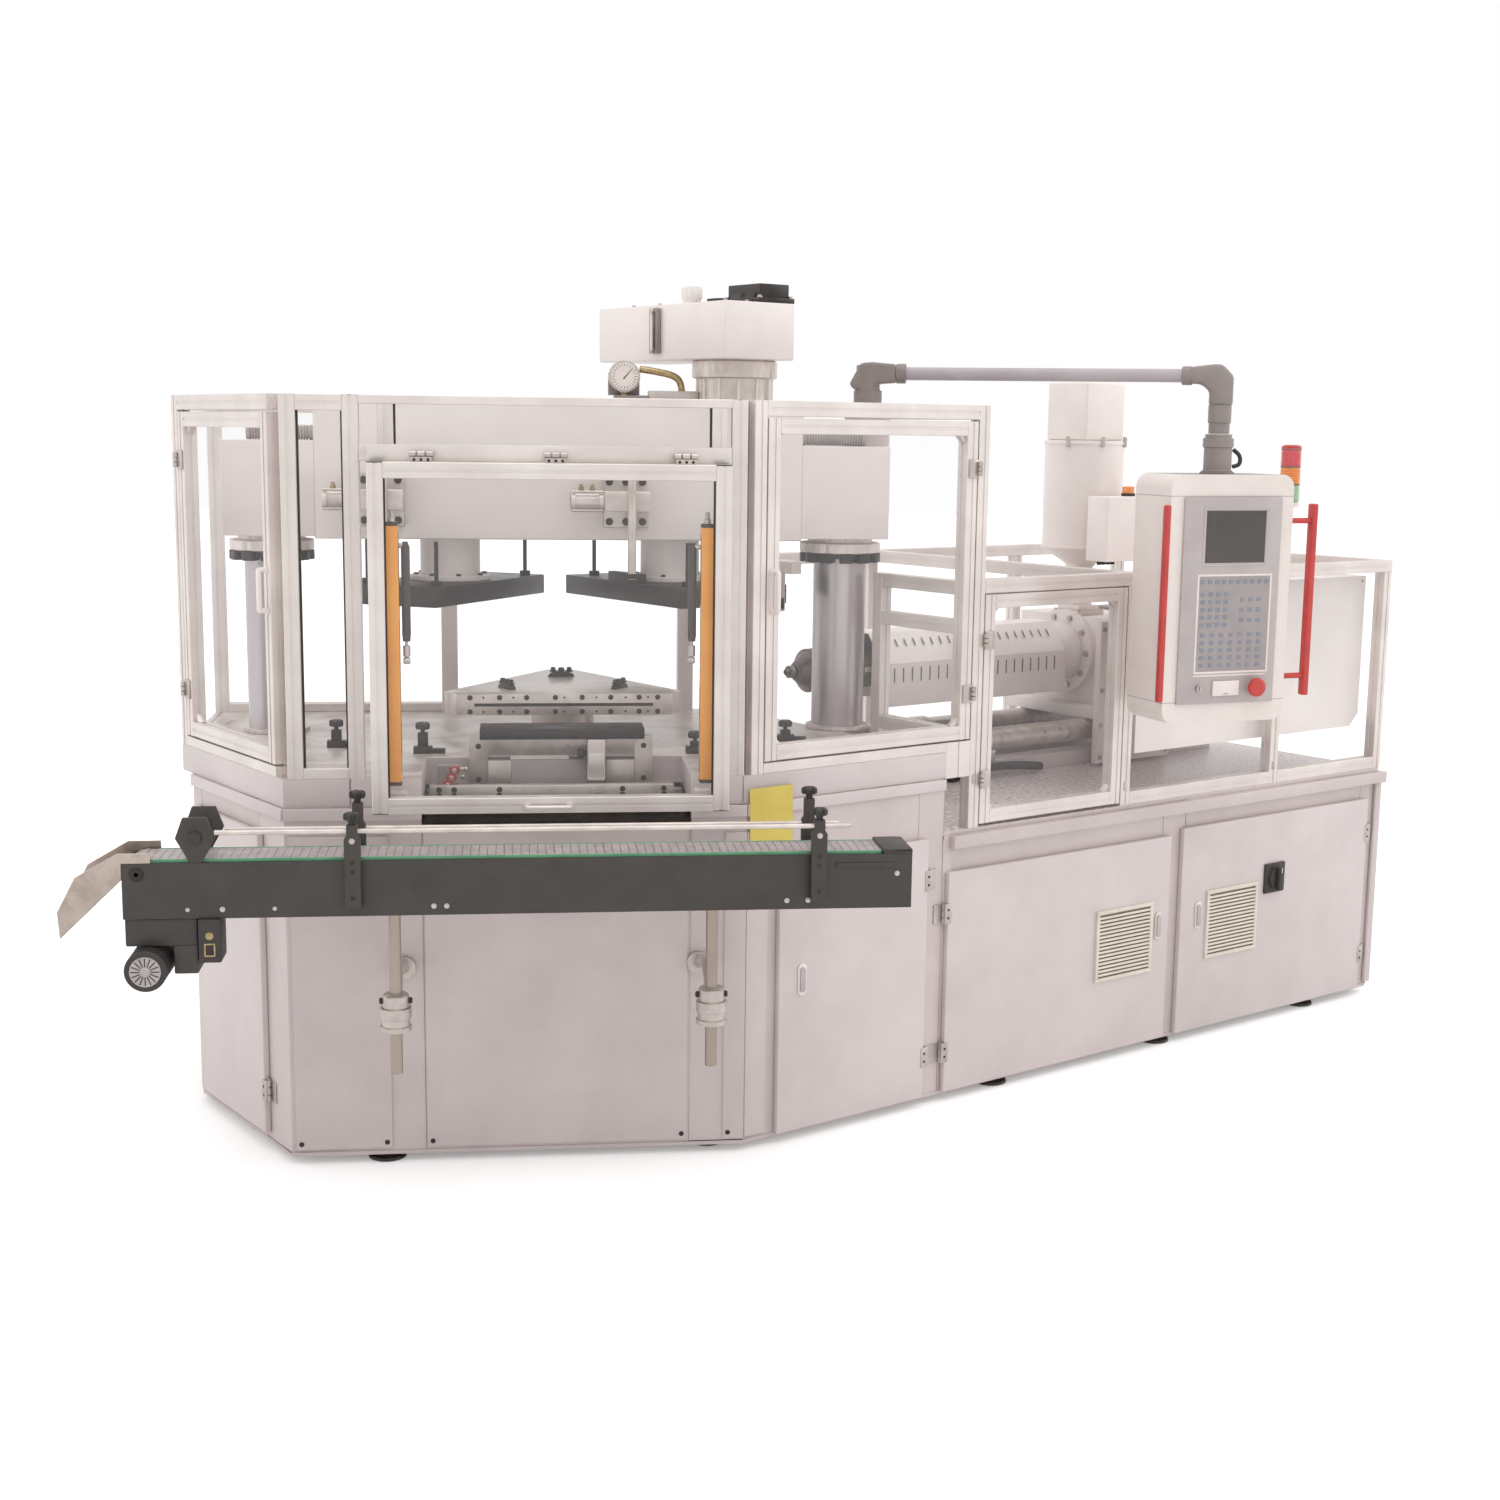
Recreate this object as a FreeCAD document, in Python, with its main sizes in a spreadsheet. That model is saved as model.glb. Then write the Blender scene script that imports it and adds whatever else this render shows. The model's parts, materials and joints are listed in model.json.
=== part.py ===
import FreeCAD, Part
import math
import os
import re

import Sketcher

# Three-station injection blow moulding machine. Millimetres, +Z up, +X along the front of the
# press, -Y towards the operator. The press stands on the axis of its indexing table; the
# injection unit leaves that axis at "skew" and the blowing station at 180 - skew.
SIZES = {
    # Place of the table axis in the part's frame, and the turn of each side of the machine.
    "axis_x": -827.25, "axis_y": -324.36, "skew": 30, "left_skew": 60,
    # Press base.
    "foot_height": 20, "foot_side": 110, "base_top": 954, "notch_sill": 900, "wall": 20,
    "floor_gauge": 12, "front_depth": 660, "left_corner": 727, "left_face": 618,
    "side_depth": 805, "base_end": 774, "rear_depth": 600, "band_height": 32, "band_proud": 8,
    "cover_gauge": 6, "cover_bottom": 40, "cover_top": 880,
    # Press deck.
    "deck_top": 1030, "deck_left": 690, "notch_left": 378, "notch_right": 320,
    "notch_depth": 330,
    # Doors of the base and the cabinet.
    "door_gauge": 18, "door_gap": 0.5, "door_lip": 25, "hinge_radius": 8, "hinge_length": 60,
    "press_door_start": 175, "press_door_end": 704, "press_door_low": 30,
    "press_door_high": 790, "left_door_start": 580, "left_door_end": 130,
    "first_door_start": 784, "first_door_end": 1726, "first_door_low": 30,
    "first_door_high": 683, "rear_door_start": 1782, "rear_door_end": 2724,
    "rear_door_high": 700, "lock_width": 30, "lock_height": 90, "lock_proud": 8,
    # Cabinet.
    "cabinet_end": 2792, "cabinet_back": 450, "cabinet_top": 800, "sheet": 12,
    "ledge_low": 750, "ledge_high": 787, "ledge_proud": 22, "vent_width": 250,
    "vent_low": 260, "vent_height": 224, "vent_proud": 8, "switch_place": 2232, "switch_height": 487,
    "switch_side": 110, "switch_proud": 36,
    # Columns and cross beam.
    "column_radius": 79, "column_place": 840, "beam_centre": 190, "beam_depth": 300,
    "nut_radius": 122, "nut_low": 1536, "nut_high": 1595, "beam_low": 1605,
    "beam_high": 1995, "hose_radius": 22, "hose_bore": 16, "hose_reach": 190,
    "hose_front": 45, "hose_pitch": 9, "hose_rib": 4, "beam_half": 700, "block_half": 960, "block_low": 1610,
    "block_high": 1880, "beam_plate": 25, "ram_radius": 87.5, "bore_gap": 0.5,
    "cylinder_wall": 40, "station": 375, "ram_height": 1790,
    "lock_left": 512, "lock_right": 184, "lock_low": 1640, "lock_high": 1791, "lock_half": 65,
    "lock_gauge": 24, "lock_body_low": 1690, "lock_body_high": 1747, "lock_body": 90,
    "lock_cylinder": 95, "stop_radius": 12, "stop_low": 1500,
    # Platens.
    "platen_low": 1422, "platen_high": 1479, "platen_start": 231, "platen_half": 308,
    "injection_lead": 26, "injection_rear": 318,
    "injection_platen_depth": 350, "blow_platen_depth": 300, "guide_radius": 9,
    "guide_top": 1570, "guide_nut": 18, "guide_place": 250,
    # Index table.
    "table_low": 1128.3, "table_high": 1188, "table_in": 214, "table_face": 600,
    "shaft_radius": 90, "bearing_radius": 165, "bearing_height": 24, "clamp_size": 34,
    "clamp_place": 185,
    "drive_half": 190, "drive_low": 690, "run_gap": 0.3, "slot_height": 14, "slot_depth": 12,
    # Press guard: square profile posts, rails and panes.
    "profile": 40, "guard_top": 2000, "guard_rail": 27, "pane": 6, "post_left": 540,
    "post_right": 438, "corner_post": 87, "guard_end": 868, "second_rail": 1837,
    "transom_low": 1879, "bar_left": 454, "bar_right": 387, "side_post_left": 343, "side_post_right": 404, "rear_post": 50,
    "partition_rail": 1507, "partition_pane": 112, "partition_bay": 315,
    "partition_post": 400, "rail_stop": 384.3, "transom_glass": 99,
    # Gate and its bay.
    "gate_front": 783, "gate_left": 494, "gate_right": 406, "gate_low": 960,
    "gate_high": 1837, "gate_hinge": 1857, "gate_handle": 118, "gate_handle_place": 54, "gate_hinge_left": 361,
    "gate_hinge_middle": 32, "gate_hinge_right": 292,
    "bay_gap": 0.3, "curtain_low": 1025, "curtain_high": 1689, "curtain_width": 32,
    "curtain_depth": 34, "spring_top": 1640, "spring_foot": 1334, "spring_radius": 11,
    "spring_rod": 4, "spring_length": 190, "spring_left": 405, "spring_right": 312,
    "spring_pivot": 1630, "spring_stud": 6,
    # Guard doors.
    "guard_door_low": 1062, "guard_door_high": 1955, "door_clear": 4,
    # Injection guard.
    "screen_top": 1515, "screen_low": 805, "screen_rail": 40, "screen_door_end": 1502,
    "screen_post": 2206, "screen_end": 2760,
    # Injection unit.
    "injection_height": 1171, "bed_half": 150, "bed_drop": 301, "bed_end": 2640,
    "bed_start": 930, "rod_radius": 37, "rod_drop": 256, "rod_start": 850,
    "rod_end": 2420, "carriage_start": 2070, "carriage_end": 2340, "plate_lead": 95, "carriage_half": 230,
    "carriage_drop": 218.5, "carriage_rise": 125, "barrel_radius": 70, "barrel_bore": 33,
    "barrel_start": 905, "nozzle_tip": 818, "nozzle_radius": 22, "cover_start": 1113,
    "cover_end": 1941, "cover_half": 125, "cover_bend_rise": 19, "cover_drop": 121,
    "cover_crown_rise": 114, "cover_flat": 55, "cover_sheet": 4, "disc_radius": 145,
    "disc_gauge": 25, "hopper_place": 2125, "hopper_radius": 136, "hopper_rise": 298,
    "hopper_cone": 60, "hopper_drum": 374, "loader_rise": 197, "loader_half": 120, "throat_radius": 45,
    "box_start": 2004, "box_end": 2231, "box_rise": 27, "box_height": 220,
    "beacon_rise": 37, "hood_start": 1622, "hood_end": 2740, "hood_front": 745,
    "hood_drop": 226, "hood_rise": 288, "hood_sheet": 4, "hood_chamfer": 42,
    "tower_place": 2490, "tower_depth": 600, "tower_rise": 237, "tower_height": 201,
    "tower_radius": 35, "tower_pole": 12, "drive_start": 2400, "drive_end": 2640,
    "housing_bore": 36, "drive_half_width": 189.7, "drive_height": 260,
    # Prefill tank on the beam.
    "tank_start": 354, "tank_end": 600, "tank_near": 300, "tank_far": 360,
    "tank_seat": 129, "tank_height": 160, "ring_place_x": 510, "ring_place_y": 150,
    "ring_radius": 125, "ring_gauge": 26, "neck_radius": 109, "gauge_radius": 46,
    "gauge_depth": 40, "gauge_place": 185, "gauge_rise": 65, "gauge_plate": 8,
    "breather_height": 50, "valve_start": 490, "valve_end": 595, "valve_near": 280,
    "valve_far": 125, "valve_height": 54, "sight_start": 20, "sight_width": 42,
    "sight_depth": 16,
    # Control panel and its arm.
    "pedestal_side": 136, "pedestal_place": 915, "elbow_drop": 110, "arm_radius": 19,
    "arm_rise": 215, "arm_turn": 17.1, "panel_turn": 14, "arm_length": 1028, "elbow_radius": 34,
    "neck_drop": 166, "collar_span": 108, "collar_radius": 38, "case_half": 207,
    "case_front": 90, "case_back": 100, "case_height": 718, "case_seat": 6, "case_round": 40,
    "bezel_half": 164, "bezel_sill": 57, "bezel_height": 596, "bezel_proud": 8,
    "handle_reach": 341, "handle_bar": 11, "handle_sill": 57, "handle_length": 574,
    "strip_width": 18, "stop_place": 92, "stop_rise": 46, "stop_head": 28, "stop_travel": 5,
    "flap_place": 47, "flap_width": 90, "flap_drop": 2, "flap_side": 44, "key_place": 95,
    # Stripping station.
    "frame_left": 262, "frame_right": 238, "frame_high": 1092,
    "frame_front": 372, "frame_gauge": 50, "frame_depth": 30, "frame_bar": 51,
    "actuator_left": 151, "actuator_right": 10, "rail_low": 920, "rail_high": 945,
    "rail_front": 470, "stripper_half": 232, "stripper_low": 1092.3, "stripper_high": 1122,
    "stripper_depth": 110, "unit_left": 57, "unit_right": 105, "unit_low": 946,
    "unit_sill": 70, "unit_depth": 60,
    # Conveyor.
    "belt_front": 1100, "belt_back": 950, "side_gauge": 10, "side_low": 778,
    "side_high": 912, "conveyor_start": 1048, "conveyor_end": 822, "roller_radius": 28,
    "roller_height": 886, "belt_gauge": 4, "belt_margin": 4, "leg_radius": 15,
    "leg_left": 428, "leg_right": 341, "leg_low": 366, "leg_place": 1025,
    "grip_low": 472, "grip_high": 567, "grip_radius": 38, "rail_height": 986, "far_rail_drop": 28,
    "rail_start": 832, "rail_end": 666, "rail_radius": 6, "stand_left": 517,
    "stand_right": 590, "stand_side": 24, "knob_radius": 19, "motor_radius": 60,
    "motor_place": 995, "motor_height": 662, "speed_start": 877, "speed_end": 825,
    "speed_low": 673, "lobe_place": 878, "bracket_end": 880, "bracket_low": 645,
    "lobe_half": 46, "lobe_foot": 14, "lobe_waist": 58, "lobe_top": 28, "lobe_height": 107, "chute_tip": 1192, "chute_foot": 734,
    "chute_top": 873, "chute_sheet": 3, "chute_root": 981, "chute_high": 936,
    "chute_bend": 1057, "chute_shoulder": 1154, "shoulder_height": 880, "chute_lip": 1196,
    "lip_height": 798, "knob_rise": 20, "far_knob_rise": 40, "knob_height": 24,
    "knob_neck": 8, "nose_start": 750, "nose_low": 919, "nose_gauge": 5,
    # Hydraulic unit and switchgear inside the cabinet.
    "tank_length": 800, "oil_start": 900, "oil_high": 470, "pump_radius": 120,
    "gear_start": 1900, "gear_end": 2600, "gear_low": 110, "gear_high": 690,
    "gear_depth": 120,
    # Places of the levelling feet, from the corners of the base and along the cabinet.
    "foot_inset": 90, "foot_near": 45, "foot_front": 245, "foot_first": 1030,
    "foot_middle": 1750, "foot_last": 2480,
}

# Heights that follow another size.
DERIVED = {
    "arm_height": "block_high + arm_rise",
    "pedestal_top": "arm_height - elbow_drop",
    "collar_mid": "arm_height - neck_drop",
    "collar_low": "collar_mid - collar_span",
    "case_high": "collar_low - case_seat",
    "case_low": "case_high - case_height",
    "bezel_low": "case_low + bezel_sill",
    "bezel_high": "bezel_low + bezel_height",
    "handle_low": "case_low + handle_sill",
    "handle_high": "handle_low + handle_length",
    "stop_height": "bezel_low + stop_rise",
    "flap_height": "stop_height - flap_drop",
    "gauge_height": "beam_high + gauge_rise",
    "partition_mid": "partition_rail - partition_pane",
    "partition_low": "partition_mid - partition_bay",
    "tank_low": "beam_high + tank_seat",
    "tank_high": "tank_low + tank_height",
    "bed_top": "injection_height - bed_drop",
    "rod_height": "injection_height - rod_drop",
    "carriage_low": "injection_height - carriage_drop",
    "carriage_high": "injection_height + carriage_rise",
    "cover_low": "injection_height - cover_drop",
    "cover_bend": "injection_height + cover_bend_rise",
    "cover_crown": "injection_height + cover_crown_rise",
    "hood_low": "injection_height - hood_drop",
    "hood_high": "injection_height + hood_rise",
    "hopper_low": "injection_height + hopper_rise",
    "hopper_waist": "hopper_low + hopper_cone",
    "hopper_high": "hopper_waist + hopper_drum",
    "loader_high": "hopper_high + loader_rise",
    "box_low": "hopper_low + box_rise",
    "box_high": "box_low + box_height",
    "beacon_high": "box_high + beacon_rise",
    "tower_low": "hood_high + tower_rise",
    "tower_high": "tower_low + tower_height",
}

document = FreeCAD.newDocument("blow_moulding_machine")
sheet = document.addObject("Spreadsheet::Sheet", "sizes")
cells = [(name, str(value)) for name, value in SIZES.items()]
cells += [(name, "=" + formula) for name, formula in DERIVED.items()]
for row, (name, content) in enumerate(cells, start=1):
    sheet.set("A%d" % row, name)
    sheet.set("B%d" % row, content)
    sheet.setAlias("B%d" % row, name)
document.recompute()

WORD = re.compile(r"[a-z][a-z_]*")
VECTOR = FreeCAD.Vector
TURN = {
    "z": FreeCAD.Rotation(),
    "y": FreeCAD.Rotation(VECTOR(1, 0, 0), -90),
    "x": FreeCAD.Rotation(VECTOR(0, 1, 0), 90),
}
SKETCH_TURN = {
    "z": FreeCAD.Rotation(),
    "y": FreeCAD.Rotation(VECTOR(1, 0, 0), 90),
    "x": FreeCAD.Rotation(VECTOR(1, 1, 1), 120),
}
WAY = {"z": VECTOR(0, 0, 1), "y": VECTOR(0, 1, 0), "x": VECTOR(1, 0, 0)}
AXES = ("x", "y", "z")
FRAMES = {
    "press": ("axis_x", "axis_y", "0"),
    "injection": ("axis_x", "axis_y", "skew"),
    "blow": ("axis_x", "axis_y", "180 - skew"),
    "left": ("axis_x - left_corner", "axis_y - front_depth", "-left_skew"),
    "arm": ("axis_x + pedestal_place", "axis_y + beam_centre", "-arm_turn"),
    "panel": ("axis_x + pedestal_place + arm_length*cos(arm_turn)",
              "axis_y + beam_centre - arm_length*sin(arm_turn)", "panel_turn"),
}
nodes = []


def bound(text):
    """The expression with each size addressed to the sheet."""
    names = dict(cells)
    return WORD.sub(lambda m: "sizes." + m.group() if m.group() in names else m.group(), text)


def add(kind):
    return document.addObject(kind, "piece")


def place(piece, x, y, z):
    for axis, text in zip(AXES, (x, y, z)):
        piece.setExpression("Placement.Base." + axis, bound(text))
    return piece


def block(x_from, x_to, y_from, y_to, z_from, z_to):
    piece = add("Part::Box")
    piece.setExpression("Length", bound("(%s) - (%s)" % (x_to, x_from)))
    piece.setExpression("Width", bound("(%s) - (%s)" % (y_to, y_from)))
    piece.setExpression("Height", bound("(%s) - (%s)" % (z_to, z_from)))
    return place(piece, x_from, y_from, z_from)


def rod(x, y, z, radius, length, way="z"):
    piece = add("Part::Cylinder")
    piece.setExpression("Radius", bound(radius))
    piece.setExpression("Height", bound(length))
    piece.Placement = FreeCAD.Placement(VECTOR(), TURN[way])
    return place(piece, x, y, z)


def cone(x, y, z, low, high, length, way="z"):
    piece = add("Part::Cone")
    piece.setExpression("Radius1", bound(low))
    piece.setExpression("Radius2", bound(high))
    piece.setExpression("Height", bound(length))
    piece.Placement = FreeCAD.Placement(VECTOR(), TURN[way])
    return place(piece, x, y, z)


def fuse(*pieces):
    piece = add("Part::MultiFuse")
    piece.Shapes = list(pieces)
    return piece


def cut(base, tool):
    piece = add("Part::Cut")
    piece.Base = base
    piece.Tool = tool
    return piece


def tube(x, y, z, radius, bore, length, way="z"):
    return cut(rod(x, y, z, radius, length, way), rod(x, y, z, bore, length, way))


def prism(points, start, end, way="z"):
    """A closed outline, its corners tied to the sheet, run from start to end along one axis."""
    sketch = add("Sketcher::SketchObject")
    sketch.Placement = FreeCAD.Placement(VECTOR(), SKETCH_TURN[way])
    sketch.setExpression("Placement.Base." + way, bound(start))
    count = len(points)
    rough = [(900 * math.cos(2 * math.pi * i / count), 900 * math.sin(2 * math.pi * i / count))
             for i in range(count)]
    for i in range(count):
        first, second = VECTOR(*rough[i], 0), VECTOR(*rough[(i + 1) % count], 0)
        sketch.addGeometry(Part.LineSegment(first, second))
    for i in range(count):
        sketch.addConstraint(Sketcher.Constraint("Coincident", i, 2, (i + 1) % count, 1))
    for i, (across, along) in enumerate(points):
        for kind, text, offset in (("DistanceX", across, 0), ("DistanceY", along, 1)):
            number = sketch.addConstraint(Sketcher.Constraint(kind, -1, 1, i, 1, rough[i][offset]))
            sketch.renameConstraint(number, "%s_%d" % (kind, i))
            sketch.setExpression("Constraints.%s_%d" % (kind, i), bound(text))
    piece = add("Part::Extrusion")
    piece.Base = sketch
    piece.DirMode = "Custom"
    piece.Dir = WAY[way]
    piece.setExpression("LengthFwd", bound("(%s) - (%s)" % (end, start)))
    piece.Solid = True
    return piece


def placed(frame, pieces):
    group = add("Part::Compound")
    group.Links = pieces
    x, y, angle = FRAMES[frame]
    group.setExpression("Placement.Base.x", bound(x))
    group.setExpression("Placement.Base.y", bound(y))
    group.setExpression("Placement.Rotation.Angle", bound(angle))
    return group


def node(label, *groups):
    piece = document.addObject("Part::Compound", label)
    piece.Label = label
    piece.Links = list(groups)
    nodes.append(piece)
    return piece


def from_injection(r, y):
    """A point of the injection frame written in the press frame."""
    return ("(%s)*cos(skew) - (%s)*sin(skew)" % (r, y), "(%s)*sin(skew) + (%s)*cos(skew)" % (r, y))


# Corners shared by the base, the deck and the guard.
CORNER = "((side_depth*cos(skew) - front_depth)/sin(skew))"
CORNER_X = "((side_depth - front_depth*cos(skew))/sin(skew))"
LEFT_X = "(-left_corner - left_face*cos(left_skew))"
LEFT_Y = "(-front_depth + left_face*sin(left_skew))"
LEFT_MITRE = "tan(left_skew/2)"
REAR_MITRE = "tan((90 - left_skew)/2)"
RIGHT_MITRE = "tan(skew/2)"


def end_x(depth, r="base_end"):
    """Where the plane r of the injection frame crosses the given depth of the press frame."""
    return "((%s) - (%s)*sin(skew))/cos(skew)" % (r, depth)


def end_y(depth, r="base_end"):
    """The same crossing as a coordinate of the injection frame."""
    return "((%s) - (%s)*sin(skew))/cos(skew)" % (depth, r)


# Press base: floor plate, mitred walls with door openings, screwed cover panels and band.
base_floor = prism([("-left_corner", "-front_depth"), (CORNER_X, "-front_depth"),
                    from_injection("base_end", "-side_depth"),
                    (end_x("rear_depth"), "rear_depth"), (LEFT_X, "rear_depth"),
                    (LEFT_X, LEFT_Y)],
                   "foot_height", "foot_height + floor_gauge")
WALL_LOW = "foot_height + floor_gauge"
front_walls = [
    prism([("-left_corner", "-front_depth"), ("-notch_left", "-front_depth"),
           ("-notch_left", "-front_depth + wall"),
           ("-left_corner + wall*" + LEFT_MITRE, "-front_depth + wall")],
          WALL_LOW, "base_top"),
    block("-notch_left", "notch_right", "-front_depth", "-front_depth + wall",
          WALL_LOW, "notch_sill"),
    prism([("notch_right", "-front_depth"), (CORNER_X, "-front_depth"),
           (CORNER_X + " - wall*" + RIGHT_MITRE, "-front_depth + wall"),
           ("notch_right", "-front_depth + wall")],
          WALL_LOW, "base_top"),
    prism([(LEFT_X, LEFT_Y), (LEFT_X + " + wall", LEFT_Y + " + wall*" + REAR_MITRE),
           (LEFT_X + " + wall", "rear_depth - wall"), (LEFT_X, "rear_depth - wall")],
          WALL_LOW, "base_top"),
    prism([(LEFT_X, "rear_depth - wall"), (end_x("rear_depth - wall"), "rear_depth - wall"),
           (end_x("rear_depth"), "rear_depth"), (LEFT_X, "rear_depth")],
          WALL_LOW, "base_top"),
]
front_covers = [
    block("-left_corner + 12", "-left_corner + 262", "-front_depth - cover_gauge",
          "-front_depth", "cover_bottom", "cover_top"),
    block("-notch_left + 4", "notch_right - 7", "-front_depth - cover_gauge",
          "-front_depth", "cover_bottom", "notch_sill - band_proud"),
    block("notch_right + 90", CORNER_X, "-front_depth - cover_gauge",
          "-front_depth", "cover_bottom", "cover_top"),
    block("-left_corner", "-notch_left", "-front_depth - band_proud", "-front_depth",
          "base_top - band_height", "base_top"),
    block("notch_right", CORNER_X, "-front_depth - band_proud", "-front_depth",
          "base_top - band_height", "base_top"),
]
left_walls = [
    prism([("-left_face", "0"), ("-left_door_start + door_lip", "0"),
           ("-left_door_start + door_lip", "wall"),
           ("-left_face + wall*" + REAR_MITRE, "wall")], WALL_LOW, "base_top"),
    prism([("-left_door_end - door_lip", "0"), ("0", "0"), ("-wall*" + LEFT_MITRE, "wall"),
           ("-left_door_end - door_lip", "wall")], WALL_LOW, "base_top"),
    block("-left_door_start + door_lip", "-left_door_end - door_lip", "0", "wall",
          WALL_LOW, "press_door_low + door_lip + wall"),
    block("-left_door_start + door_lip", "-left_door_end - door_lip", "0", "wall",
          "cover_top - door_lip", "base_top"),
    block("-left_face", "0", "-band_proud", "0", "base_top - band_height", "base_top"),
]
right_walls = [
    prism([(CORNER, "-side_depth"), ("press_door_start + door_lip", "-side_depth"),
           ("press_door_start + door_lip", "-side_depth + wall"),
           (CORNER + " + wall*" + RIGHT_MITRE, "-side_depth + wall")], WALL_LOW, "base_top"),
    block("press_door_end - door_lip", "base_end", "-side_depth", "-side_depth + wall",
          WALL_LOW, "base_top"),
    block("press_door_start + door_lip", "press_door_end - door_lip", "-side_depth",
          "-side_depth + wall", WALL_LOW, "press_door_low + door_lip"),
    block("press_door_start + door_lip", "press_door_end - door_lip", "-side_depth",
          "-side_depth + wall", "press_door_high - door_lip", "base_top"),
    prism([("base_end - wall", "-side_depth + wall"), ("base_end", "-side_depth + wall"),
           ("base_end", end_y("rear_depth - wall")),
           ("base_end - wall", end_y("rear_depth - wall", "(base_end - wall)"))],
          WALL_LOW, "base_top"),
    block(CORNER, CORNER + " + 70", "-side_depth - cover_gauge", "-side_depth",
          "cover_bottom", "cover_top"),
    block(CORNER, "base_end", "-side_depth - band_proud", "-side_depth",
          "base_top - band_height", "base_top"),
]
node("base_frame", placed("press", [base_floor] + front_walls + front_covers),
     placed("left", left_walls), placed("injection", right_walls))

# Press deck: one thick casting with the notch for the stripping station.
deck_left_x = "(-left_corner - deck_left*cos(left_skew))"
deck_left_y = "(-front_depth + deck_left*sin(left_skew))"
deck_plate = prism([("-left_corner", "-front_depth"), (CORNER_X, "-front_depth"),
                    from_injection("base_end", "-side_depth"),
                    (end_x("rear_depth"), "rear_depth"), (deck_left_x, "rear_depth"),
                    (deck_left_x, deck_left_y)], "base_top", "deck_top")
deck_notch = block("-notch_left", "notch_right", "-front_depth - wall", "-notch_depth",
                   "base_top - wall", "deck_top + wall")
shaft_hole = rod("0", "0", "base_top", "shaft_radius + run_gap", "deck_top - base_top")
node("press_deck", placed("press", [cut(cut(deck_plate, deck_notch), shaft_hole)]))


def foot(x, y):
    return block("%s - foot_side/2" % x, "%s + foot_side/2" % x, "%s - foot_side/2" % y,
                 "%s + foot_side/2" % y, "0", "foot_height")


node("levelling_feet",
     placed("press", [foot("(-left_corner + foot_front)", "(-front_depth + foot_near)"),
                      foot("(%s - foot_inset)" % CORNER_X, "(-front_depth + foot_inset)"),
                      foot("(%s + foot_inset)" % LEFT_X, "(rear_depth - foot_inset)"),
                      foot("(%s + foot_inset)" % LEFT_X, "0")]),
     placed("injection", [foot(x, y) for x in ("foot_first", "foot_middle", "foot_last")
                          for y in ("(-side_depth + foot_near)",
                                    "(cabinet_back - foot_near)")]))


# Cabinet under the injection unit.
def front_wall(x_from, x_to, z_from, z_to):
    return block(x_from, x_to, "-side_depth", "-side_depth + wall", z_from, z_to)


DECK_LOW = "cabinet_top - sheet"
cabinet = [
    block("base_end", "cabinet_end", "-side_depth", "cabinet_back", "foot_height", WALL_LOW),
    block("base_end", "cabinet_end", "-side_depth", "cabinet_back", DECK_LOW, "cabinet_top"),
    front_wall("base_end", "first_door_start + door_lip", WALL_LOW, DECK_LOW),
    front_wall("first_door_end - door_lip", "rear_door_start + door_lip", WALL_LOW, DECK_LOW),
    front_wall("rear_door_end - door_lip", "cabinet_end", WALL_LOW, DECK_LOW),
    front_wall("first_door_start + door_lip", "first_door_end - door_lip", WALL_LOW,
               "first_door_low + door_lip"),
    front_wall("first_door_start + door_lip", "first_door_end - door_lip",
               "first_door_high - door_lip", DECK_LOW),
    front_wall("rear_door_start + door_lip", "rear_door_end - door_lip", WALL_LOW,
               "first_door_low + door_lip"),
    front_wall("rear_door_start + door_lip", "rear_door_end - door_lip",
               "rear_door_high - door_lip", DECK_LOW),
    block("base_end", "cabinet_end", "cabinet_back - wall", "cabinet_back", WALL_LOW, DECK_LOW),
    block("cabinet_end - wall", "cabinet_end", "-side_depth + wall", "cabinet_back - wall",
          WALL_LOW, DECK_LOW),
    block("base_end + 25", "cabinet_end + ledge_proud", "-side_depth - ledge_proud",
          "-side_depth", "ledge_low", "ledge_high"),
    block("cabinet_end", "cabinet_end + ledge_proud", "-side_depth", "cabinet_back",
          "ledge_low", "ledge_high"),
    block("cabinet_end - 20", "cabinet_end + ledge_proud/2", "-side_depth - ledge_proud/2",
          "-side_depth", "foot_height + wall", "ledge_low"),
]
node("cabinet_frame", placed("injection", cabinet))


# Overlay doors: each hangs on barrel hinges beside its edge and carries a lock and a vent.
def door(frame, x_from, x_to, face, z_from, z_to, hinge, lock, vent=None):
    outer = "%s - door_gap - door_gauge" % face
    pieces = [block(x_from, x_to, outer, "%s - door_gap" % face, z_from, z_to)]
    for height in ("%s + 90" % z_from, "%s - 90 - hinge_length" % z_to):
        pieces.append(rod(hinge, "%s - door_gap - hinge_radius" % face, height, "hinge_radius",
                          "hinge_length"))
    pieces.append(block("%s - lock_width/2" % lock, "%s + lock_width/2" % lock,
                        "%s - lock_proud" % outer, outer, "(%s + %s)/2" % (z_from, z_to),
                        "(%s + %s)/2 + lock_height" % (z_from, z_to)))
    if vent:
        pieces.append(block(vent, "%s + vent_width" % vent, "%s - vent_proud" % outer, outer,
                            "vent_low", "vent_low + vent_height"))
    return placed(frame, pieces)


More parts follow.
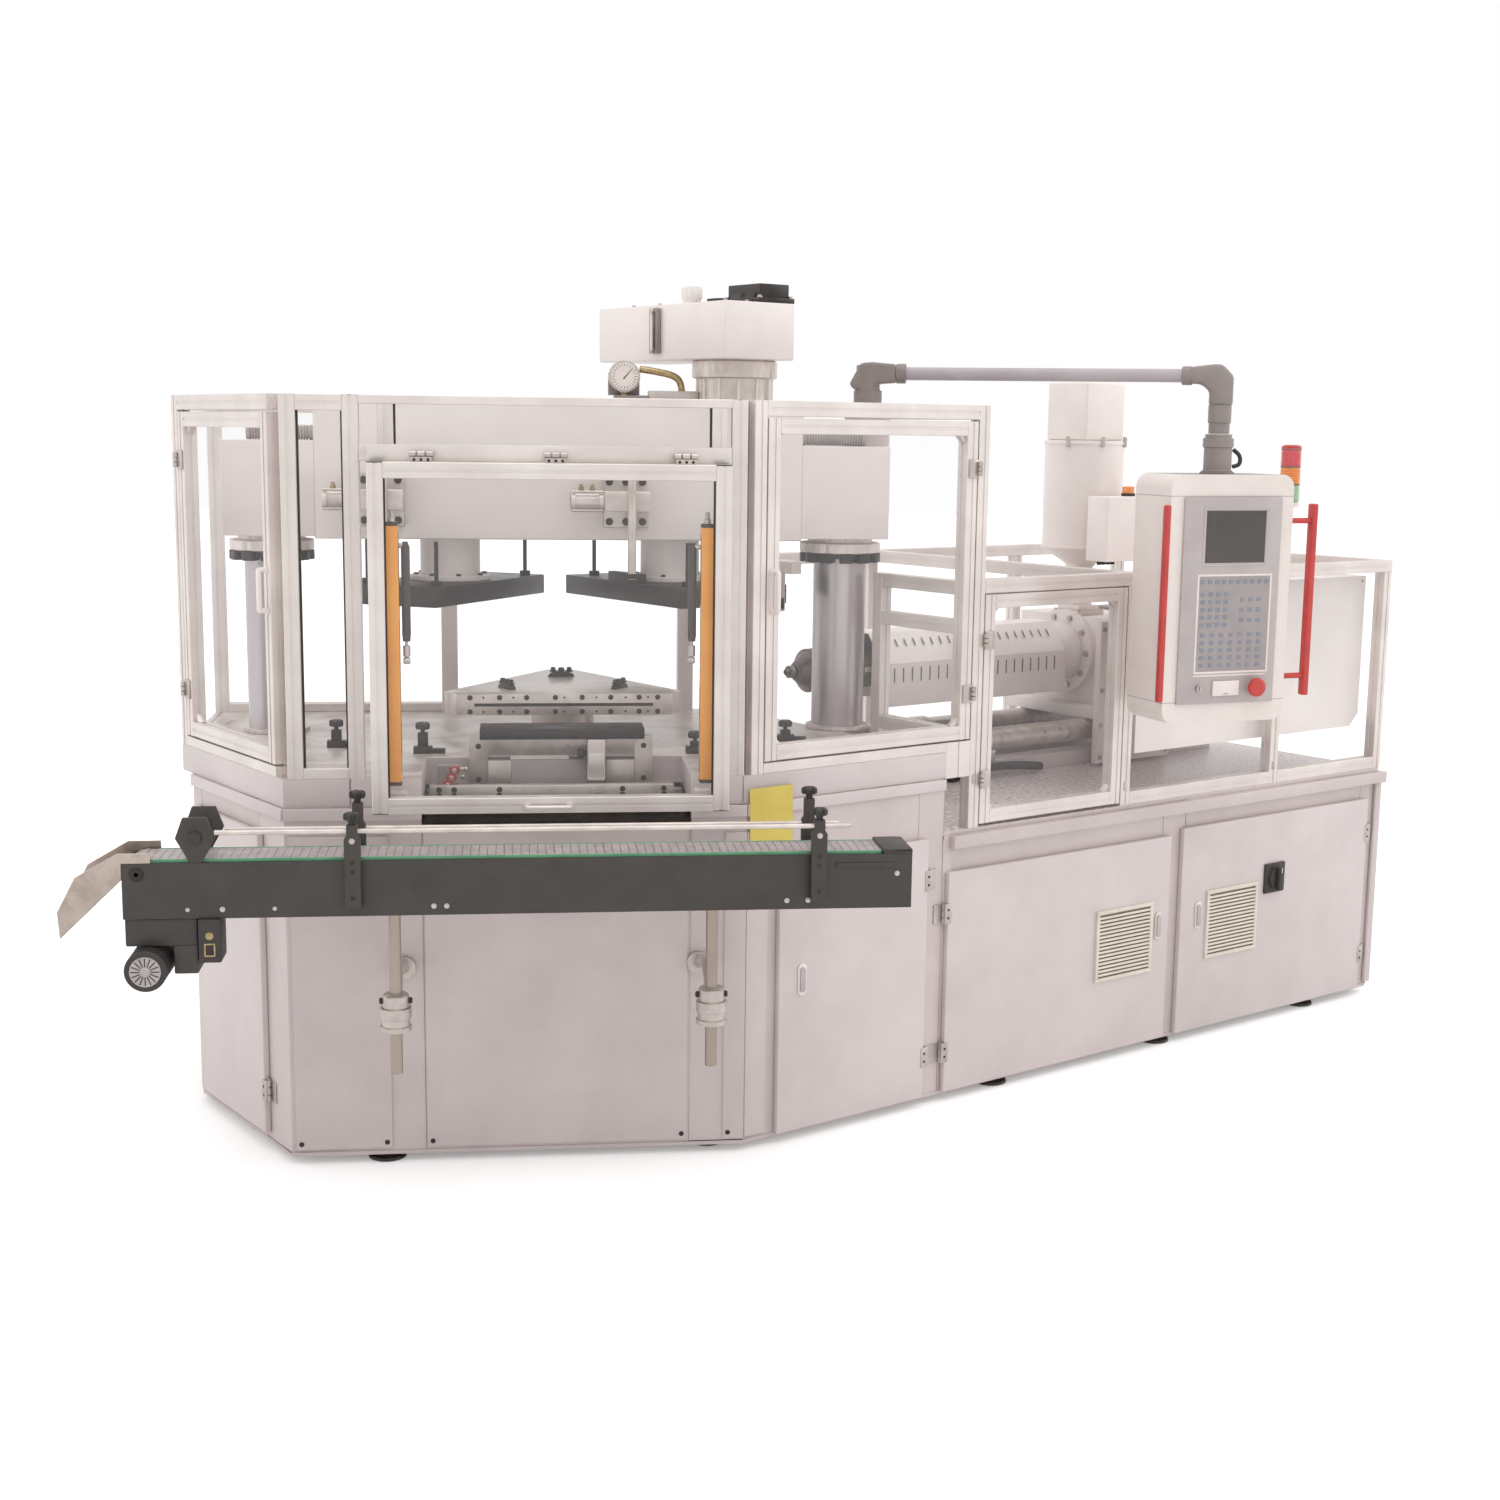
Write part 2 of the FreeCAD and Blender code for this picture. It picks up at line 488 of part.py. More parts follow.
node("left_base_door", door("left", "-left_door_start", "-left_door_end", "0",
                            "(press_door_low + 20)", "(cover_top - 6)",
                            "-left_door_end + hinge_radius", "(-left_door_start + 40)"))
node("press_door", door("injection", "press_door_start", "press_door_end", "-side_depth",
                        "press_door_low", "press_door_high",
                        "press_door_end + hinge_radius", "(press_door_start + 77)"))
node("front_cabinet_door", door("injection", "first_door_start", "first_door_end",
                                "-side_depth", "first_door_low", "first_door_high",
                                "first_door_start - hinge_radius", "(first_door_end - 50)",
                                "(first_door_end - 330)"))
node("rear_cabinet_door", door("injection", "rear_door_start", "rear_door_end",
                               "-side_depth", "first_door_low", "rear_door_high",
                               "rear_door_end + hinge_radius", "(rear_door_start + 81)",
                               "(rear_door_start + 119)"))
switch_face = "-side_depth - door_gap - door_gauge"
node("main_switch", placed("injection", [
    rod("switch_place", switch_face + " - run_gap - 10", "switch_height", "switch_side/2 - 4",
        "10", "y"),
    block("switch_place - 10", "switch_place + 10", switch_face + " - run_gap - switch_proud",
          switch_face + " - run_gap - 10", "switch_height - 42", "switch_height + 42")]))

# Columns with their castellated nuts, and the collars under the beam.
columns = []
for side in ("-", ""):
    centre = side + "column_place"
    columns.append(rod(centre, "beam_centre", "deck_top", "column_radius",
                       "block_low - deck_top"))
    columns.append(tube(centre, "beam_centre", "nut_low", "nut_radius", "column_radius",
                        "nut_high - nut_low"))
    columns.append(tube(centre, "beam_centre", "nut_high", "nut_radius - 25",
                        "column_radius", "block_low - nut_high"))
node("tie_columns", placed("press", columns))

# Cross beam: a welded box, open round the two clamp cylinders, with a solid block at each end.
BEAM_FRONT = "beam_centre - beam_depth/2"
BEAM_BACK = "beam_centre + beam_depth/2"
well_inner = "(station*cos(skew) - ram_radius - cylinder_wall - run_gap)"
well_outer = "(station*cos(skew) + ram_radius + cylinder_wall + run_gap)"
beam = [
    block("-beam_half", "beam_half", BEAM_FRONT, BEAM_FRONT + " + beam_plate/2",
          "beam_low", "beam_high"),
    block("-beam_half", "beam_half", BEAM_BACK + " - beam_plate/2", BEAM_BACK,
          "beam_low", "beam_high"),
    block("-beam_half", "beam_half", BEAM_FRONT + " + beam_plate/2",
          BEAM_BACK + " - beam_plate/2", "beam_high - beam_plate", "beam_high"),
    block("-" + well_inner, well_inner, BEAM_FRONT + " + beam_plate/2",
          BEAM_BACK + " - beam_plate/2", "beam_low", "beam_low + beam_plate"),
]
for side, mirror in (("-", True), ("", False)):
    near, far = side + well_outer, side + "beam_half"
    beam.append(block(far if mirror else near, near if mirror else far,
                      BEAM_FRONT + " + beam_plate/2", BEAM_BACK + " - beam_plate/2",
                      "beam_low", "beam_high - beam_plate"))
    near, far = side + "beam_half", side + "block_half"
    beam.append(block(far if mirror else near, near if mirror else far, BEAM_FRONT, BEAM_BACK,
                      "block_low", "block_high"))
    centre = "-lock_left" if mirror else "lock_right"
    beam.append(block(centre + " - lock_half", centre + " + lock_half",
                      BEAM_FRONT + " - lock_gauge", BEAM_FRONT, "lock_low", "lock_high"))
    beam.append(block(centre + " - lock_half", centre + " + lock_half",
                      BEAM_FRONT + " - lock_gauge - lock_body", BEAM_FRONT + " - lock_gauge",
                      "lock_body_low", "lock_body_high"))
    start = centre + " - lock_half - lock_cylinder"
    beam.append(rod(start, BEAM_FRONT + " - lock_gauge - lock_body/2",
                    "(lock_body_low + lock_body_high)/2", "(lock_body_high - lock_body_low)/2 - 3",
                    "lock_cylinder", "x"))
    beam.append(rod(centre + " + 12", BEAM_FRONT + " - lock_gauge - lock_body - stop_radius",
                    "stop_low", "stop_radius", "lock_high - stop_low"))
node("press_beam", placed("press", beam))



def ribbed_hose(start, way, y, z):
    """Hose along X whose wall is one ruled loft, four circles to a rib, cut by its bore."""
    outer, inner = SIZES["hose_radius"], SIZES["hose_bore"]
    reach, pitch = SIZES["hose_reach"], SIZES["hose_pitch"]
    root = outer - SIZES["hose_rib"]
    ribs = int((reach - 4 * outer) / pitch)
    rings = [(0, root)]
    for i in range(ribs):
        for share, radius in ((0, root), (0.2, outer), (0.6, outer), (0.8, root)):
            rings.append((2 * outer + (i + share) * pitch, radius))
    rings.append((reach, root))
    axis = VECTOR(1, 0, 0)
    wires = [Part.Wire(Part.Circle(VECTOR(x, 0, 0), axis, radius).toShape())
             for x, radius in rings]
    body = Part.makeLoft(wires, True, True).cut(Part.makeCylinder(inner, reach, VECTOR(), axis))
    piece = add("Part::Feature")
    piece.Shape = body
    if way < 0:
        piece.Placement = FreeCAD.Placement(VECTOR(), FreeCAD.Rotation(VECTOR(0, 0, 1), 180))
    return place(piece, start, y, z)


hose_z = "block_high + hose_radius + run_gap"
node("beam_hoses", placed("press", [
    ribbed_hose("beam_half", 1, BEAM_FRONT + " + hose_front", hose_z),
    ribbed_hose("-beam_half", -1, BEAM_FRONT + " + hose_front", hose_z)]))

ram_x, ram_y = from_injection("station", "0")
clamp_cylinders = []
for side in ("-", ""):
    centre = "%s(%s)" % (side, ram_x)
    clamp_cylinders.append(tube(centre, ram_y, "beam_low", "ram_radius + cylinder_wall",
                                "ram_radius + bore_gap", "beam_high - beam_plate - beam_low"))
node("clamp_cylinders", placed("press", clamp_cylinders))


# Platens, each with its ram, flange and guide studs.
def platen(label, frame, depth, start, rear):
    outer = "(platen_start + %s)" % depth
    pieces = [block(start, outer, "-platen_half", rear, "platen_low", "platen_high"),
              rod("station", "0", "platen_high", "ram_radius", "ram_height - platen_high")]
    for across in ("-guide_place", "guide_place"):
        for along in ("platen_start + 35", outer + " - 35"):
            pieces.append(fuse(rod(along, across, "platen_high", "guide_radius",
                                   "guide_top - platen_high"),
                               rod(along, across, "guide_top - 24", "guide_nut", "14")))
    node(label, placed(frame, pieces))


platen("injection_platen", "injection", "injection_platen_depth",
       "platen_start - injection_lead", "injection_rear")
platen("blow_platen", "blow", "blow_platen_depth", "platen_start", "platen_half")

# Index table on its lifting shaft.
node("index_drive", placed("press", [
    block("-drive_half", "drive_half", "-drive_half", "drive_half", "drive_low", "base_top"),
    rod("0", "0", "drive_low - 160", "drive_half/2", "160"),
    tube("0", "0", "deck_top", "bearing_radius", "shaft_radius + run_gap", "bearing_height")]))
node("table_shaft", placed("press", [
    rod("0", "0", "base_top + wall", "shaft_radius", "table_low - run_gap - base_top - wall")]))


def turned(x, y, angle):
    return ("(%s)*cos(%s) - (%s)*sin(%s)" % (x, angle, y, angle),
            "(%s)*sin(%s) + (%s)*cos(%s)" % (x, angle, y, angle))


table_corners = []
for angle in ("0", "120", "240"):
    table_corners.append(turned("-table_face/2", "-table_in", angle))
    table_corners.append(turned("table_face/2", "-table_in", angle))
table_waist = "(table_low + table_high)/2"
inner_corners = []
for angle in ("0", "120", "240"):
    inner_corners.append(turned("-table_face/2 + slot_depth", "-table_in + slot_depth", angle))
    inner_corners.append(turned("table_face/2 - slot_depth", "-table_in + slot_depth", angle))
table_pieces = [fuse(prism(table_corners, "table_low", table_waist + " - slot_height/2"),
                     prism(inner_corners, table_waist + " - slot_height/2",
                           table_waist + " + slot_height/2"),
                     prism(table_corners, table_waist + " + slot_height/2", "table_high"))]
for angle in ("0", "120", "240"):
    x, y = turned("0", "clamp_place", angle)
    table_pieces.append(block("(%s) - clamp_size" % x, "(%s) + clamp_size" % x,
                              "(%s) - clamp_size/2" % y, "(%s) + clamp_size/2" % y,
                              "table_high", "table_high + clamp_size/2"))
node("index_table", placed("press", table_pieces))

# Guard of square profile. Corner posts stand on the deck, the last one on the cabinet.
RAIL_TOP = "guard_top - profile"
LOW_RAIL = "deck_top + guard_rail"


def post(x, y, z_from="deck_top", z_to="guard_top"):
    return block("%s - profile/2" % x, "%s + profile/2" % x, y, "%s + profile" % y, z_from, z_to)


FRONT = "-front_depth"
FIRST_X = "(-left_corner + 33)"
bay_y = "(-gate_front + profile + bay_gap)"
guard_press = [
    post(FIRST_X, FRONT), post("(-post_left)", FRONT), post("post_right", FRONT),
    block(FIRST_X + " + profile/2", "-post_left - profile/2", FRONT, FRONT + " + profile",
          "deck_top", LOW_RAIL),
    block(FIRST_X + " + profile/2", "-post_left - profile/2", FRONT, FRONT + " + profile",
          RAIL_TOP, "guard_top"),
    block("-post_left + profile/2", "post_right - profile/2", FRONT, FRONT + " + profile",
          "transom_low + transom_glass", "guard_top"),
    block("-post_left + profile/2", "post_right - profile/2", FRONT, FRONT + " + profile",
          "second_rail", "transom_low"),
    post("(-bar_left)", FRONT, "transom_low", "transom_low + transom_glass"),
    post("bar_right", FRONT, "transom_low", "transom_low + transom_glass"),
    # Bay that holds the gate: two uprights, a header and the side sills.
    block("-gate_left", "-gate_left + profile", bay_y, bay_y + " + profile",
          "gate_low", "second_rail"),
    block("gate_right - profile", "gate_right", bay_y, bay_y + " + profile",
          "gate_low", "second_rail"),
    block("-gate_left", "gate_right", bay_y, FRONT, "second_rail", "transom_low"),
    block("-gate_left + profile", "-gate_left + 2*profile", FRONT + " - 60", FRONT,
          "gate_low", "gate_low + profile"),
    block("gate_right - 2*profile", "gate_right - profile", FRONT + " - 60", FRONT,
          "gate_low", "gate_low + profile"),
    # Rear of the guard.
    block("-side_post_left - rear_post/2", "-side_post_left + rear_post/2",
          "rear_depth - rear_post", "rear_depth", "deck_top", RAIL_TOP),
    block("side_post_right - rear_post/2", "side_post_right + rear_post/2",
          "rear_depth - rear_post", "rear_depth", "deck_top", RAIL_TOP),
    block(deck_left_x, deck_left_x + " + profile", "rear_depth - profile", "rear_depth",
          "deck_top", RAIL_TOP),
    block(end_x("rear_depth") + " - profile", end_x("rear_depth"), "rear_depth - profile",
          "rear_depth", "deck_top", RAIL_TOP),
    block(deck_left_x, end_x("rear_depth"), "rear_depth - profile", "rear_depth",
          RAIL_TOP, "guard_top"),
    block(deck_left_x, deck_left_x + " + profile", deck_left_y + " + profile",
          "rear_depth - profile", RAIL_TOP, "guard_top"),
    block(deck_left_x + " + profile", "-side_post_left - rear_post/2",
          "rear_depth - profile", "rear_depth", "deck_top", LOW_RAIL),
    block("-side_post_left + rear_post/2", "side_post_right - rear_post/2",
          "rear_depth - profile", "rear_depth", "deck_top", LOW_RAIL),
]
guard_left = [
    block("-deck_left", "-deck_left + profile", "0", "profile", "deck_top", "guard_top"),
    block("-deck_left + profile", "-profile", "0", "profile", "deck_top", LOW_RAIL),
    block("-deck_left + profile", "-profile", "0", "profile", RAIL_TOP, "guard_top"),
]
SIDE = "-side_depth"
guard_right = [
    block("corner_post", "corner_post + profile", SIDE, SIDE + " + profile", "deck_top",
          "guard_top"),
    block("guard_end", "guard_end + profile", SIDE, SIDE + " + profile", "cabinet_top",
          "guard_top"),
    block("corner_post + profile", "guard_end", SIDE, SIDE + " + profile", RAIL_TOP,
          "guard_top"),
    block("corner_post + profile", "base_end", SIDE, SIDE + " + profile", "deck_top",
          LOW_RAIL),
    block("base_end", "guard_end", SIDE, SIDE + " + profile", "base_top", LOW_RAIL),
    block("guard_end", "guard_end + profile", SIDE + " + profile", "-rail_stop",
          RAIL_TOP, "guard_top"),
    block("base_end - profile", "base_end",
          end_y("(beam_centre + beam_depth/2 + run_gap)", "(base_end - profile)"),
          end_y("(rear_depth - profile)"), RAIL_TOP, "guard_top"),
    block("guard_end", "guard_end + profile", "-partition_post", "-partition_post + profile",
          "cabinet_top", "partition_rail"),
    block("guard_end", "guard_end + profile", SIDE + " + profile", "-partition_post",
          "partition_rail - profile", "partition_rail"),
    block("guard_end", "guard_end + profile", SIDE + " + profile", "-partition_post",
          "partition_mid - profile", "partition_mid"),
    block("guard_end", "guard_end + profile", SIDE + " + profile", "-partition_post",
          "partition_low - profile", "partition_low"),
]
# Lower guard round the injection unit.
BACK = "cabinet_back - profile"
screen = []
for face in (SIDE, BACK):
    start = "guard_end + profile" if face == SIDE else "guard_end"
    for x in (["screen_door_end"] if face == SIDE else ["guard_end", "screen_door_end"]) \
            + ["screen_post", "screen_end"]:
        low, high = "cabinet_top", "screen_top - screen_rail"
        screen.append(block(x, x + " + profile", face, face + " + profile", low, high))
    screen.append(block(start, "screen_end + profile", face, face + " + profile",
                        "screen_top - screen_rail", "screen_top"))
for x in ("screen_end", "screen_door_end"):
    screen.append(block(x, x + " + profile", SIDE + " + profile", BACK,
                        "screen_top - screen_rail", "screen_top"))
screen.append(block("screen_door_end + profile", "screen_post", SIDE, SIDE + " + profile",
                    "cabinet_top", "cabinet_top + screen_rail"))
screen.append(block("screen_post + profile", "screen_end", SIDE, SIDE + " + profile",
                    "cabinet_top", "cabinet_top + screen_rail"))
screen.append(block("guard_end", "guard_end + profile", "profile", BACK,
                    "screen_top - screen_rail", "screen_top"))
node("guard_frame", placed("press", guard_press), placed("left", guard_left),
     placed("injection", guard_right + screen))

# Clear panes fixed in the guard.
PANE_BACK = " + profile/2 + pane/2"
PANE_FRONT = " + profile/2 - pane/2"
press_panes = [
    block(FIRST_X + " + profile/2", "-post_left - profile/2", FRONT + PANE_FRONT,
          FRONT + PANE_BACK, LOW_RAIL, RAIL_TOP),
    block("-post_left + profile/2", "-bar_left - profile/2", FRONT + PANE_FRONT,
          FRONT + PANE_BACK, "transom_low", "transom_low + transom_glass"),
    block("-bar_left + profile/2", "bar_right - profile/2", FRONT + PANE_FRONT,
          FRONT + PANE_BACK, "transom_low", "transom_low + transom_glass"),
    prism([("-post_left - profile/2 + pane", FRONT), ("-post_left - profile/2", FRONT),
           ("-gate_left - pane", bay_y), ("-gate_left", bay_y)], "gate_low", "second_rail"),
    prism([("post_right + profile/2", FRONT), ("post_right + profile/2 - pane", FRONT),
           ("gate_right", bay_y), ("gate_right + pane", bay_y)], "gate_low", "second_rail"),
    block(deck_left_x + " + profile", "-side_post_left - rear_post/2",
          "rear_depth" + " - profile/2 - pane/2", "rear_depth - profile/2 + pane/2",
          LOW_RAIL, RAIL_TOP),
    block("-side_post_left + rear_post/2", "side_post_right - rear_post/2",
          "rear_depth - profile/2 - pane/2", "rear_depth - profile/2 + pane/2",
          LOW_RAIL, RAIL_TOP),
    block(deck_left_x + PANE_FRONT, deck_left_x + PANE_BACK, deck_left_y + " + profile",
          "rear_depth - profile", "deck_top", RAIL_TOP),
]
screen_panes = [
    block("screen_door_end + profile", "screen_post", SIDE + PANE_FRONT, SIDE + PANE_BACK,
          "cabinet_top + screen_rail", "screen_top - screen_rail"),
    block("screen_post + profile", "screen_end", SIDE + PANE_FRONT, SIDE + PANE_BACK,
          "cabinet_top + screen_rail", "screen_top - screen_rail"),
    block("guard_end + profile", "screen_door_end", BACK + PANE_FRONT, BACK + PANE_BACK,
          "cabinet_top", "screen_top - screen_rail"),
    block("screen_door_end + profile", "screen_post", BACK + PANE_FRONT, BACK + PANE_BACK,
          "cabinet_top", "screen_top - screen_rail"),
    block("screen_post + profile", "screen_end", BACK + PANE_FRONT, BACK + PANE_BACK,
          "cabinet_top", "screen_top - screen_rail"),
    block("screen_end" + PANE_FRONT, "screen_end" + PANE_BACK, SIDE + " + profile", BACK,
          "cabinet_top", "screen_top - screen_rail"),
    block("guard_end" + PANE_FRONT, "guard_end" + PANE_BACK, SIDE + " + profile",
          "-partition_post", "partition_mid", "partition_rail - profile"),
    block("guard_end" + PANE_FRONT, "guard_end" + PANE_BACK, SIDE + " + profile",
          "-partition_post", "partition_low", "partition_mid - profile"),
]
node("guard_panes", placed("press", press_panes), placed("injection", screen_panes))

# Light curtains on the bay uprights.
SPRING_Y = "(%s + profile/2 - 4)" % bay_y
node("light_curtains", placed("press", [
    rod("-gate_left + profile + curtain_width", SPRING_Y, "spring_pivot", "spring_stud",
        "gate_left - profile - curtain_width - spring_left - spring_radius - run_gap", "x"),
    rod("spring_right + spring_radius + run_gap", SPRING_Y, "spring_pivot", "spring_stud",
        "gate_right - profile - curtain_width - spring_right - spring_radius - run_gap", "x"),
    block("-gate_left + profile", "-gate_left + profile + curtain_width", bay_y + " + 2",
          bay_y + " + 2 + curtain_depth", "curtain_low", "curtain_high"),
    block("gate_right - profile - curtain_width", "gate_right - profile", bay_y + " + 2",
          bay_y + " + 2 + curtain_depth", "curtain_low", "curtain_high")]))


# Framed doors: four profile bars, hinge barrels beside the frame and a handle.
def framed_door(frame, x_from, x_to, face, z_from, z_to, hinge, handle):
    back = "%s + profile" % face
    bars = [
        block(x_from, "%s + profile" % x_from, face, back, z_from, z_to),
        block("%s - profile" % x_to, x_to, face, back, z_from, z_to),
        block("%s + profile" % x_from, "%s - profile" % x_to, face, back, z_from,
              "%s + profile" % z_from),
        block("%s + profile" % x_from, "%s - profile" % x_to, face, back,
              "%s - profile" % z_to, z_to),
    ]
    for height in ("%s + 110" % z_from, "%s - 150" % z_to):
        bars.append(rod(hinge, "%s - hinge_radius" % face, height, "hinge_radius", "40"))
    if handle:
        bars.append(block("%s - 9" % handle, "%s + 9" % handle, "%s - 28" % face, face,
                          "(%s + %s)/2 - 60" % (z_from, z_to), "(%s + %s)/2 + 60" % (z_from, z_to)))
    return placed(frame, bars)


def framed_pane(frame, x_from, x_to, face, z_from, z_to):
    return placed(frame, [
        block("%s + profile" % x_from, "%s - profile" % x_to, face + PANE_FRONT,
              face + PANE_BACK, "%s + profile" % z_from, "%s - profile" % z_to)])


left_door = ("left", "(-deck_left + profile + door_clear)", "(-profile - door_clear)", "0",
             "guard_door_low", "guard_door_high")
node("left_door_frame", framed_door(*left_door, "(-deck_left + profile + door_clear/2)",
                                    "(-profile - door_clear - 20)"))
node("left_door_pane", framed_pane(*left_door))
right_door = ("injection", "(corner_post + profile + door_clear)", "(guard_end - door_clear)",
              SIDE, "guard_door_low", "guard_door_high")
node("right_door_frame", framed_door(*right_door, "(guard_end - door_clear/2)",
                                     "(corner_post + profile + door_clear + 20)"))
node("right_door_pane", framed_pane(*right_door))
screen_door = ("injection", "(guard_end + profile + door_clear)",
               "(screen_door_end - door_clear)", SIDE, "(screen_low + door_clear)",
               "(screen_top - screen_rail - door_clear)")
node("front_injection_door", framed_door(*screen_door, "(guard_end + profile + door_clear/2)",
                                         None))
node("front_injection_pane", framed_pane(*screen_door))

# Lifting gate with hinge knuckles, handle, pane and gas springs.
GATE_BACK = "-gate_front + profile"
gate = [
    block("-gate_left", "-gate_left + profile", "-gate_front", GATE_BACK, "gate_low",
          "gate_high"),
    block("gate_right - profile", "gate_right", "-gate_front", GATE_BACK, "gate_low",
          "gate_high"),
    block("-gate_left + profile", "gate_right - profile", "-gate_front", GATE_BACK,
          "gate_low", "gate_low + profile"),
    block("-gate_left + profile", "gate_right - profile", "-gate_front", GATE_BACK,
          "gate_high - profile", "gate_high"),
    block("-gate_handle_place - gate_handle/2", "-gate_handle_place + gate_handle/2",
          "-gate_front - 24", "-gate_front", "gate_low + 8", "gate_low + 28"),
]
for place_x in ("-gate_hinge_left", "-gate_hinge_middle", "gate_hinge_right"):
    gate.append(block("%s - hinge_length/2" % place_x, "%s + hinge_length/2" % place_x, "-gate_front + 12",
                      "-gate_front + 30", "gate_high", "gate_hinge + hinge_radius"))
node("gate_frame", placed("press", gate))
node("gate_pane", placed("press", [
    block("-gate_left + profile", "gate_right - profile", "-gate_front" + PANE_FRONT,
          "-gate_front" + PANE_BACK, "gate_low + profile", "gate_high - profile")]))
spring_tubes, spring_rods = [], []
for centre in ("-spring_left", "spring_right"):
    spring_tubes.append(tube(centre, SPRING_Y, "spring_top - spring_length", "spring_radius",
                             "spring_rod + run_gap", "spring_length"))
    spring_rods.append(rod(centre, SPRING_Y, "spring_foot", "spring_rod",
                           "spring_top - run_gap - spring_foot"))
node("gas_spring_tubes", placed("press", spring_tubes))
node("gas_spring_rods", placed("press", spring_rods))

# Stripping station in the deck notch.
FRAME_Y = "-frame_front"
node("stripper_frame", placed("press", [
    block("-frame_left", "-frame_left + frame_gauge", FRAME_Y, FRAME_Y + " + frame_depth",
          "rail_high", "frame_high"),
    block("frame_right - frame_gauge", "frame_right", FRAME_Y, FRAME_Y + " + frame_depth",
          "rail_high", "frame_high"),
    block("-frame_left + frame_gauge", "frame_right - frame_gauge", FRAME_Y,
          FRAME_Y + " + frame_depth", "frame_high - frame_bar", "frame_high"),
    block("-actuator_left", "actuator_right", FRAME_Y, FRAME_Y + " + frame_depth",
          "rail_high", "frame_high - frame_bar"),
    block("-notch_left", "notch_right", "-front_depth", "-notch_depth - wall",
          "rail_low - wall", "rail_low"),
    block("-notch_left + 12", "notch_right - 30", "-rail_front", "-rail_front + 30", "rail_low",
          "rail_high + 30"),
    block("-notch_left", "notch_right", FRAME_Y, "-notch_depth - 2", "rail_low", "rail_high"),
    block("-notch_left + 24", "notch_right - 30", FRONT, FRONT + " + 20", "rail_low",
          "rail_low + 22")]))
node("stripper_plate", placed("press", [
    block("-stripper_half", "stripper_half - 20", FRAME_Y + " - stripper_depth/2",
          FRAME_Y + " + stripper_depth/2", "stripper_low", "stripper_high"),
    block("unit_left", "unit_right", FRAME_Y + " - unit_depth - run_gap", FRAME_Y + " - run_gap",
          "unit_low + unit_sill", "stripper_low")]))

# Prefill tank and the parts below it.
node("prefill_tank", placed("injection", [
    block("tank_start", "tank_end", "-tank_near", "tank_far", "tank_low", "tank_high"),
    rod("tank_start + 60", "-tank_near + 250", "tank_high", "26", "breather_height"),
    block("valve_start", "valve_end", "-valve_near", "-valve_far", "tank_high",
          "tank_high + valve_height"),
    block("tank_start - sight_depth", "tank_start", "sight_start", "sight_start + sight_width",
          "tank_low + 20", "tank_high - 10")]))
node("tank_stand", placed("press", [
    rod("ring_place_x", "ring_place_y", "beam_high", "neck_radius",
        "tank_low - 2*ring_gauge - beam_high"),
    rod("ring_place_x", "ring_place_y", "tank_low - 2*ring_gauge", "ring_radius",
        "2*ring_gauge"),
    block("gauge_place - 30", "gauge_place + 70", "ring_place_y - 30", "ring_place_y + 30",
          "beam_high", "gauge_height - 40"),
    block("gauge_place + 70", "ring_place_x - neck_radius", "ring_place_y - 20",
          "ring_place_y + 20", "beam_high", "beam_high + 40"),
    rod("gauge_place", "ring_place_y - 10", "gauge_height - 40", "10", "54 - gauge_radius"),
    block("gauge_place - gauge_radius", "gauge_place + gauge_radius",
          "ring_place_y - 10 + gauge_depth/2", "ring_place_y - 10 + gauge_depth/2 + gauge_plate",
          "gauge_height - 40", "gauge_height + 25"),
    rod("gauge_place", "ring_place_y - 10 - gauge_depth/2", "gauge_height + 14",
        "gauge_radius", "gauge_depth", "y")]))

# Injection unit: fixed bed and guide rods.
bed = [block("bed_start", "bed_end", side + "(bed_half) - 40" if side else "bed_half - 40",
             side + "(bed_half) + 40" if side else "bed_half + 40", "cabinet_top",
             "bed_top - wall") for side in ("-", "")]
for x in ("bed_start + 60", "1480", "rod_end - 90"):
    bed.append(block(x, x + " + 70", "-bed_half - 50", "bed_half + 50", "bed_top - wall",
                     "rod_height - rod_radius"))
for side in ("-", ""):
    bed.append(rod("rod_start + 62", side + "bed_half", "rod_height", "rod_radius",
                   "rod_end - rod_start - 62", "x"))
node("injection_bed", placed("injection", bed))

node("injection_carriage", placed("injection", [
    block("carriage_start - 60", "carriage_end + 60", "-carriage_half", "carriage_half",
          "carriage_low", "carriage_low + 40"),
    cut(block("carriage_start", "carriage_end", "-carriage_half", "carriage_half",
              "carriage_low + 40", "carriage_high"),
        rod("carriage_start", "0", "injection_height", "housing_bore",
            "carriage_end - carriage_start", "x")),
    block("carriage_start - plate_lead", "carriage_end", "-carriage_half - 26",
          "-carriage_half", "cabinet_top + 8", "carriage_high"),
    tube("carriage_start - disc_gauge", "0", "injection_height", "disc_radius",
         "housing_bore", "disc_gauge", "x"),
    block("carriage_end", "drive_end + 60", "-carriage_half", "-carriage_half + 40",
          "carriage_low + 40", "carriage_low + 120"),
    block("carriage_end", "drive_end + 60", "carriage_half - 40", "carriage_half",
          "carriage_low + 40", "carriage_low + 120")]))
barrel_end = "(carriage_start - disc_gauge)"
node("barrel", placed("injection", [
    cut(fuse(rod("barrel_start", "0", "injection_height", "barrel_radius",
                 barrel_end + " - barrel_start", "x"),
             cone("nozzle_tip + 40", "0", "injection_height", "nozzle_radius",
                  "barrel_radius - 12", "barrel_start - nozzle_tip - 40", "x"),
             rod("nozzle_tip", "0", "injection_height", "nozzle_radius", "40", "x")),
        rod("barrel_start", "0", "injection_height", "barrel_bore",
            barrel_end + " - barrel_start", "x"))]))
node("screw", placed("injection", [
    rod("barrel_start + 20", "0", "injection_height", "barrel_bore - run_gap",
        "drive_start - run_gap - barrel_start - 20", "x")]))


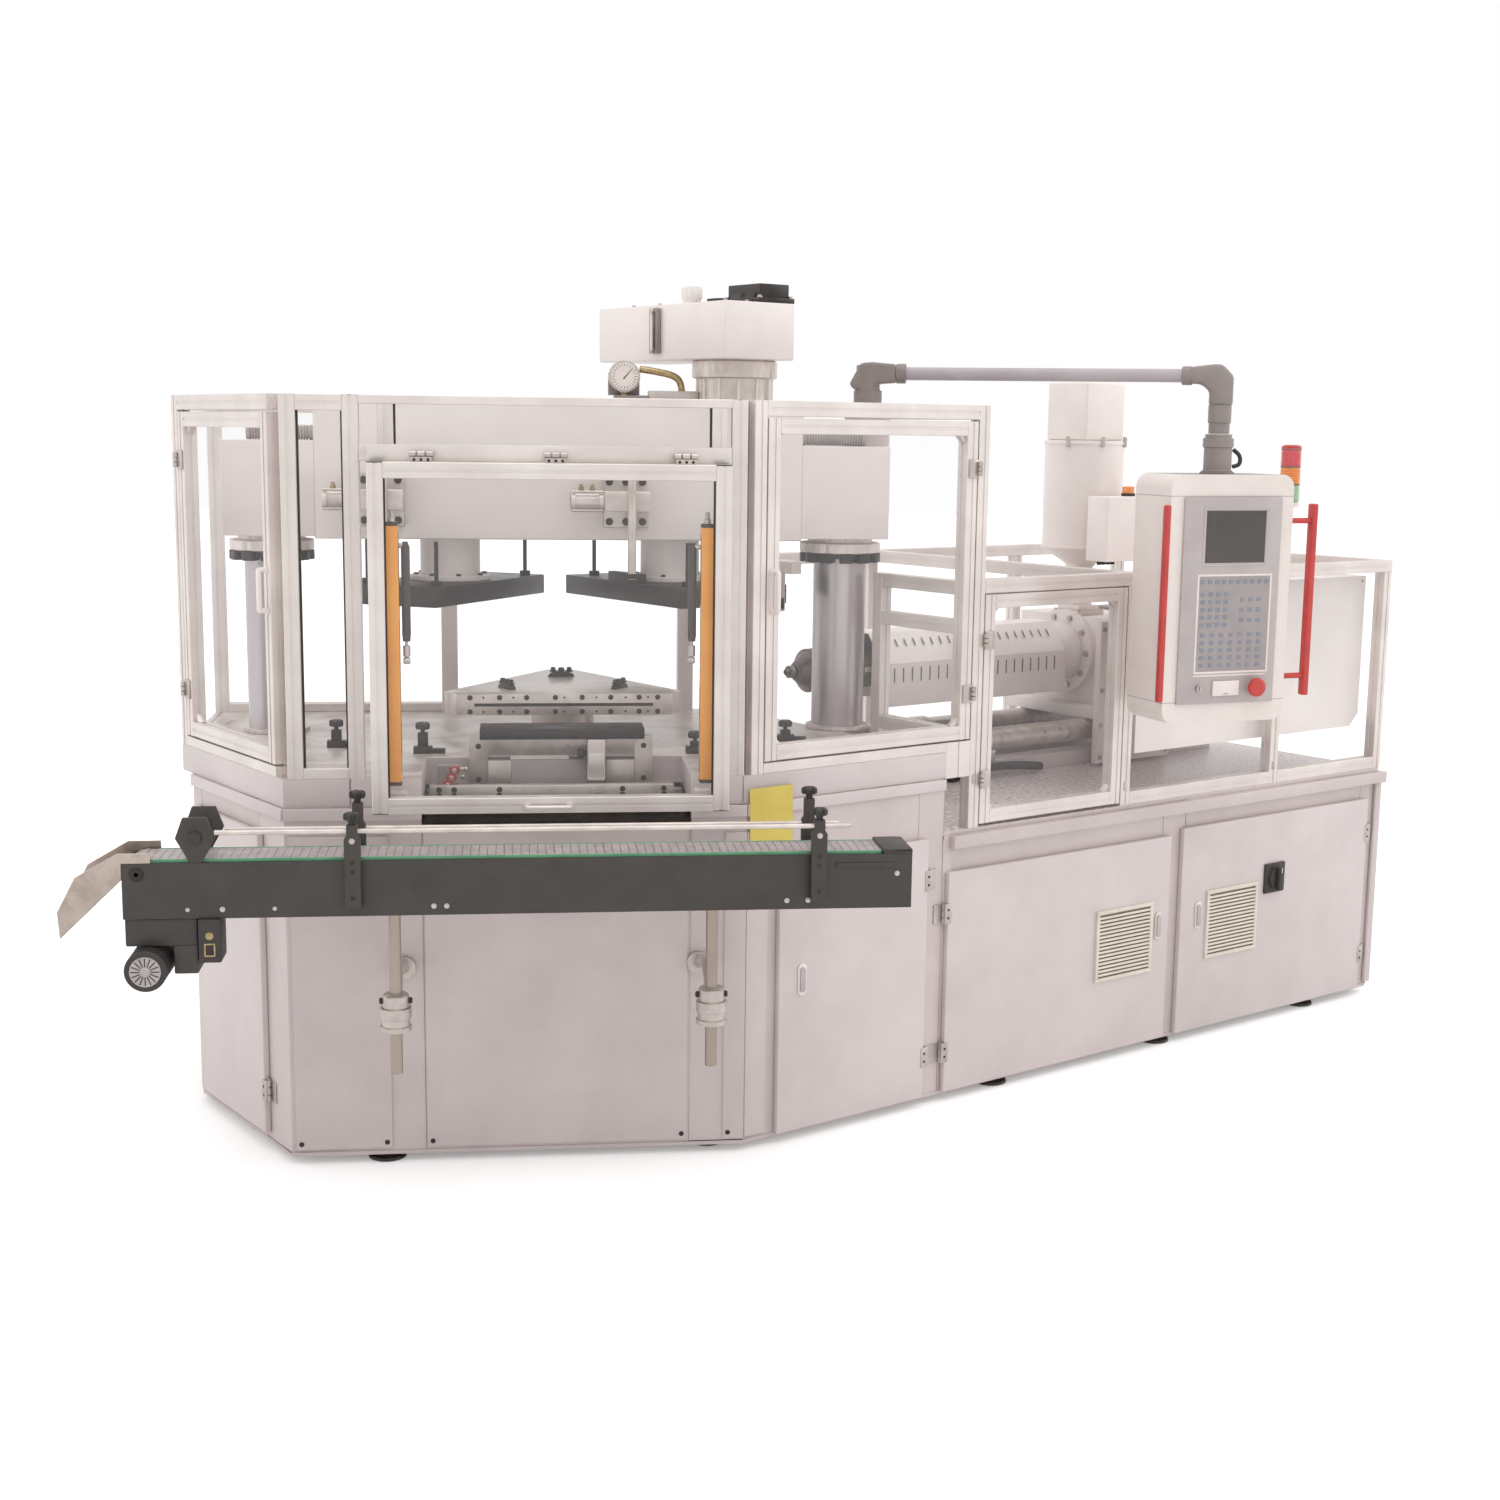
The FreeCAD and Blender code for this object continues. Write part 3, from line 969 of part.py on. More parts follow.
def cover_profile(inset):
    side = "(cover_half - %s)" % inset
    flat = "(cover_flat - %s)" % inset
    crown = "cover_crown - %s" % inset
    bend = "cover_bend - %s/2" % inset
    return [(side, "cover_low"), (side, bend), (flat, crown), ("-" + flat, crown),
            ("-" + side, bend), ("-" + side, "cover_low")]


cover_outline = cover_profile("0") + cover_profile("cover_sheet")[::-1]
cover_pieces = [prism(cover_outline, "cover_start", "cover_end", "x")]
for x in ("cover_start + 180", "cover_end - 220"):
    cover_pieces.append(block(x, x + " + 40", "-20", "20", "injection_height + barrel_radius",
                              "cover_crown - cover_sheet"))
node("barrel_cover", placed("injection", cover_pieces))
node("screw_drive", placed("injection", [
    block("drive_start", "drive_end", "-drive_half_width", "drive_half_width",
          "injection_height - drive_height/2", "injection_height + drive_height/2")]))

# Hopper with its loader and control box.
node("hopper_loader", placed("injection", [
    rod("hopper_place", "0", "carriage_high", "throat_radius", "hopper_low - carriage_high"),
    cone("hopper_place", "0", "hopper_low", "throat_radius", "hopper_radius",
         "hopper_waist - hopper_low"),
    rod("hopper_place", "0", "hopper_waist", "hopper_radius", "hopper_high - hopper_waist"),
    block("hopper_place - loader_half", "hopper_place + loader_half", "-loader_half",
          "loader_half", "hopper_high", "loader_high"),
    block("box_start", "box_end", "-hopper_radius - 100", "-hopper_radius - 4", "box_low",
          "box_high"),
    block("hopper_place - 30", "hopper_place + 30", "-hopper_radius - 4",
          "-hopper_radius", "hopper_waist + 20", "box_high - 20"),
    rod("box_end - 40", "-hopper_radius - 52", "box_high", "20", "beacon_high - box_high")]))

# Drive cover: a sheet hood open below, and the tower light on it.
hood_back = "-carriage_half - 26"
node("drive_cover", placed("injection", [
    prism([("hood_start", "hood_low"), ("hood_end - hood_chamfer", "hood_low"),
           ("hood_end", "hood_low + hood_chamfer"), ("hood_end", "hood_high"),
           ("hood_start", "hood_high")], "-hood_front", "-hood_front + hood_sheet", "y"),
    block("hood_start", "hood_end", "-hood_front + hood_sheet", "-carriage_half",
          "hood_high - hood_sheet", "hood_high"),
    block("carriage_start + 30", "carriage_end - 30", hood_back, "-carriage_half",
          "carriage_high", "hood_high - hood_sheet"),
    block("hood_end - hood_sheet", "hood_end", "-hood_front + hood_sheet", hood_back,
          "hood_low + hood_chamfer", "hood_high - hood_sheet")]))
node("tower_light", placed("injection", [
    rod("tower_place", "-tower_depth", "hood_high", "tower_pole", "tower_low - hood_high"),
    rod("tower_place", "-tower_depth", "tower_low", "tower_radius",
        "tower_high - tower_low")]))

# Arm of the control panel.
node("arm_post", placed("press", [
    rod("pedestal_place", "beam_centre", "block_high", "pedestal_side/2",
        "pedestal_top - run_gap - block_high")]))
node("support_arm", placed("arm", [
    fuse(rod("0", "0", "pedestal_top", "elbow_radius + 8", "arm_height - pedestal_top + 24"),
         rod("-elbow_radius - 20", "0", "arm_height", "elbow_radius - 4",
             "elbow_radius + 140", "x"),
         rod("0", "0", "arm_height", "arm_radius", "arm_length", "x"),
         rod("arm_length - 110", "0", "arm_height", "elbow_radius - 6", "150", "x"),
         rod("arm_length", "0", "collar_mid", "elbow_radius - 4",
             "arm_height + elbow_radius - collar_mid"))]))
CASE_FACE = "-case_front"
case_box = block("-case_half", "case_half", CASE_FACE, "case_back", "case_low", "case_high")
document.recompute()
case = add("Part::Fillet")
case.Base = case_box
case.Edges = [(number, SIZES["case_round"], SIZES["case_round"])
              for number, edge in enumerate(case_box.Shape.Edges, start=1)
              if abs(edge.tangentAt(edge.FirstParameter).y) > 0.9]
node("hmi_case", placed("panel", [
    case,
    block("-bezel_half", "bezel_half", CASE_FACE + " - bezel_proud", CASE_FACE, "bezel_low",
          "bezel_high"),
    tube("stop_place", CASE_FACE + " - bezel_proud - 8", "stop_height", "stop_head/2 + 6",
         "stop_head/2 + run_gap", "8", "y"),
    rod("0", "0", "case_high", "collar_radius + 10", "collar_low - case_high"),
    rod("0", "0", "collar_low", "collar_radius", "collar_mid - run_gap - collar_low")]))
node("hmi_handles", placed("panel", [
    block("handle_reach - handle_bar", "handle_reach + handle_bar", "-20", "12", "handle_low",
          "handle_high"),
    rod("case_half", "-4", "handle_low + 60", "9", "handle_reach - handle_bar - case_half",
        "x"),
    rod("case_half", "-4", "handle_high - 50", "9", "handle_reach - handle_bar - case_half",
        "x"),
    block("-case_half - strip_width", "-case_half", CASE_FACE + " - 6", CASE_FACE + " + 16",
          "handle_low + 8", "handle_high")]))
BEZEL = CASE_FACE + " - bezel_proud"
node("e_stop", placed("panel", [
    rod("stop_place", BEZEL + " - 34", "stop_height", "stop_head", "20", "y"),
    rod("stop_place", BEZEL + " - 14", "stop_height", "stop_head/2",
        "14 - stop_travel - run_gap", "y")]))
node("usb_flap", placed("panel", [
    block("-flap_place", "-flap_place + flap_width", BEZEL + " - 6.3",
          BEZEL + " - run_gap", "flap_height - flap_side/2", "flap_height + flap_side/2")]))
node("key_switch", placed("panel", [
    rod("-key_place", BEZEL + " - 10.3", "stop_height", "9", "10", "y")]))

# Conveyor: side plates, slider bed, ties and legs.
NEAR = "-belt_front"
FAR = "-belt_back"
conveyor = [
    block("-conveyor_start", "conveyor_end", NEAR, NEAR + " + side_gauge", "side_low",
          "side_high"),
    block("-conveyor_start", "conveyor_end", FAR + " - side_gauge", FAR, "side_low",
          "side_high"),
    block("-conveyor_start + 80", "conveyor_end - 80", NEAR + " + side_gauge",
          FAR + " - side_gauge", "roller_height + roller_radius - run_gap - 10",
          "roller_height + roller_radius - run_gap"),
    # Cover over the end of the belt.
    block("nose_start", "conveyor_end", NEAR, FAR, "nose_low", "nose_low + nose_gauge"),
    block("nose_start", "conveyor_end", NEAR, NEAR + " + side_gauge", "side_high", "nose_low"),
    block("nose_start", "conveyor_end", FAR + " - side_gauge", FAR, "side_high", "nose_low"),
]
for x in ("-leg_left", "leg_right"):
    conveyor.append(block("%s - 40" % x, "%s + 40" % x, NEAR + " + side_gauge",
                          FAR + " - side_gauge", "side_low", "side_low + 40"))
    conveyor.append(rod(x, "-leg_place", "leg_low", "leg_radius", "side_low - leg_low"))
node("conveyor_frame", placed("press", conveyor))


def loop(radius, y_from, y_to):
    low = "roller_height - %s" % radius
    high = "roller_height + %s" % radius
    start, end = "-conveyor_start + 34", "conveyor_end - 34"
    width = "(%s) - (%s)" % (y_to, y_from)
    return fuse(block(start, end, y_from, y_to, low, high),
                rod(start, y_from, "roller_height", radius, width, "y"),
                rod(end, y_from, "roller_height", radius, width, "y"))


BELT_NEAR = NEAR + " + side_gauge + belt_margin"
BELT_FAR = FAR + " - side_gauge - belt_margin"
belt_loop = cut(loop("(roller_radius + belt_gauge)", BELT_NEAR, BELT_FAR),
                loop("roller_radius", BELT_NEAR, BELT_FAR))
node("conveyor_belt", placed("press", [belt_loop]))
for label, x in (("drive_roller", "-conveyor_start + 34"), ("idler_roller", "conveyor_end - 34")):
    node(label, placed("press", [
        rod(x, NEAR + " + side_gauge + run_gap", "roller_height", "roller_radius - run_gap",
            "belt_front - belt_back - 2*side_gauge - 2*run_gap", "y")]))

rails = []
for y, height, knob in (
        (NEAR + " - stand_side", "rail_height", "(rail_height + knob_rise)"),
        (FAR, "(rail_height - far_rail_drop)", "(rail_height + far_knob_rise)")):
    rails.append(rod("-rail_start", y + " + stand_side/2", height, "rail_radius",
                     "rail_start + rail_end", "x"))
    for x in ("-stand_left", "stand_right"):
        rails.append(block("%s - stand_side/2" % x, "%s + stand_side/2" % x, y,
                           y + " + stand_side", "side_low + 40", height + " - rail_radius"))
        rails.append(rod(x, y + " + stand_side/2", height + " + rail_radius", "knob_neck",
                         knob + " - rail_radius - " + height))
        rails.append(rod(x, y + " + stand_side/2", knob, "knob_radius", "knob_height"))
for y in ("(-belt_front + side_gauge/2)", "(-belt_back - side_gauge/2)"):
    outline = [("-lobe_place - lobe_foot", "side_high"), ("-lobe_place + lobe_foot", "side_high"),
               ("-lobe_place + lobe_half", "side_high + lobe_waist"),
               ("-lobe_place + lobe_top", "side_high + lobe_height"),
               ("-lobe_place - lobe_top", "side_high + lobe_height"),
               ("-lobe_place - lobe_half", "side_high + lobe_waist")]
    rails.append(prism(outline, y + " - side_gauge/2", y + " + side_gauge/2", "y"))
node("guide_rails", placed("press", rails))
node("conveyor_drive", placed("press", [
    block("-motor_place - 50", "-bracket_end", NEAR, FAR, "motor_height + 50",
          "side_low"),
    block("-motor_place + motor_radius", "-bracket_end", NEAR, FAR, "bracket_low",
          "motor_height + 50"),
    rod("-motor_place", NEAR + " - 40", "motor_height", "motor_radius - 10",
        "belt_front - belt_back + 40", "y"),
    block("-speed_start", "-speed_end", NEAR + " - 10", NEAR + " + 80", "speed_low",
          "side_low")]))
cheek = [("-chute_tip", "chute_foot"), ("-conveyor_start", "chute_top"),
         ("-conveyor_start", "side_high"), ("-chute_root", "side_high"),
         ("-chute_root", "chute_high"), ("-chute_bend", "chute_high"),
         ("-chute_shoulder", "shoulder_height"), ("-chute_lip", "lip_height")]
node("discharge_chute", placed("press", [
    prism([("-chute_tip", "chute_foot"), ("-conveyor_start", "chute_top"),
           ("-conveyor_start", "chute_top + chute_sheet"),
           ("-chute_tip", "chute_foot + chute_sheet")], NEAR + " + chute_sheet",
          FAR + " - chute_sheet", "y"),
    prism(cheek, NEAR, NEAR + " + chute_sheet", "y"),
    prism(cheek, FAR + " - chute_sheet", FAR, "y")]))
grips = []
for x in ("-leg_left", "leg_right"):
    ring = tube(x, "-leg_place", "grip_low", "grip_radius", "leg_radius + run_gap",
                "grip_high - grip_low")
    elbow = rod(x, "-leg_place + grip_radius - 3", "(grip_low + grip_high)/2 + 20", "14",
                "leg_place - grip_radius + 3 - front_depth", "y")
    grips.append(fuse(ring, elbow))
node("conveyor_brackets", placed("press", grips))

# Hydraulic unit and switchgear inside the cabinet.
node("cabinet_equipment", placed("injection", [
    block("oil_start", "oil_start + tank_length", "-350", "150", WALL_LOW, "oil_high"),
    rod("oil_start + 120", "-120", "oil_high + pump_radius", "pump_radius", "420", "x"),
    rod("oil_start + 540", "-120", "oil_high + pump_radius", "pump_radius - 40", "150", "x"),
    block("gear_start", "gear_end", "-gear_depth - 300", "-290 - gear_depth + 20", WALL_LOW,
          "gear_high"),
    block("gear_start + 60", "gear_end - 60", "-gear_depth*2 - 300", "-gear_depth - 300",
          "gear_low + 60", "gear_high - 120")]))

document.recompute()
for item in document.Objects:
    if "Invalid" in item.State or "Error" in item.State:
        raise RuntimeError("failed: %s %s" % (item.Name, item.State))
for piece in nodes:
    if piece.Shape.isNull() or not piece.Shape.isValid():
        raise RuntimeError("bad shape: " + piece.Label)
os.makedirs("parts", exist_ok=True)
for piece in nodes:
    piece.Shape.exportStep("parts/%s.step" % piece.Label)
whole = Part.makeCompound([piece.Shape for piece in nodes]).BoundBox
print("nodes", len(nodes), "box x", whole.XMin, whole.XMax, "y", whole.YMin, whole.YMax,
      "z", whole.ZMin, whole.ZMax)
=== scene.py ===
"""Three-station injection blow moulding machine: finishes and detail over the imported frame.

Lengths are millimetres in the frame of one side of the machine, and metres only in the meshes.
"""

import json
import math

import bmesh
import bpy
from mathutils import Matrix, Vector


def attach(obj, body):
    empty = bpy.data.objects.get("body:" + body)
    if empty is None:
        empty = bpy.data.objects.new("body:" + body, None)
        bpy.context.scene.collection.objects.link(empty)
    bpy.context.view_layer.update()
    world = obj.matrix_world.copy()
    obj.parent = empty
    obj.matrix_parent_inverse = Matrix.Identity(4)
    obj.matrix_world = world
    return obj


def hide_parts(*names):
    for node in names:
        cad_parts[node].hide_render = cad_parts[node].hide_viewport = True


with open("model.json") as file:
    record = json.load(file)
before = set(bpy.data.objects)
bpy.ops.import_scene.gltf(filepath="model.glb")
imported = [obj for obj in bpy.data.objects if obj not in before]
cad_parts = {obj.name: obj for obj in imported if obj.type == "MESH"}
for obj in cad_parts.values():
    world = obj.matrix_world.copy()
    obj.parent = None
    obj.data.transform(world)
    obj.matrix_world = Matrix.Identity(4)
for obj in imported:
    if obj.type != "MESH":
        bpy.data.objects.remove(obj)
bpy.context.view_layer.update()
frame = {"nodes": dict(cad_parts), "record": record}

MM = 0.001


def side(x, y, turn):
    """The frame of one side of the machine."""
    return Matrix.Translation((x * MM, y * MM, 0)) @ Matrix.Rotation(math.radians(turn), 4, "Z")


# The table's axis, the arm's post, and the frames of the machine's sides.
AXIS_X, AXIS_Y = -827.25, -324.36
POST_X, POST_Y = AXIS_X + 915, AXIS_Y + 190
ARM_TURN, ARM_LENGTH = -17.1, 1028
PRESS = side(AXIS_X, AXIS_Y, 0)
INJECTION = side(AXIS_X, AXIS_Y, 30)
BLOW = side(AXIS_X, AXIS_Y, 150)
LEFT = side(AXIS_X - 727, AXIS_Y - 660, -60)
ARM = side(POST_X, POST_Y, ARM_TURN)
PANEL = side(POST_X + ARM_LENGTH * math.cos(math.radians(ARM_TURN)),
             POST_Y + ARM_LENGTH * math.sin(math.radians(ARM_TURN)), 14)

# Planes and levels that several assemblies share: front of the press base, front of the
# cabinet, top of the deck, top of the cabinet, top of the guard, and the guard's bar.
FRONT, FACE = -660, -805
DECK, CABINET, GUARD_TOP, PROFILE = 1030, 800, 2000, 40
COLUMNS, COLUMN_Y = (-840, 840), 190
SCREW_AXIS = 1171


# Camera, lamps and floor.

SENSOR_WIDTH, PICTURE_WIDTH, FOCAL_WIDTH = 36, 1500, 1970.96


def camera():
    """Stands where the photograph was taken: 47 mm lens on a 36 mm frame."""
    yaw, pitch, roll = math.radians(-6.777), math.radians(9.233), math.radians(0.709)
    ahead = Vector((-math.sin(yaw) * math.cos(pitch), math.cos(yaw) * math.cos(pitch),
                    -math.sin(pitch)))
    right = Vector((math.cos(yaw), math.sin(yaw), 0))
    up = right.cross(ahead)
    across = math.cos(roll) * right + math.sin(roll) * up
    above = math.cos(roll) * up - math.sin(roll) * right
    lens = bpy.data.cameras.new("camera")
    lens.sensor_width = SENSOR_WIDTH
    lens.lens = FOCAL_WIDTH / PICTURE_WIDTH * SENSOR_WIDTH
    lens.clip_end = 60
    seen = bpy.data.objects.new("camera", lens)
    seen.matrix_world = Matrix.Translation((-0.9548, -6.03742, 1.92544)) @ Matrix(
        (across, above, -ahead)).transposed().to_4x4()
    bpy.context.scene.collection.objects.link(seen)
    bpy.context.scene.camera = seen


def lamp(name, strength, turn, width):
    """A wide, soft sun whose light comes from the side that turn points to."""
    light = bpy.data.lights.new(name, "SUN")
    light.energy = strength
    light.angle = math.radians(width)
    holder = bpy.data.objects.new(name, light)
    holder.matrix_world = Vector(turn).to_track_quat("Z", "Y").to_matrix().to_4x4()
    bpy.context.scene.collection.objects.link(holder)


# Nodes.

def add(tree, kind, feeds=None, **settings):
    """Adds a node with its settings; feeds maps an input to a value or another node's output."""
    made = tree.nodes.new(kind)
    for name, value in settings.items():
        setattr(made, name, value)
    for socket, value in (feeds or {}).items():
        if isinstance(value, bpy.types.NodeSocket):
            tree.links.new(value, made.inputs[socket])
        else:
            made.inputs[socket].default_value = value
    return made


def linear(code):
    """An sRGB hex colour as linear light."""
    parts = [int(code[i:i + 2], 16) / 255 for i in (1, 3, 5)]
    return tuple(c / 12.92 if c <= 0.04045 else ((c + 0.055) / 1.055) ** 2.4
                 for c in parts) + (1.0,)


def studio():
    """Pale room: soft ambient light on the machine, white where the camera or a gloss sees it."""
    world = bpy.data.worlds.new("studio")
    bpy.context.scene.world = world
    world.use_nodes = True
    tree = world.node_tree
    tree.nodes.clear()
    path = add(tree, "ShaderNodeLightPath")
    seen = add(tree, "ShaderNodeMath", {0: path.outputs["Is Camera Ray"],
                                        1: path.outputs["Is Transmission Ray"]},
               operation="MAXIMUM")
    gloss = add(tree, "ShaderNodeMath", {0: seen.outputs[0], 1: path.outputs["Is Glossy Ray"]},
                operation="MAXIMUM")
    strength = add(tree, "ShaderNodeMapRange", {"Value": gloss.outputs[0], "To Min": 0.76,
                                                "To Max": 1.0})
    sky = add(tree, "ShaderNodeBackground", {"Color": (1, 1, 1, 1),
                                             "Strength": strength.outputs[0]})
    add(tree, "ShaderNodeOutputWorld", {"Surface": sky.outputs[0]})
    lamp("left_window", 0.50, (-1.0, 0.10, 0.45), 40)
    lamp("right_window", 0.56, (1.0, 0.02, 0.45), 40)
    lamp("ceiling", 0.90, (0.1, -0.22, 1.0), 60)


def floor():
    """Plain pale floor that keeps the machine's soft shadow."""
    made = bpy.data.materials.new("pale_floor")
    made.use_nodes = True
    tree = made.node_tree
    shader = tree.nodes["Principled BSDF"]
    shader.inputs["Base Color"].default_value = (0.93, 0.93, 0.93, 1)
    shader.inputs["Roughness"].default_value = 0.95
    path = add(tree, "ShaderNodeLightPath")
    glow = add(tree, "ShaderNodeMath", {0: path.outputs["Is Camera Ray"], 1: 0.22},
               operation="MULTIPLY")
    shader.inputs["Emission Color"].default_value = (1, 1, 1, 1)
    tree.links.new(glow.outputs[0], shader.inputs["Emission Strength"])
    mesh = bpy.data.meshes.new("floor")
    reach = 40
    mesh.from_pydata([(-reach, -reach, 0), (reach, -reach, 0), (reach, reach, 0),
                      (-reach, reach, 0)], [], [(0, 1, 2, 3)])
    mesh.materials.append(made)
    ground = bpy.data.objects.new("floor", mesh)
    bpy.context.scene.collection.objects.link(ground)


# Finishes.

def coat(name, pale, dark, cloud, rough, wander, grain, relief, stretch=(1, 1, 1), scuff=None,
         **sockets):
    """A finish whose colour clouds between two shades over "cloud" mm, whose roughness wanders by
    "wander", whose surface rises by "relief" mm every "grain" mm, and which may carry scuffs."""
    made = bpy.data.materials.new(name)
    made.use_nodes = True
    tree = made.node_tree
    shader = tree.nodes["Principled BSDF"]
    for socket, value in sockets.items():
        shader.inputs[socket.replace("_", " ").title()].default_value = value
    where = add(tree, "ShaderNodeTexCoord").outputs["Object"]
    turned = add(tree, "ShaderNodeMapping", {"Vector": where, "Scale": stretch}).outputs[0]
    clouds = add(tree, "ShaderNodeTexNoise", {"Vector": turned, "Scale": 1 / (cloud * MM),
                                              "Detail": 5.0, "Roughness": 0.6}).outputs["Fac"]
    share = add(tree, "ShaderNodeMapRange", {"Value": clouds, "From Min": 0.35,
                                             "From Max": 0.65}).outputs[0]
    colour = add(tree, "ShaderNodeMix", {0: share, 6: linear(dark), 7: linear(pale)},
                 data_type="RGBA").outputs[2]
    if scuff:
        specks = add(tree, "ShaderNodeTexNoise", {"Vector": turned, "Scale": 1 / (14 * MM),
                                                  "Detail": 8.0, "Roughness": 0.7})
        worn = add(tree, "ShaderNodeMapRange", {"Value": specks.outputs["Fac"],
                                                "From Min": 0.66, "From Max": 0.72,
                                                "To Max": 0.5}).outputs[0]
        colour = add(tree, "ShaderNodeMix", {0: worn, 6: colour, 7: linear(scuff)},
                     data_type="RGBA").outputs[2]
    tree.links.new(colour, shader.inputs["Base Color"])
    gloss = add(tree, "ShaderNodeMapRange", {"Value": clouds, "From Min": 0.3, "From Max": 0.7,
                                             "To Min": rough - wander,
                                             "To Max": rough + wander}).outputs[0]
    tree.links.new(gloss, shader.inputs["Roughness"])
    fine = add(tree, "ShaderNodeTexNoise", {"Vector": turned, "Scale": 1 / (grain * MM),
                                            "Detail": 3.0}).outputs["Fac"]
    rise = add(tree, "ShaderNodeBump", {"Height": fine, "Distance": relief * MM,
                                        "Strength": 1.0}).outputs[0]
    tree.links.new(rise, shader.inputs["Normal"])
    return made


# Powder coat on sheet steel: baked polyester with orange peel about 3 mm wide, half gloss.
# The body coat's two shades are set darker than the door coat's, to stand in for the dimmer light
# low on the machine: painted shade.
body_coat_with_painted_shade = coat("powder_coat_grey", "#d1c4c2", "#c8bbb9", 240, 0.42, 0.06, 3, 0.012,
                  scuff="#bfb1ae")
door_paint = coat("powder_coat_door", "#d6cbc9", "#cec2c0", 260, 0.40, 0.06, 3, 0.012,
                  scuff="#c4b7b4")
white_paint = coat("powder_coat_white", "#f1e8e4", "#eae0dc", 260, 0.38, 0.06, 3, 0.012,
                   scuff="#e4d9d4")
grey_paint = coat("cast_arm_paint", "#9c918d", "#8b807c", 120, 0.50, 0.06, 2.5, 0.03,
                  scuff="#7d726e")
# Wet-sprayed black enamel on folded steel: slightly dusty, low sheen.
black_paint = coat("black_enamel", "#433d38", "#38332f", 90, 0.48, 0.08, 2, 0.015,
                   scuff="#5b554f")
# Black oxide on milled tool steel: oily brown-black with bright rubbed spots.
black_steel = coat("black_oxide_steel", "#403935", "#2e2926", 60, 0.40, 0.10, 4, 0.01,
                   scuff="#756c66", metallic=0.45)
# Anodised aluminium extrusion: satin, silvery, with fine die lines.
aluminium = coat("anodised_aluminium", "#e8dfda", "#dad0cb", 180, 0.38, 0.06, 1.6, 0.006,
                 scuff="#c9beb9", metallic=0.42)
# Ground tool steel: milled in passes, bright, with faint handling stains.
ground_steel = coat("ground_tool_steel", "#e0d6cf", "#c3b8b1", 75, 0.34, 0.08, 2.2, 0.012,
                    stretch=(1, 5, 1), scuff="#9c9089", metallic=0.5)
# Deck plate: rotary-ground casting, mottled with oil and dust.
deck_steel = coat("ground_deck_plate", "#e3d9d3", "#bcafa8", 95, 0.36, 0.10, 3, 0.02,
                  scuff="#8d817a", metallic=0.35)
# Tread plate on top of the cabinet: rolled steel with a fine raised pattern, dusty.
tread_plate = coat("tread_plate", "#f0e7e5", "#b3a8a6", 16, 0.36, 0.10, 9, 0.3, metallic=0.3)
# Hard chrome on turned and ground bar: satin, cool grey.
chrome = coat("hard_chrome", "#c2babb", "#b3abac", 200, 0.34, 0.04, 6, 0.002,
              stretch=(1, 1, 0.1), metallic=1.0)
# Enamelled steel tube of the panel arm: pale violet grey, satin.
tube_paint = coat("arm_tube_enamel", "#b9b0b4", "#aea5a9", 160, 0.36, 0.05, 3, 0.01,
                  scuff="#9c9397")
# Zinc-plated and blued small steel: bolts, pins, brackets.
zinc = coat("zinc_plated_steel", "#cbc2bc", "#b3a9a3", 60, 0.34, 0.06, 2, 0.008, metallic=0.8)
# Bare drawn tube of the conveyor legs, browned by handling.
leg_steel = coat("drawn_leg_tube", "#b1a398", "#9f9186", 140, 0.30, 0.05, 3, 0.006,
                 stretch=(1, 1, 0.2), metallic=0.85)
# Drawn brass fittings with a light tarnish.
brass = coat("drawn_brass", "#b9a57c", "#94825f", 12, 0.28, 0.06, 2, 0.006, metallic=1.0)
# Glass-filled nylon and moulded rubber in black: knobs, caps, gear motor.
black_plastic = coat("black_nylon", "#3b3633", "#2f2b2a", 40, 0.55, 0.08, 1.8, 0.02,
                     scuff="#5c5653")
# Light curtain housing: yellow powder coat on extruded aluminium.
yellow_paint = coat("signal_yellow_coat", "#f9ac45", "#f2a03c", 120, 0.38, 0.05, 2.5, 0.01,
                    scuff="#cf8d45")
# Vacuum-formed ABS shell of the control panel: cream, fine leather-like texture.
cream = coat("cream_abs", "#ede2dc", "#e6dad4", 160, 0.46, 0.05, 1.8, 0.03, scuff="#ddd0c9")
# Painted front plate of the panel.
bezel_grey = coat("panel_front_plate", "#c0b6b4", "#b5abaa", 120, 0.42, 0.05, 2, 0.01)
# Polyester keypad foil over domes.
keypad_foil = coat("keypad_foil", "#a99f9f", "#9f9595", 60, 0.50, 0.05, 2.2, 0.02)
# Key caps on the foil, and the plain fields of small displays: blue grey.
key_ink = coat("key_caps_blue_grey", "#8f93a2", "#828694", 14, 0.52, 0.05, 2, 0.01)
# Red glass-filled nylon: handles and emergency stop.
red_plastic = coat("red_nylon", "#cc4641", "#bb3c39", 60, 0.38, 0.05, 2, 0.012,
                   scuff="#d4716b")
# Acetal belt modules: grey, waxy, dusty between the links.
belt_acetal = coat("belt_acetal", "#b3a8a8", "#9a9090", 30, 0.42, 0.06, 2, 0.02,
                   scuff="#877d7c")
# Extruded polyethylene wear strip: waxy green, edges rubbed pale.
green_guide = coat("green_polyethylene", "#6fae84", "#5f9c76", 60, 0.40, 0.05, 3, 0.01)
# Moulded ABS ventilation grille.
vent_plastic = coat("vent_abs", "#e4dacd", "#dacfc1", 50, 0.48, 0.05, 2, 0.01)
# Dark brown backing behind the grille: its colour stands in for the shade between the slats,
# painted shade.
grille_gap_shade = coat("grille_gap_shade", "#8f8478", "#75695f", 9, 0.85, 0.05, 2, 0.2)
# Corrugated polyamide conduit.
conduit = coat("conduit_polyamide", "#b9b0ae", "#a59c9a", 40, 0.50, 0.06, 2, 0.02)
# Machine glass in black: the screen when off, the lens strip of a light curtain.
dark_glass = coat("dark_glass", "#463e38", "#3b342f", 90, 0.12, 0.03, 9, 0.002,
                  coat_weight=0.6)
# Plain rigid film on the machine's face.
yellow_film = coat("yellow_film", "#dcc45f", "#d3ba55", 60, 0.45, 0.04, 3, 0.008)
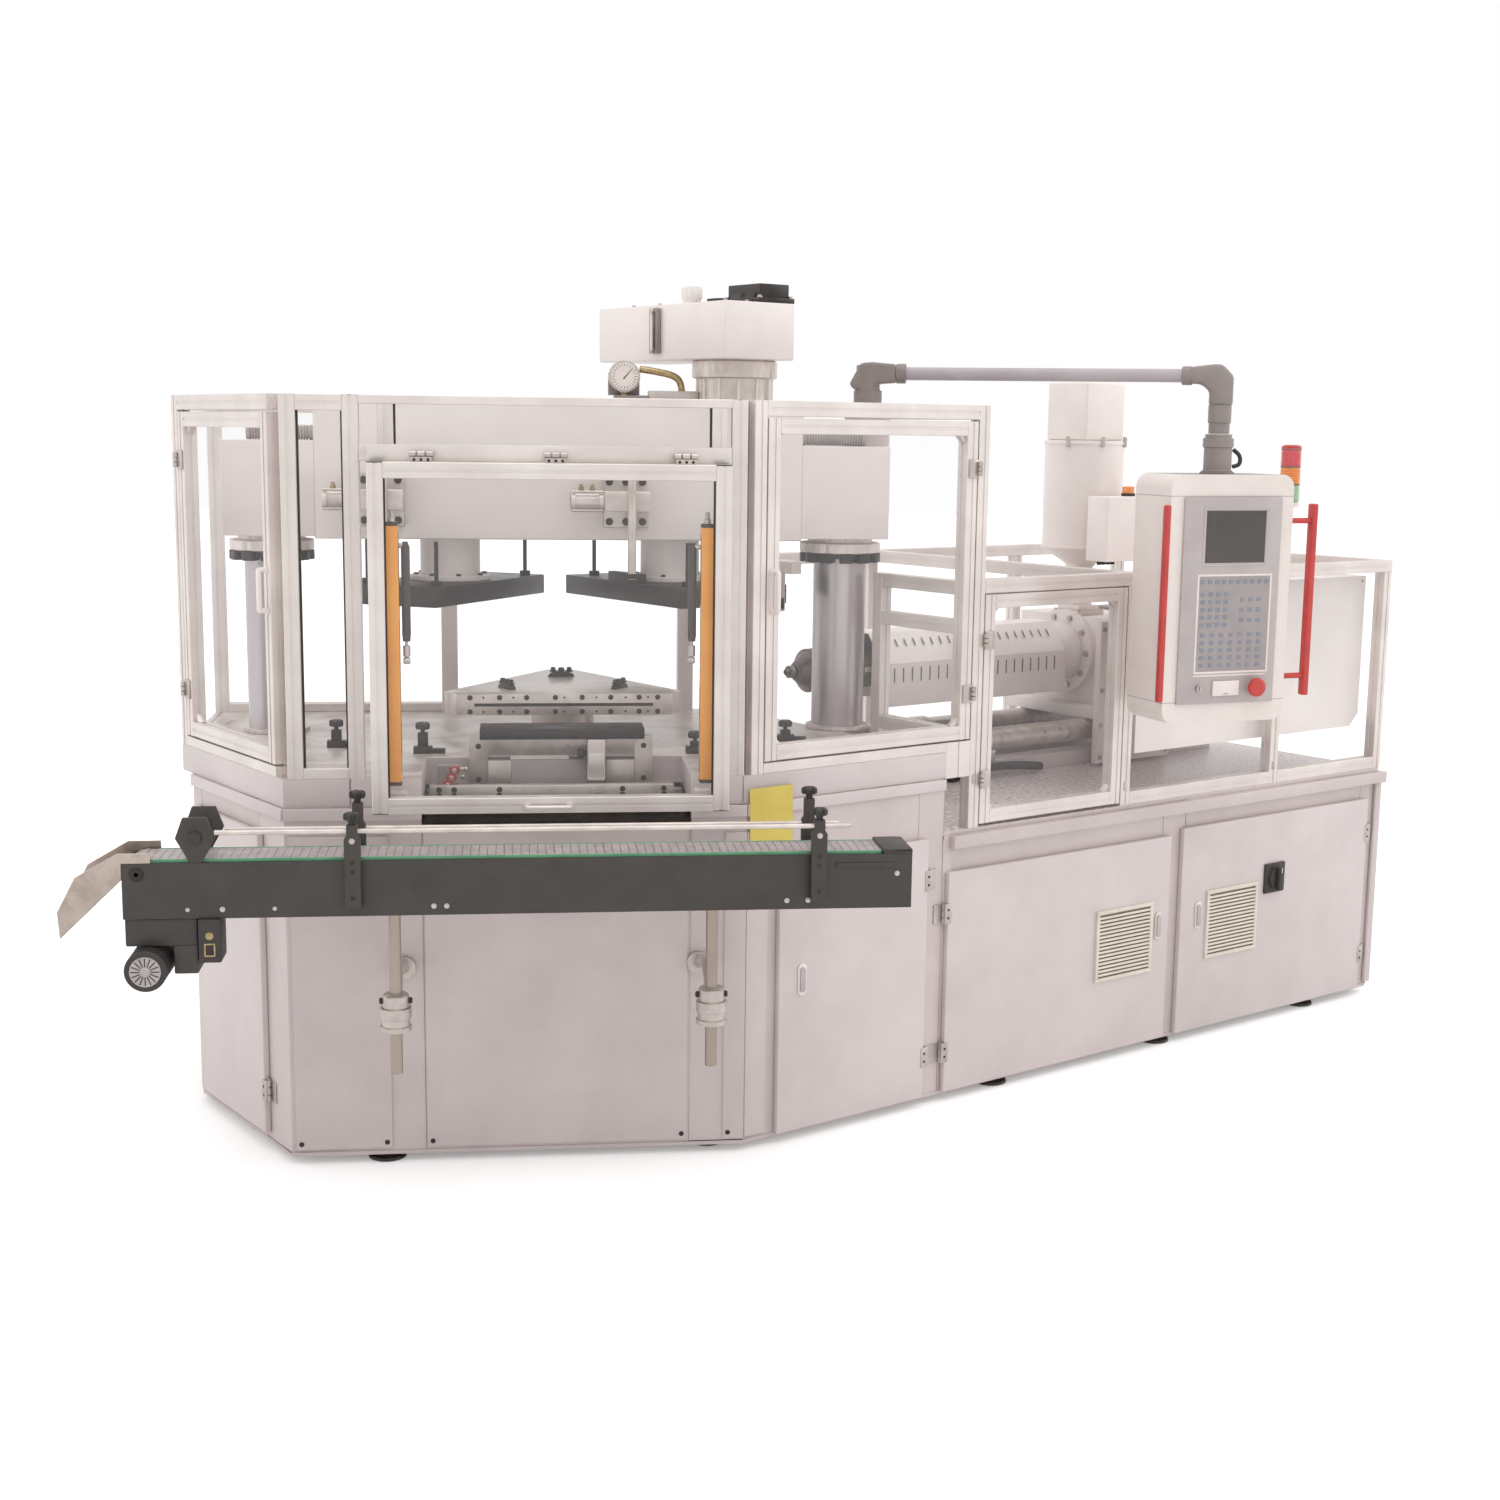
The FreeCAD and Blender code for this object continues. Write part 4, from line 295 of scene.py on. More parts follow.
# Brushed stainless sheet of the chute.
stainless = coat("brushed_stainless", "#c3b5ab", "#a5978d", 60, 0.34, 0.08, 2, 0.008,
                 stretch=(1, 9, 1), metallic=0.75)
# Coloured lenses of the lamps: clear tinted acrylic, glowing softly when lit through.
lens_red, lens_amber, lens_green = (
    coat(name, pale, dark, 30, 0.22, 0.04, 4, 0.01, coat_weight=0.4)
    for name, pale, dark in (("lens_red", "#e0696f", "#d65c63"),
                             ("lens_amber", "#f0995a", "#e88c4b"),
                             ("lens_green", "#a8c9a5", "#97bb97")))
# Stoved enamel of gauge dials and of the level glass.
dial_white = coat("dial_enamel", "#f0e6df", "#e8ddd6", 30, 0.35, 0.04, 4, 0.004)
# Heater bands of the barrel: rolled steel over mica, dulled by heat.
heater_mica = coat("heater_band", "#8a7f79", "#6f655f", 25, 0.40, 0.08, 3, 0.02, metallic=0.7)


def clear_pane():
    """Cast polycarbonate sheet, 6 mm: clear, faintly cool, with a soft reflection and haze."""
    made = coat("clear_polycarbonate", "#f4f1f2", "#eceaee", 300, 0.06, 0.02, 60, 0.002,
                alpha=0.045)
    made.surface_render_method = "BLENDED"
    return made


pane = clear_pane()


# Solid pieces.

class Piece:
    """One object in the making, in millimetres in the frame of its side of the machine."""

    def __init__(self, name, body, place=PRESS):
        self.name, self.body, self.place = name, body, place
        self.whole = bmesh.new()
        self.finishes = []

    def index(self, finish):
        """The number of a finish on this piece."""
        if finish not in self.finishes:
            self.finishes.append(finish)
        return self.finishes.index(finish)

    def join(self, part, finish=None):
        """Takes a finished part, turns it into place and frees it."""
        if finish:
            number = self.index(finish)
            for face in part.faces:
                face.material_index = number
        part.transform(self.place @ Matrix.Scale(MM, 4))
        mesh = bpy.data.meshes.new("part")
        part.to_mesh(mesh)
        part.free()
        self.whole.from_mesh(mesh)
        bpy.data.meshes.remove(mesh)

    def shell(self, corners, faces, finish, soft, steps):
        """A closed shape from its corners and faces, its sharp edges eased by soft."""
        part = bmesh.new()
        points = [part.verts.new(corner) for corner in corners]
        for face in faces:
            part.faces.new([points[i] for i in face])
        bmesh.ops.recalc_face_normals(part, faces=part.faces)
        if soft:
            sharp = [edge for edge in part.edges if edge.calc_face_angle(0) > 0.6]
            bmesh.ops.bevel(part, geom=sharp, offset=soft, segments=steps, profile=0.5,
                            affect="EDGES", clamp_overlap=True)
        self.join(part, finish)

    def prism(self, points, start, end, way, finish, soft=1.0, steps=2):
        """An outline run along one axis. Its plane is (x, y), (x, z) or (y, z)."""
        order = {"z": lambda a, b, c: (a, b, c), "y": lambda a, b, c: (a, c, b),
                 "x": lambda a, b, c: (c, a, b)}[way]
        count = len(points)
        corners = [order(a, b, start) for a, b in points] + [order(a, b, end) for a, b in points]
        faces = [list(range(count)), list(range(count, 2 * count))]
        faces += [(i, (i + 1) % count, (i + 1) % count + count, i + count) for i in range(count)]
        self.shell(corners, faces, finish, soft, steps)

    def bar(self, x0, x1, y0, y1, z0, z1, finish, soft=1.0, steps=2):
        """A block between two places along each axis."""
        self.prism([(x0, y0), (x1, y0), (x1, y1), (x0, y1)], z0, z1, "z", finish, soft, steps)

    def turned(self, centre, way, outline, finish, sides=32, flute=None):
        """A lathe part: outline is (place along the axis, radius) pairs, closed at both ends."""
        part = bmesh.new()
        order = {"z": lambda a, b, c: (a, b, c), "y": lambda a, b, c: (b, c, a),
                 "x": lambda a, b, c: (c, a, b)}[way]
        rings = []
        for along, radius in outline:
            ring = []
            for i in range(sides):
                angle = 2 * math.pi * i / sides
                reach = radius * (flute(i) if flute else 1)
                spot = order(reach * math.cos(angle), reach * math.sin(angle), along)
                ring.append(part.verts.new(Vector(spot) + Vector(centre)))
            rings.append(ring)
        for low, high in zip(rings, rings[1:]):
            for i in range(sides):
                j = (i + 1) % sides
                part.faces.new((low[i], low[j], high[j], high[i]))
        part.faces.new(rings[0])
        part.faces.new(rings[-1])
        bmesh.ops.recalc_face_normals(part, faces=part.faces)
        self.join(part, finish)

    def pipe(self, points, radius, finish, sides=12, rounds=3):
        """A bent bar or pipe through the points, its corners rounded by cutting."""
        line = [Vector(p) for p in points]
        for _ in range(rounds):
            cut = [line[0]]
            for first, second in zip(line, line[1:]):
                cut += [first.lerp(second, 0.25), first.lerp(second, 0.75)]
            line = cut + [line[-1]]
        part = bmesh.new()
        rings = []
        across = None
        for i, point in enumerate(line):
            ahead = (line[min(i + 1, len(line) - 1)] - line[max(i - 1, 0)]).normalized()
            if across is None:
                across = ahead.orthogonal().normalized()
            across = (across - ahead * across.dot(ahead)).normalized()
            other = ahead.cross(across)
            rings.append([part.verts.new(point + radius * (
                across * math.cos(2 * math.pi * k / sides)
                + other * math.sin(2 * math.pi * k / sides))) for k in range(sides)])
        for low, high in zip(rings, rings[1:]):
            for i in range(sides):
                j = (i + 1) % sides
                part.faces.new((low[i], low[j], high[j], high[i]))
        part.faces.new(rings[0])
        part.faces.new(rings[-1])
        bmesh.ops.recalc_face_normals(part, faces=part.faces)
        self.join(part, finish)

    def extrusion(self, x0, x1, y0, y1, z0, z1):
        """A bar of slotted aluminium profile along its longest side."""
        spans = [("x", x1 - x0), ("y", y1 - y0), ("z", z1 - z0)]
        way = max(spans, key=lambda span: span[1])[0]
        ends = {"x": (x0, x1, y0, y1, z0, z1), "y": (y0, y1, x0, x1, z0, z1),
                "z": (z0, z1, x0, x1, y0, y1)}[way]
        start, end, a0, a1, b0, b1 = ends
        self.prism(slotted(a0, a1, b0, b1), start, end, way, aluminium, 0)

    def done(self, *nodes, slot=None):
        """Ends the piece, which then stands for these CAD nodes."""
        mesh = bpy.data.meshes.new(self.name)
        self.whole.to_mesh(mesh)
        self.whole.free()
        keep(self.name, mesh, self.finishes, self.body, nodes, slot)


def crowded_edges_sharp(mesh):
    """Keeps shading from running across an edge that more or fewer than two faces share."""
    shape = bmesh.new()
    shape.from_mesh(mesh)
    for edge in shape.edges:
        if len(edge.link_faces) != 2:
            edge.smooth = False
    shape.to_mesh(mesh)
    shape.free()


def keep(name, mesh, finishes, body, nodes, slot):
    """Turns a mesh that is in place into a piece that rides on its body."""
    for finish in finishes:
        if finish.name not in mesh.materials:
            mesh.materials.append(finish)
    mesh.polygons.foreach_set("use_smooth", [True] * len(mesh.polygons))
    mesh.set_sharp_from_angle(angle=math.radians(38))
    crowded_edges_sharp(mesh)
    thing = bpy.data.objects.new(name, mesh)
    bpy.context.scene.collection.objects.link(thing)
    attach(thing, body)
    if nodes:
        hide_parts(*nodes)


def eased(low, high, radius, ease, run=1):
    """Outline of a turned length whose two ends are eased."""
    return [(low, radius - ease), (low + run, radius), (high - run, radius),
            (high, radius - ease)]


SLOT_WIDTH, SLOT_DEPTH, NOSE = 8, 2.2, 1.5
SLOTTED_FROM = 34  # A narrower face of the profile has no slot.


def slotted(a0, a1, b0, b1):
    """Section of the aluminium profile: an open slot in the middle of each broad face."""
    wide, high = a1 - a0, b1 - b0
    outline = []
    for (x, y), (dx, dy), (ix, iy), length, inner in (
            ((a0, b0), (1, 0), (0, 1), wide, high), ((a1, b0), (0, 1), (-1, 0), high, wide),
            ((a1, b1), (-1, 0), (0, -1), wide, high), ((a0, b1), (0, -1), (1, 0), high, wide)):
        stops = [(NOSE, 0)]
        if length >= SLOTTED_FROM:
            deep = min(SLOT_DEPTH, inner / 2 - 4)
            near, far = (length - SLOT_WIDTH) / 2, (length + SLOT_WIDTH) / 2
            stops += [(near, 0), (near, deep), (far, deep), (far, 0)]
        stops.append((length - NOSE, 0))
        outline += [(x + dx * s + ix * d, y + dy * s + iy * d) for s, d in stops]
    return outline


def dress(node, finish, soft, place=PRESS, pick=None):
    """A CAD node's own shape with its faces merged and its edges eased, in its real finish.

    pick(x, y, z, normal) gives another finish for a face, from its middle in the side's frame.
    """
    piece = Piece(node + "_shape", CARRIED[node], place)
    piece.whole.from_mesh(frame["nodes"][node].data)
    part = piece.whole
    bmesh.ops.remove_doubles(part, verts=part.verts, dist=1e-5)
    bmesh.ops.dissolve_limit(part, angle_limit=math.radians(0.5), verts=part.verts,
                             edges=part.edges)
    edges = [edge for edge in part.edges
             if len(edge.link_faces) == 2 and edge.calc_face_angle(0) > 0.6
             and edge.is_convex and edge.calc_length() > 4 * soft * MM]
    if soft:
        bmesh.ops.bevel(part, geom=edges, offset=soft * MM, segments=2, profile=0.5,
                        affect="EDGES", clamp_overlap=True)
    piece.index(finish)
    back = place.inverted()
    turn = back.to_3x3()
    for face in part.faces:
        face.material_index = 0
        if pick:
            x, y, z = (back @ face.calc_center_median()) / MM
            other = pick(x, y, z, turn @ face.normal)
            if other:
                face.material_index = piece.index(other)
    piece.done(node)


CARRIED = {node: body for body, nodes in frame["record"]["behaviour"]["bodies"].items()
           for node in nodes}


# Trees for what repeats.

def new_tree(name, inputs):
    """A modifier tree with named inputs; returns it and its group input."""
    tree = bpy.data.node_groups.new(name, "GeometryNodeTree")
    tree.is_modifier = True
    tree.interface.new_socket("Geometry", in_out="OUTPUT", socket_type="NodeSocketGeometry")
    tree.interface.new_socket("Geometry", in_out="INPUT", socket_type="NodeSocketGeometry")
    for label, kind in inputs:
        tree.interface.new_socket(label, in_out="INPUT", socket_type="NodeSocket" + kind)
    tree.interface.new_socket("Finish", in_out="INPUT", socket_type="NodeSocketMaterial")
    return tree, add(tree, "NodeGroupInput").outputs


def close_tree(tree, geometry, given):
    """Ends a tree: the instances become plain geometry in their finish."""
    real = add(tree, "GeometryNodeRealizeInstances", {0: geometry}).outputs[0]
    painted = add(tree, "GeometryNodeSetMaterial", {"Geometry": real,
                                                    "Material": given["Finish"]}).outputs[0]
    add(tree, "NodeGroupOutput", {0: painted})
    return tree


def bolt_tree():
    """A washer and a head on every point, looking along the point's "facing"."""
    tree, given = new_tree("bolt_heads", (("Head Radius", "Float"), ("Head Height", "Float"),
                                          ("Sides", "Int"), ("Washer", "Float")))
    middle = add(tree, "ShaderNodeMath", {0: given["Head Height"], 1: 0.5},
                 operation="MULTIPLY").outputs[0]
    lift = add(tree, "ShaderNodeCombineXYZ", {"Z": middle}).outputs[0]
    head = add(tree, "GeometryNodeMeshCylinder",
               {"Vertices": given["Sides"], "Radius": given["Head Radius"],
                "Depth": given["Head Height"]}).outputs["Mesh"]
    raised = add(tree, "GeometryNodeTransform", {"Geometry": head, "Translation": lift})
    rim = add(tree, "ShaderNodeMath", {0: given["Head Radius"], 1: given["Washer"]},
              operation="MULTIPLY").outputs[0]
    gauge = add(tree, "ShaderNodeMath", {0: given["Head Height"], 1: 0.36},
                operation="MULTIPLY").outputs[0]
    washer = add(tree, "GeometryNodeMeshCylinder", {"Vertices": 20, "Radius": rim,
                                                    "Depth": gauge}).outputs["Mesh"]
    both = add(tree, "GeometryNodeJoinGeometry", {0: washer})
    tree.links.new(raised.outputs[0], both.inputs[0])
    facing = add(tree, "GeometryNodeInputNamedAttribute", {"Name": "facing"},
                 data_type="FLOAT_VECTOR").outputs[0]
    turn = add(tree, "FunctionNodeAlignRotationToVector", {"Vector": facing}, axis="Z")
    spread = add(tree, "GeometryNodeInstanceOnPoints",
                 {"Points": given["Geometry"], "Instance": both.outputs[0],
                  "Rotation": turn.outputs[0]}).outputs[0]
    return close_tree(tree, spread, given)


def grid_tree():
    """The given shape in rows and columns."""
    tree, given = new_tree("rows_and_columns", (("Columns", "Int"), ("Rows", "Int"),
                                                ("Step", "Vector"), ("Rise", "Vector")))
    row = add(tree, "GeometryNodeMeshLine", {"Count": given["Columns"],
                                             "Offset": given["Step"]}).outputs[0]
    first = add(tree, "GeometryNodeInstanceOnPoints", {"Points": row,
                                                       "Instance": given["Geometry"]})
    column = add(tree, "GeometryNodeMeshLine", {"Count": given["Rows"],
                                                "Offset": given["Rise"]}).outputs[0]
    second = add(tree, "GeometryNodeInstanceOnPoints", {"Points": column,
                                                        "Instance": first.outputs[0]})
    return close_tree(tree, second.outputs[0], given)


def ring_tree():
    """The given shape repeated round the Z axis."""
    tree, given = new_tree("ring", (("Count", "Int"),))
    spots = add(tree, "GeometryNodePoints", {"Count": given["Count"]}).outputs[0]
    number = add(tree, "GeometryNodeInputIndex").outputs[0]
    share = add(tree, "ShaderNodeMath", {0: number, 1: given["Count"]},
                operation="DIVIDE").outputs[0]
    angle = add(tree, "ShaderNodeMath", {0: share, 1: 2 * math.pi},
                operation="MULTIPLY").outputs[0]
    turn = add(tree, "ShaderNodeCombineXYZ", {"Z": angle}).outputs[0]
    around = add(tree, "GeometryNodeInstanceOnPoints",
                 {"Points": spots, "Instance": given["Geometry"], "Rotation": turn})
    return close_tree(tree, around.outputs[0], given)


def path_tree():
    """Belt modules along a closed path: each a plate with a hinge bead at its edge."""
    tree, given = new_tree("modules_on_path", (("Count", "Int"), ("Module", "Vector"),
                                               ("Bead", "Float")))
    even = add(tree, "GeometryNodeResampleCurve", {"Curve": given["Geometry"],
                                                   "Count": given["Count"]})
    ahead = add(tree, "GeometryNodeInputTangent").outputs[0]
    turn = add(tree, "FunctionNodeAlignRotationToVector", {"Vector": ahead}, axis="X")
    plate = add(tree, "GeometryNodeMeshCube", {"Size": given["Module"]}).outputs["Mesh"]
    parts = add(tree, "ShaderNodeSeparateXYZ", {0: given["Module"]}).outputs
    bead = add(tree, "GeometryNodeMeshCylinder", {"Vertices": 8, "Radius": given["Bead"],
                                                  "Depth": parts["Y"]}).outputs["Mesh"]
    half = add(tree, "ShaderNodeMath", {0: parts["X"], 1: 0.5}, operation="MULTIPLY").outputs[0]
    shift = add(tree, "ShaderNodeCombineXYZ", {"X": half}).outputs[0]
    laid = add(tree, "GeometryNodeTransform", {"Geometry": bead, "Translation": shift,
                                               "Rotation": (math.pi / 2, 0, 0)})
    both = add(tree, "GeometryNodeJoinGeometry", {0: plate})
    tree.links.new(laid.outputs[0], both.inputs[0])
    spread = add(tree, "GeometryNodeInstanceOnPoints",
                 {"Points": even.outputs[0], "Instance": both.outputs[0],
                  "Rotation": turn.outputs[0]}).outputs[0]
    return close_tree(tree, spread, given)


BOLTS, GRID, RING, PATH = bolt_tree(), grid_tree(), ring_tree(), path_tree()


def grown(base, tree, values):
    """The mesh that a tree makes from a base mesh or curve; the base is removed."""
    holder = bpy.data.objects.new("base", base)
    bpy.context.scene.collection.objects.link(holder)
    modifier = holder.modifiers.new("tree", "NODES")
    modifier.node_group = tree
    for item in tree.interface.items_tree:
        if item.in_out == "INPUT" and item.name in values:
            modifier[item.identifier] = values[item.name]
    graph = bpy.context.evaluated_depsgraph_get()
    graph.update()
    mesh = bpy.data.meshes.new_from_object(holder.evaluated_get(graph))
    bpy.data.objects.remove(holder)
    return mesh


def bolts(name, body, place, spots, finish, radius=6.0, height=5.0, sides=6, washer=1.4):
    """Fasteners: spots are (x, y, z, facing) in millimetres, facing a direction."""
    mesh = bpy.data.meshes.new(name)
    mesh.from_pydata([place @ (Vector(spot[:3]) * MM) for spot in spots], [], [])
    facing = mesh.attributes.new("facing", "FLOAT_VECTOR", "POINT")
    turn = place.to_3x3()
    for item, spot in zip(facing.data, spots):
        item.vector = turn @ Vector(spot[3])
    made = grown(mesh, BOLTS, {"Head Radius": radius * MM, "Head Height": height * MM,
                               "Sides": sides, "Washer": washer, "Finish": finish})
    keep(name, made, [finish], body, (), None)


def template(build):
    """A small shape made by a function on a bare piece, as a mesh in metres at the origin."""
    shape = Piece("template", None, Matrix.Identity(4))
    build(shape)
    mesh = bpy.data.meshes.new("template")
    shape.whole.to_mesh(mesh)
    shape.whole.free()
    return mesh


def rows(name, body, place, build, start, columns, step, count, rise, finish):
    """A shape repeated in a grid whose first copy stands at start."""
    mesh = grown(template(build), GRID, {
        "Columns": columns, "Rows": count, "Step": Vector(step) * MM,
        "Rise": Vector(rise) * MM, "Finish": finish})
    mesh.transform(place @ Matrix.Translation(Vector(start) * MM))
    keep(name, mesh, [finish], body, (), None)


def rings(name, body, place, build, centre, tilt, count, finish):
    """A shape repeated round an axis; tilt lays the axis along another direction."""
    mesh = grown(template(build), RING, {"Count": count, "Finish": finish})
    mesh.transform(place @ Matrix.Translation(Vector(centre) * MM) @ tilt)
    keep(name, mesh, [finish], body, (), None)


UPRIGHT = Matrix.Identity(4)
ALONG_Y = Matrix.Rotation(-math.pi / 2, 4, "X")
OUT, UP = (0, -1, 0), (0, 0, 1)


# The base, its cabinet and their doors.

BAND_LOW = 915


def base():
    """Press base with its paler apron band, cabinet, deck and feet."""
    def paint(x, y, z, normal):
        return door_paint if z > BAND_LOW and abs(normal.z) < 0.5 else None

    dress("base_frame", body_coat_with_painted_shade, 2.0, pick=paint)
    dress("cabinet_frame", body_coat_with_painted_shade, 2.0, INJECTION,
          pick=lambda x, y, z, n: tread_plate if n.z > 0.9 and z > CABINET - 2 else None)
    dress("press_deck", deck_steel, 2.0,
          pick=lambda x, y, z, n: None if n.z > 0.5 else door_paint)
    spots = [(x, FRONT - 6, 56, OUT) for x in (-701, -479, -360, 299, 424)]
    bolts("cover_screws", "machine", PRESS, spots, black_steel, 5, 2.6, 12, 1.35)
    sheet = Piece("notice_sheet", "machine", INJECTION)
    sheet.prism([(79, 846), (221, 842), (219, 995), (77, 995)], FACE - 9.4, FACE - 8, "y",
                yellow_film, 0.4, 1)
    sheet.done()
    feet = Piece("round_feet", "machine", PRESS)
    for x, y in ((-482, -615), (376.8, -570), (-946, 510), (-946, 0)):
        pad(feet, x, y)
    feet.done()
    feet = Piece("cabinet_feet", "machine", INJECTION)
    for x in (1030, 1750, 2480):
        for y in (-760, 405):
            pad(feet, x, y)
    feet.done("levelling_feet")


def pad(piece, x, y):
    """A levelling foot: a ribbed pad, its stem and a jam nut."""
    piece.turned((x, y, 0), "z", [(0, 46), (2, 50), (9, 48), (12, 26), (13, 16), (20, 16)],
                 black_steel, 24)
    piece.turned((x, y, 0), "z", [(12.5, 21), (14, 23), (19, 23), (20, 21)], zinc, 6)


HINGE_OUT, HINGE_TALL = 8, 60
DOOR_THICK = 18


def hinge(piece, leaves, x, y, z, toward):
    """A cast block hinge: knuckles and a block on the door, a leaf on the frame beside it."""
    for low, high in ((0, 18), (20, 40), (42, HINGE_TALL)):
        piece.turned((x, y, z), "z", eased(low, high, HINGE_OUT, 2), zinc, 20)
    piece.turned((x, y, z), "z", [(-3, 3), (-2, 4.2), (62, 4.2), (63, 3)], zinc, 12)
    near, far = sorted((x - toward * 20, x + toward * 6))
    piece.bar(near, far, y - HINGE_OUT - 4, y + HINGE_OUT - 4, z, z + HINGE_TALL, zinc, 2.2)
    for rise in (18, 42):
        piece.turned((x - toward * 7, 0, z + rise), "y",
                     [(y - HINGE_OUT - 4.6, 3), (y - HINGE_OUT - 4.4, 4), (y - HINGE_OUT - 3, 4)],
                     black_steel, 12)
    near, far = sorted((x + toward * 13, x + toward * 34))
    leaves.bar(near, far, y + HINGE_OUT - 3.4, y + HINGE_OUT - 0.2, z + 2, z + HINGE_TALL - 2,
               zinc, 0.8, 1)


def lock(piece, x, y, z):
    """A swing-handle lock: a rounded dish with its lever and key barrel."""
    for half, proud, low, high, finish in ((15, 5, 0, 90, aluminium), (9, 9, 10, 80, chrome)):
        outline = [(x + half * math.cos(math.radians(a)),
                    z + (high - half if a <= 180 else low + half)
                    + half * math.sin(math.radians(a)))
                   for a in [15 * i for i in range(13)] + [180 + 15 * i for i in range(13)]]
        piece.prism(outline, y - proud, y + 0.5, "y", finish, 1.6)


def sheet_door(name, node, place, x0, x1, face, z0, z1, hinge_x, toward, lock_x):
    """A folded sheet door on barrel hinges, its edge rolled, with its lock."""
    door = Piece(name, CARRIED[node], place)
    back = face - 0.5
    door.bar(x0, x1, back - DOOR_THICK, back, z0, z1, door_paint, 3.2, 3)
    leaves = Piece(node + "_leaves", "machine", place)
    for z in (z0 + 90, z1 - 90 - HINGE_TALL):
        hinge(door, leaves, hinge_x, back - HINGE_OUT, z, toward)
    lock(door, lock_x, back - DOOR_THICK, (z0 + z1) / 2)
    door.done(node, slot="door_paint")
    leaves.done()


def bordered(x0, x1, z0, z1, width):
    """The four bars of a flat frame, as places along x and z: low, high, left and right."""
    return ((x0, x1, z0, z0 + width), (x0, x1, z1 - width, z1),
            (x0, x0 + width, z0 + width, z1 - width), (x1 - width, x1, z0 + width, z1 - width))


VENT_WIDE, VENT_TALL, VENT_RIM, VENT_SLATS = 250, 224, 12, 16


def vent(name, node, x, z):
    """A clip-in grille: a frame with rows of drooping slats over a dark backing that paints the
    shade between them.
    """
    y = FACE - DOOR_THICK - 0.5
    edge = Piece(name + "_rim", CARRIED[node], INJECTION)
    for x0, x1, z0, z1 in bordered(x, x + VENT_WIDE, z, z + VENT_TALL, VENT_RIM):
        edge.bar(x0, x1, y - 8, y + 0.5, z0, z1, vent_plastic, 1.6)
    # The dark sheet behind the slats is painted shade, not a part of the grille.
    edge.bar(x + 8, x + VENT_WIDE - 8, y - 2, y + 0.5, z + 8, z + VENT_TALL - 8, grille_gap_shade,
             0.5, 1)
    edge.done()

    def slat(shape):
        shape.prism([(-7.8, -3.4), (-6.6, -4.2), (-3.0, 1.2), (-3.6, 2.4), (-4.8, 2.4)],
                    0, VENT_WIDE - 22, "x", vent_plastic, 0)

    rows(name + "_slats", CARRIED[node], INJECTION, slat, (x + 11, y, z + 22), 1, (0, 0, 0),
         VENT_SLATS, (0, 0, 12.0), vent_plastic)


def doors():
    """The sheet doors of base and cabinet, two grilles and the main switch."""
    sheet_door("left_base_door_sheet", "left_base_door", LEFT, -580, -130, 0, 50, 874, -122, 1,
               -540)
    sheet_door("press_door_sheet", "press_door", INJECTION, 175, 704, FACE, 30, 790, 712, 1, 252)
    sheet_door("front_cabinet_door_sheet", "front_cabinet_door", INJECTION, 784, 1726, FACE, 30,
               683, 776, -1, 1676)
    sheet_door("rear_cabinet_door_sheet", "rear_cabinet_door", INJECTION, 1782, 2724, FACE, 30,
               700, 2732, 1, 1863)
    vent("front_vent", "front_cabinet_door", 1396, 260)
    vent("rear_vent", "rear_cabinet_door", 1901, 260)
    switch = Piece("rotary_switch", "main_switch", INJECTION)
    x, y, z = 2232, FACE - 18.8, 487
    switch.bar(x - 50, x + 50, y - 9, y, z - 50, z + 50, black_plastic, 7, 3)
    switch.turned((x, y, z), "y", [(-20, 30), (-17, 34), (-9, 36), (-8, 36)], black_plastic, 40)
    switch.bar(x - 10, x + 10, y - 36, y - 18, z - 40, z + 40, black_plastic, 5, 3)
    switch.bar(x - 1.5, x + 1.5, y - 36.2, y - 35, z + 20, z + 38, white_paint, 0.3, 1)
    switch.done("main_switch", slot="black_plastic")


# Press: columns, beam, tank, platens and table.

def columns():
    """Two chromed columns, each with its foot ring, fluted nut and toothed lock nut."""
    piece = Piece("column_bars", "machine", PRESS)
    for x in COLUMNS:
        centre = (x, COLUMN_Y, 0)
        piece.turned(centre, "z", [(DECK, 79), (1610, 79)], chrome, 64)
        piece.turned(centre, "z", [(1030.4, 92), (1031, 96), (1040, 96), (1042, 92),
                                   (1042, 80)], ground_steel, 48)
        piece.turned(centre, "z",
                     [(1562, 104), (1563, 117), (1566, 121), (1592, 121), (1595, 117),
                      (1596, 97), (1609.5, 97)], aluminium, 72,
                     lambda i: 0.965 if i % 6 == 0 else 1)
        piece.turned(centre, "z", [(1548, 92), (1549, 108), (1562.5, 108), (1563, 92)],
                     black_steel, 48)
    piece.done("tie_columns", slot="chrome")

    def tooth(shape):
        shape.prism([(84, -15), (118, -19), (121, -12), (121, 12), (118, 19), (84, 15)],
                    1536, 1562, "z", black_steel, 1.0, 1)

    for name, x in zip(("left_nut_teeth", "right_nut_teeth"), COLUMNS):
        rings(name, "machine", PRESS, tooth, (x, COLUMN_Y, 0), UPRIGHT, 12, black_steel)


BEAM = 40
LOCK_UNITS = (-512, 184)
HOSE_RIBS, HOSE_PITCH = 20, 8


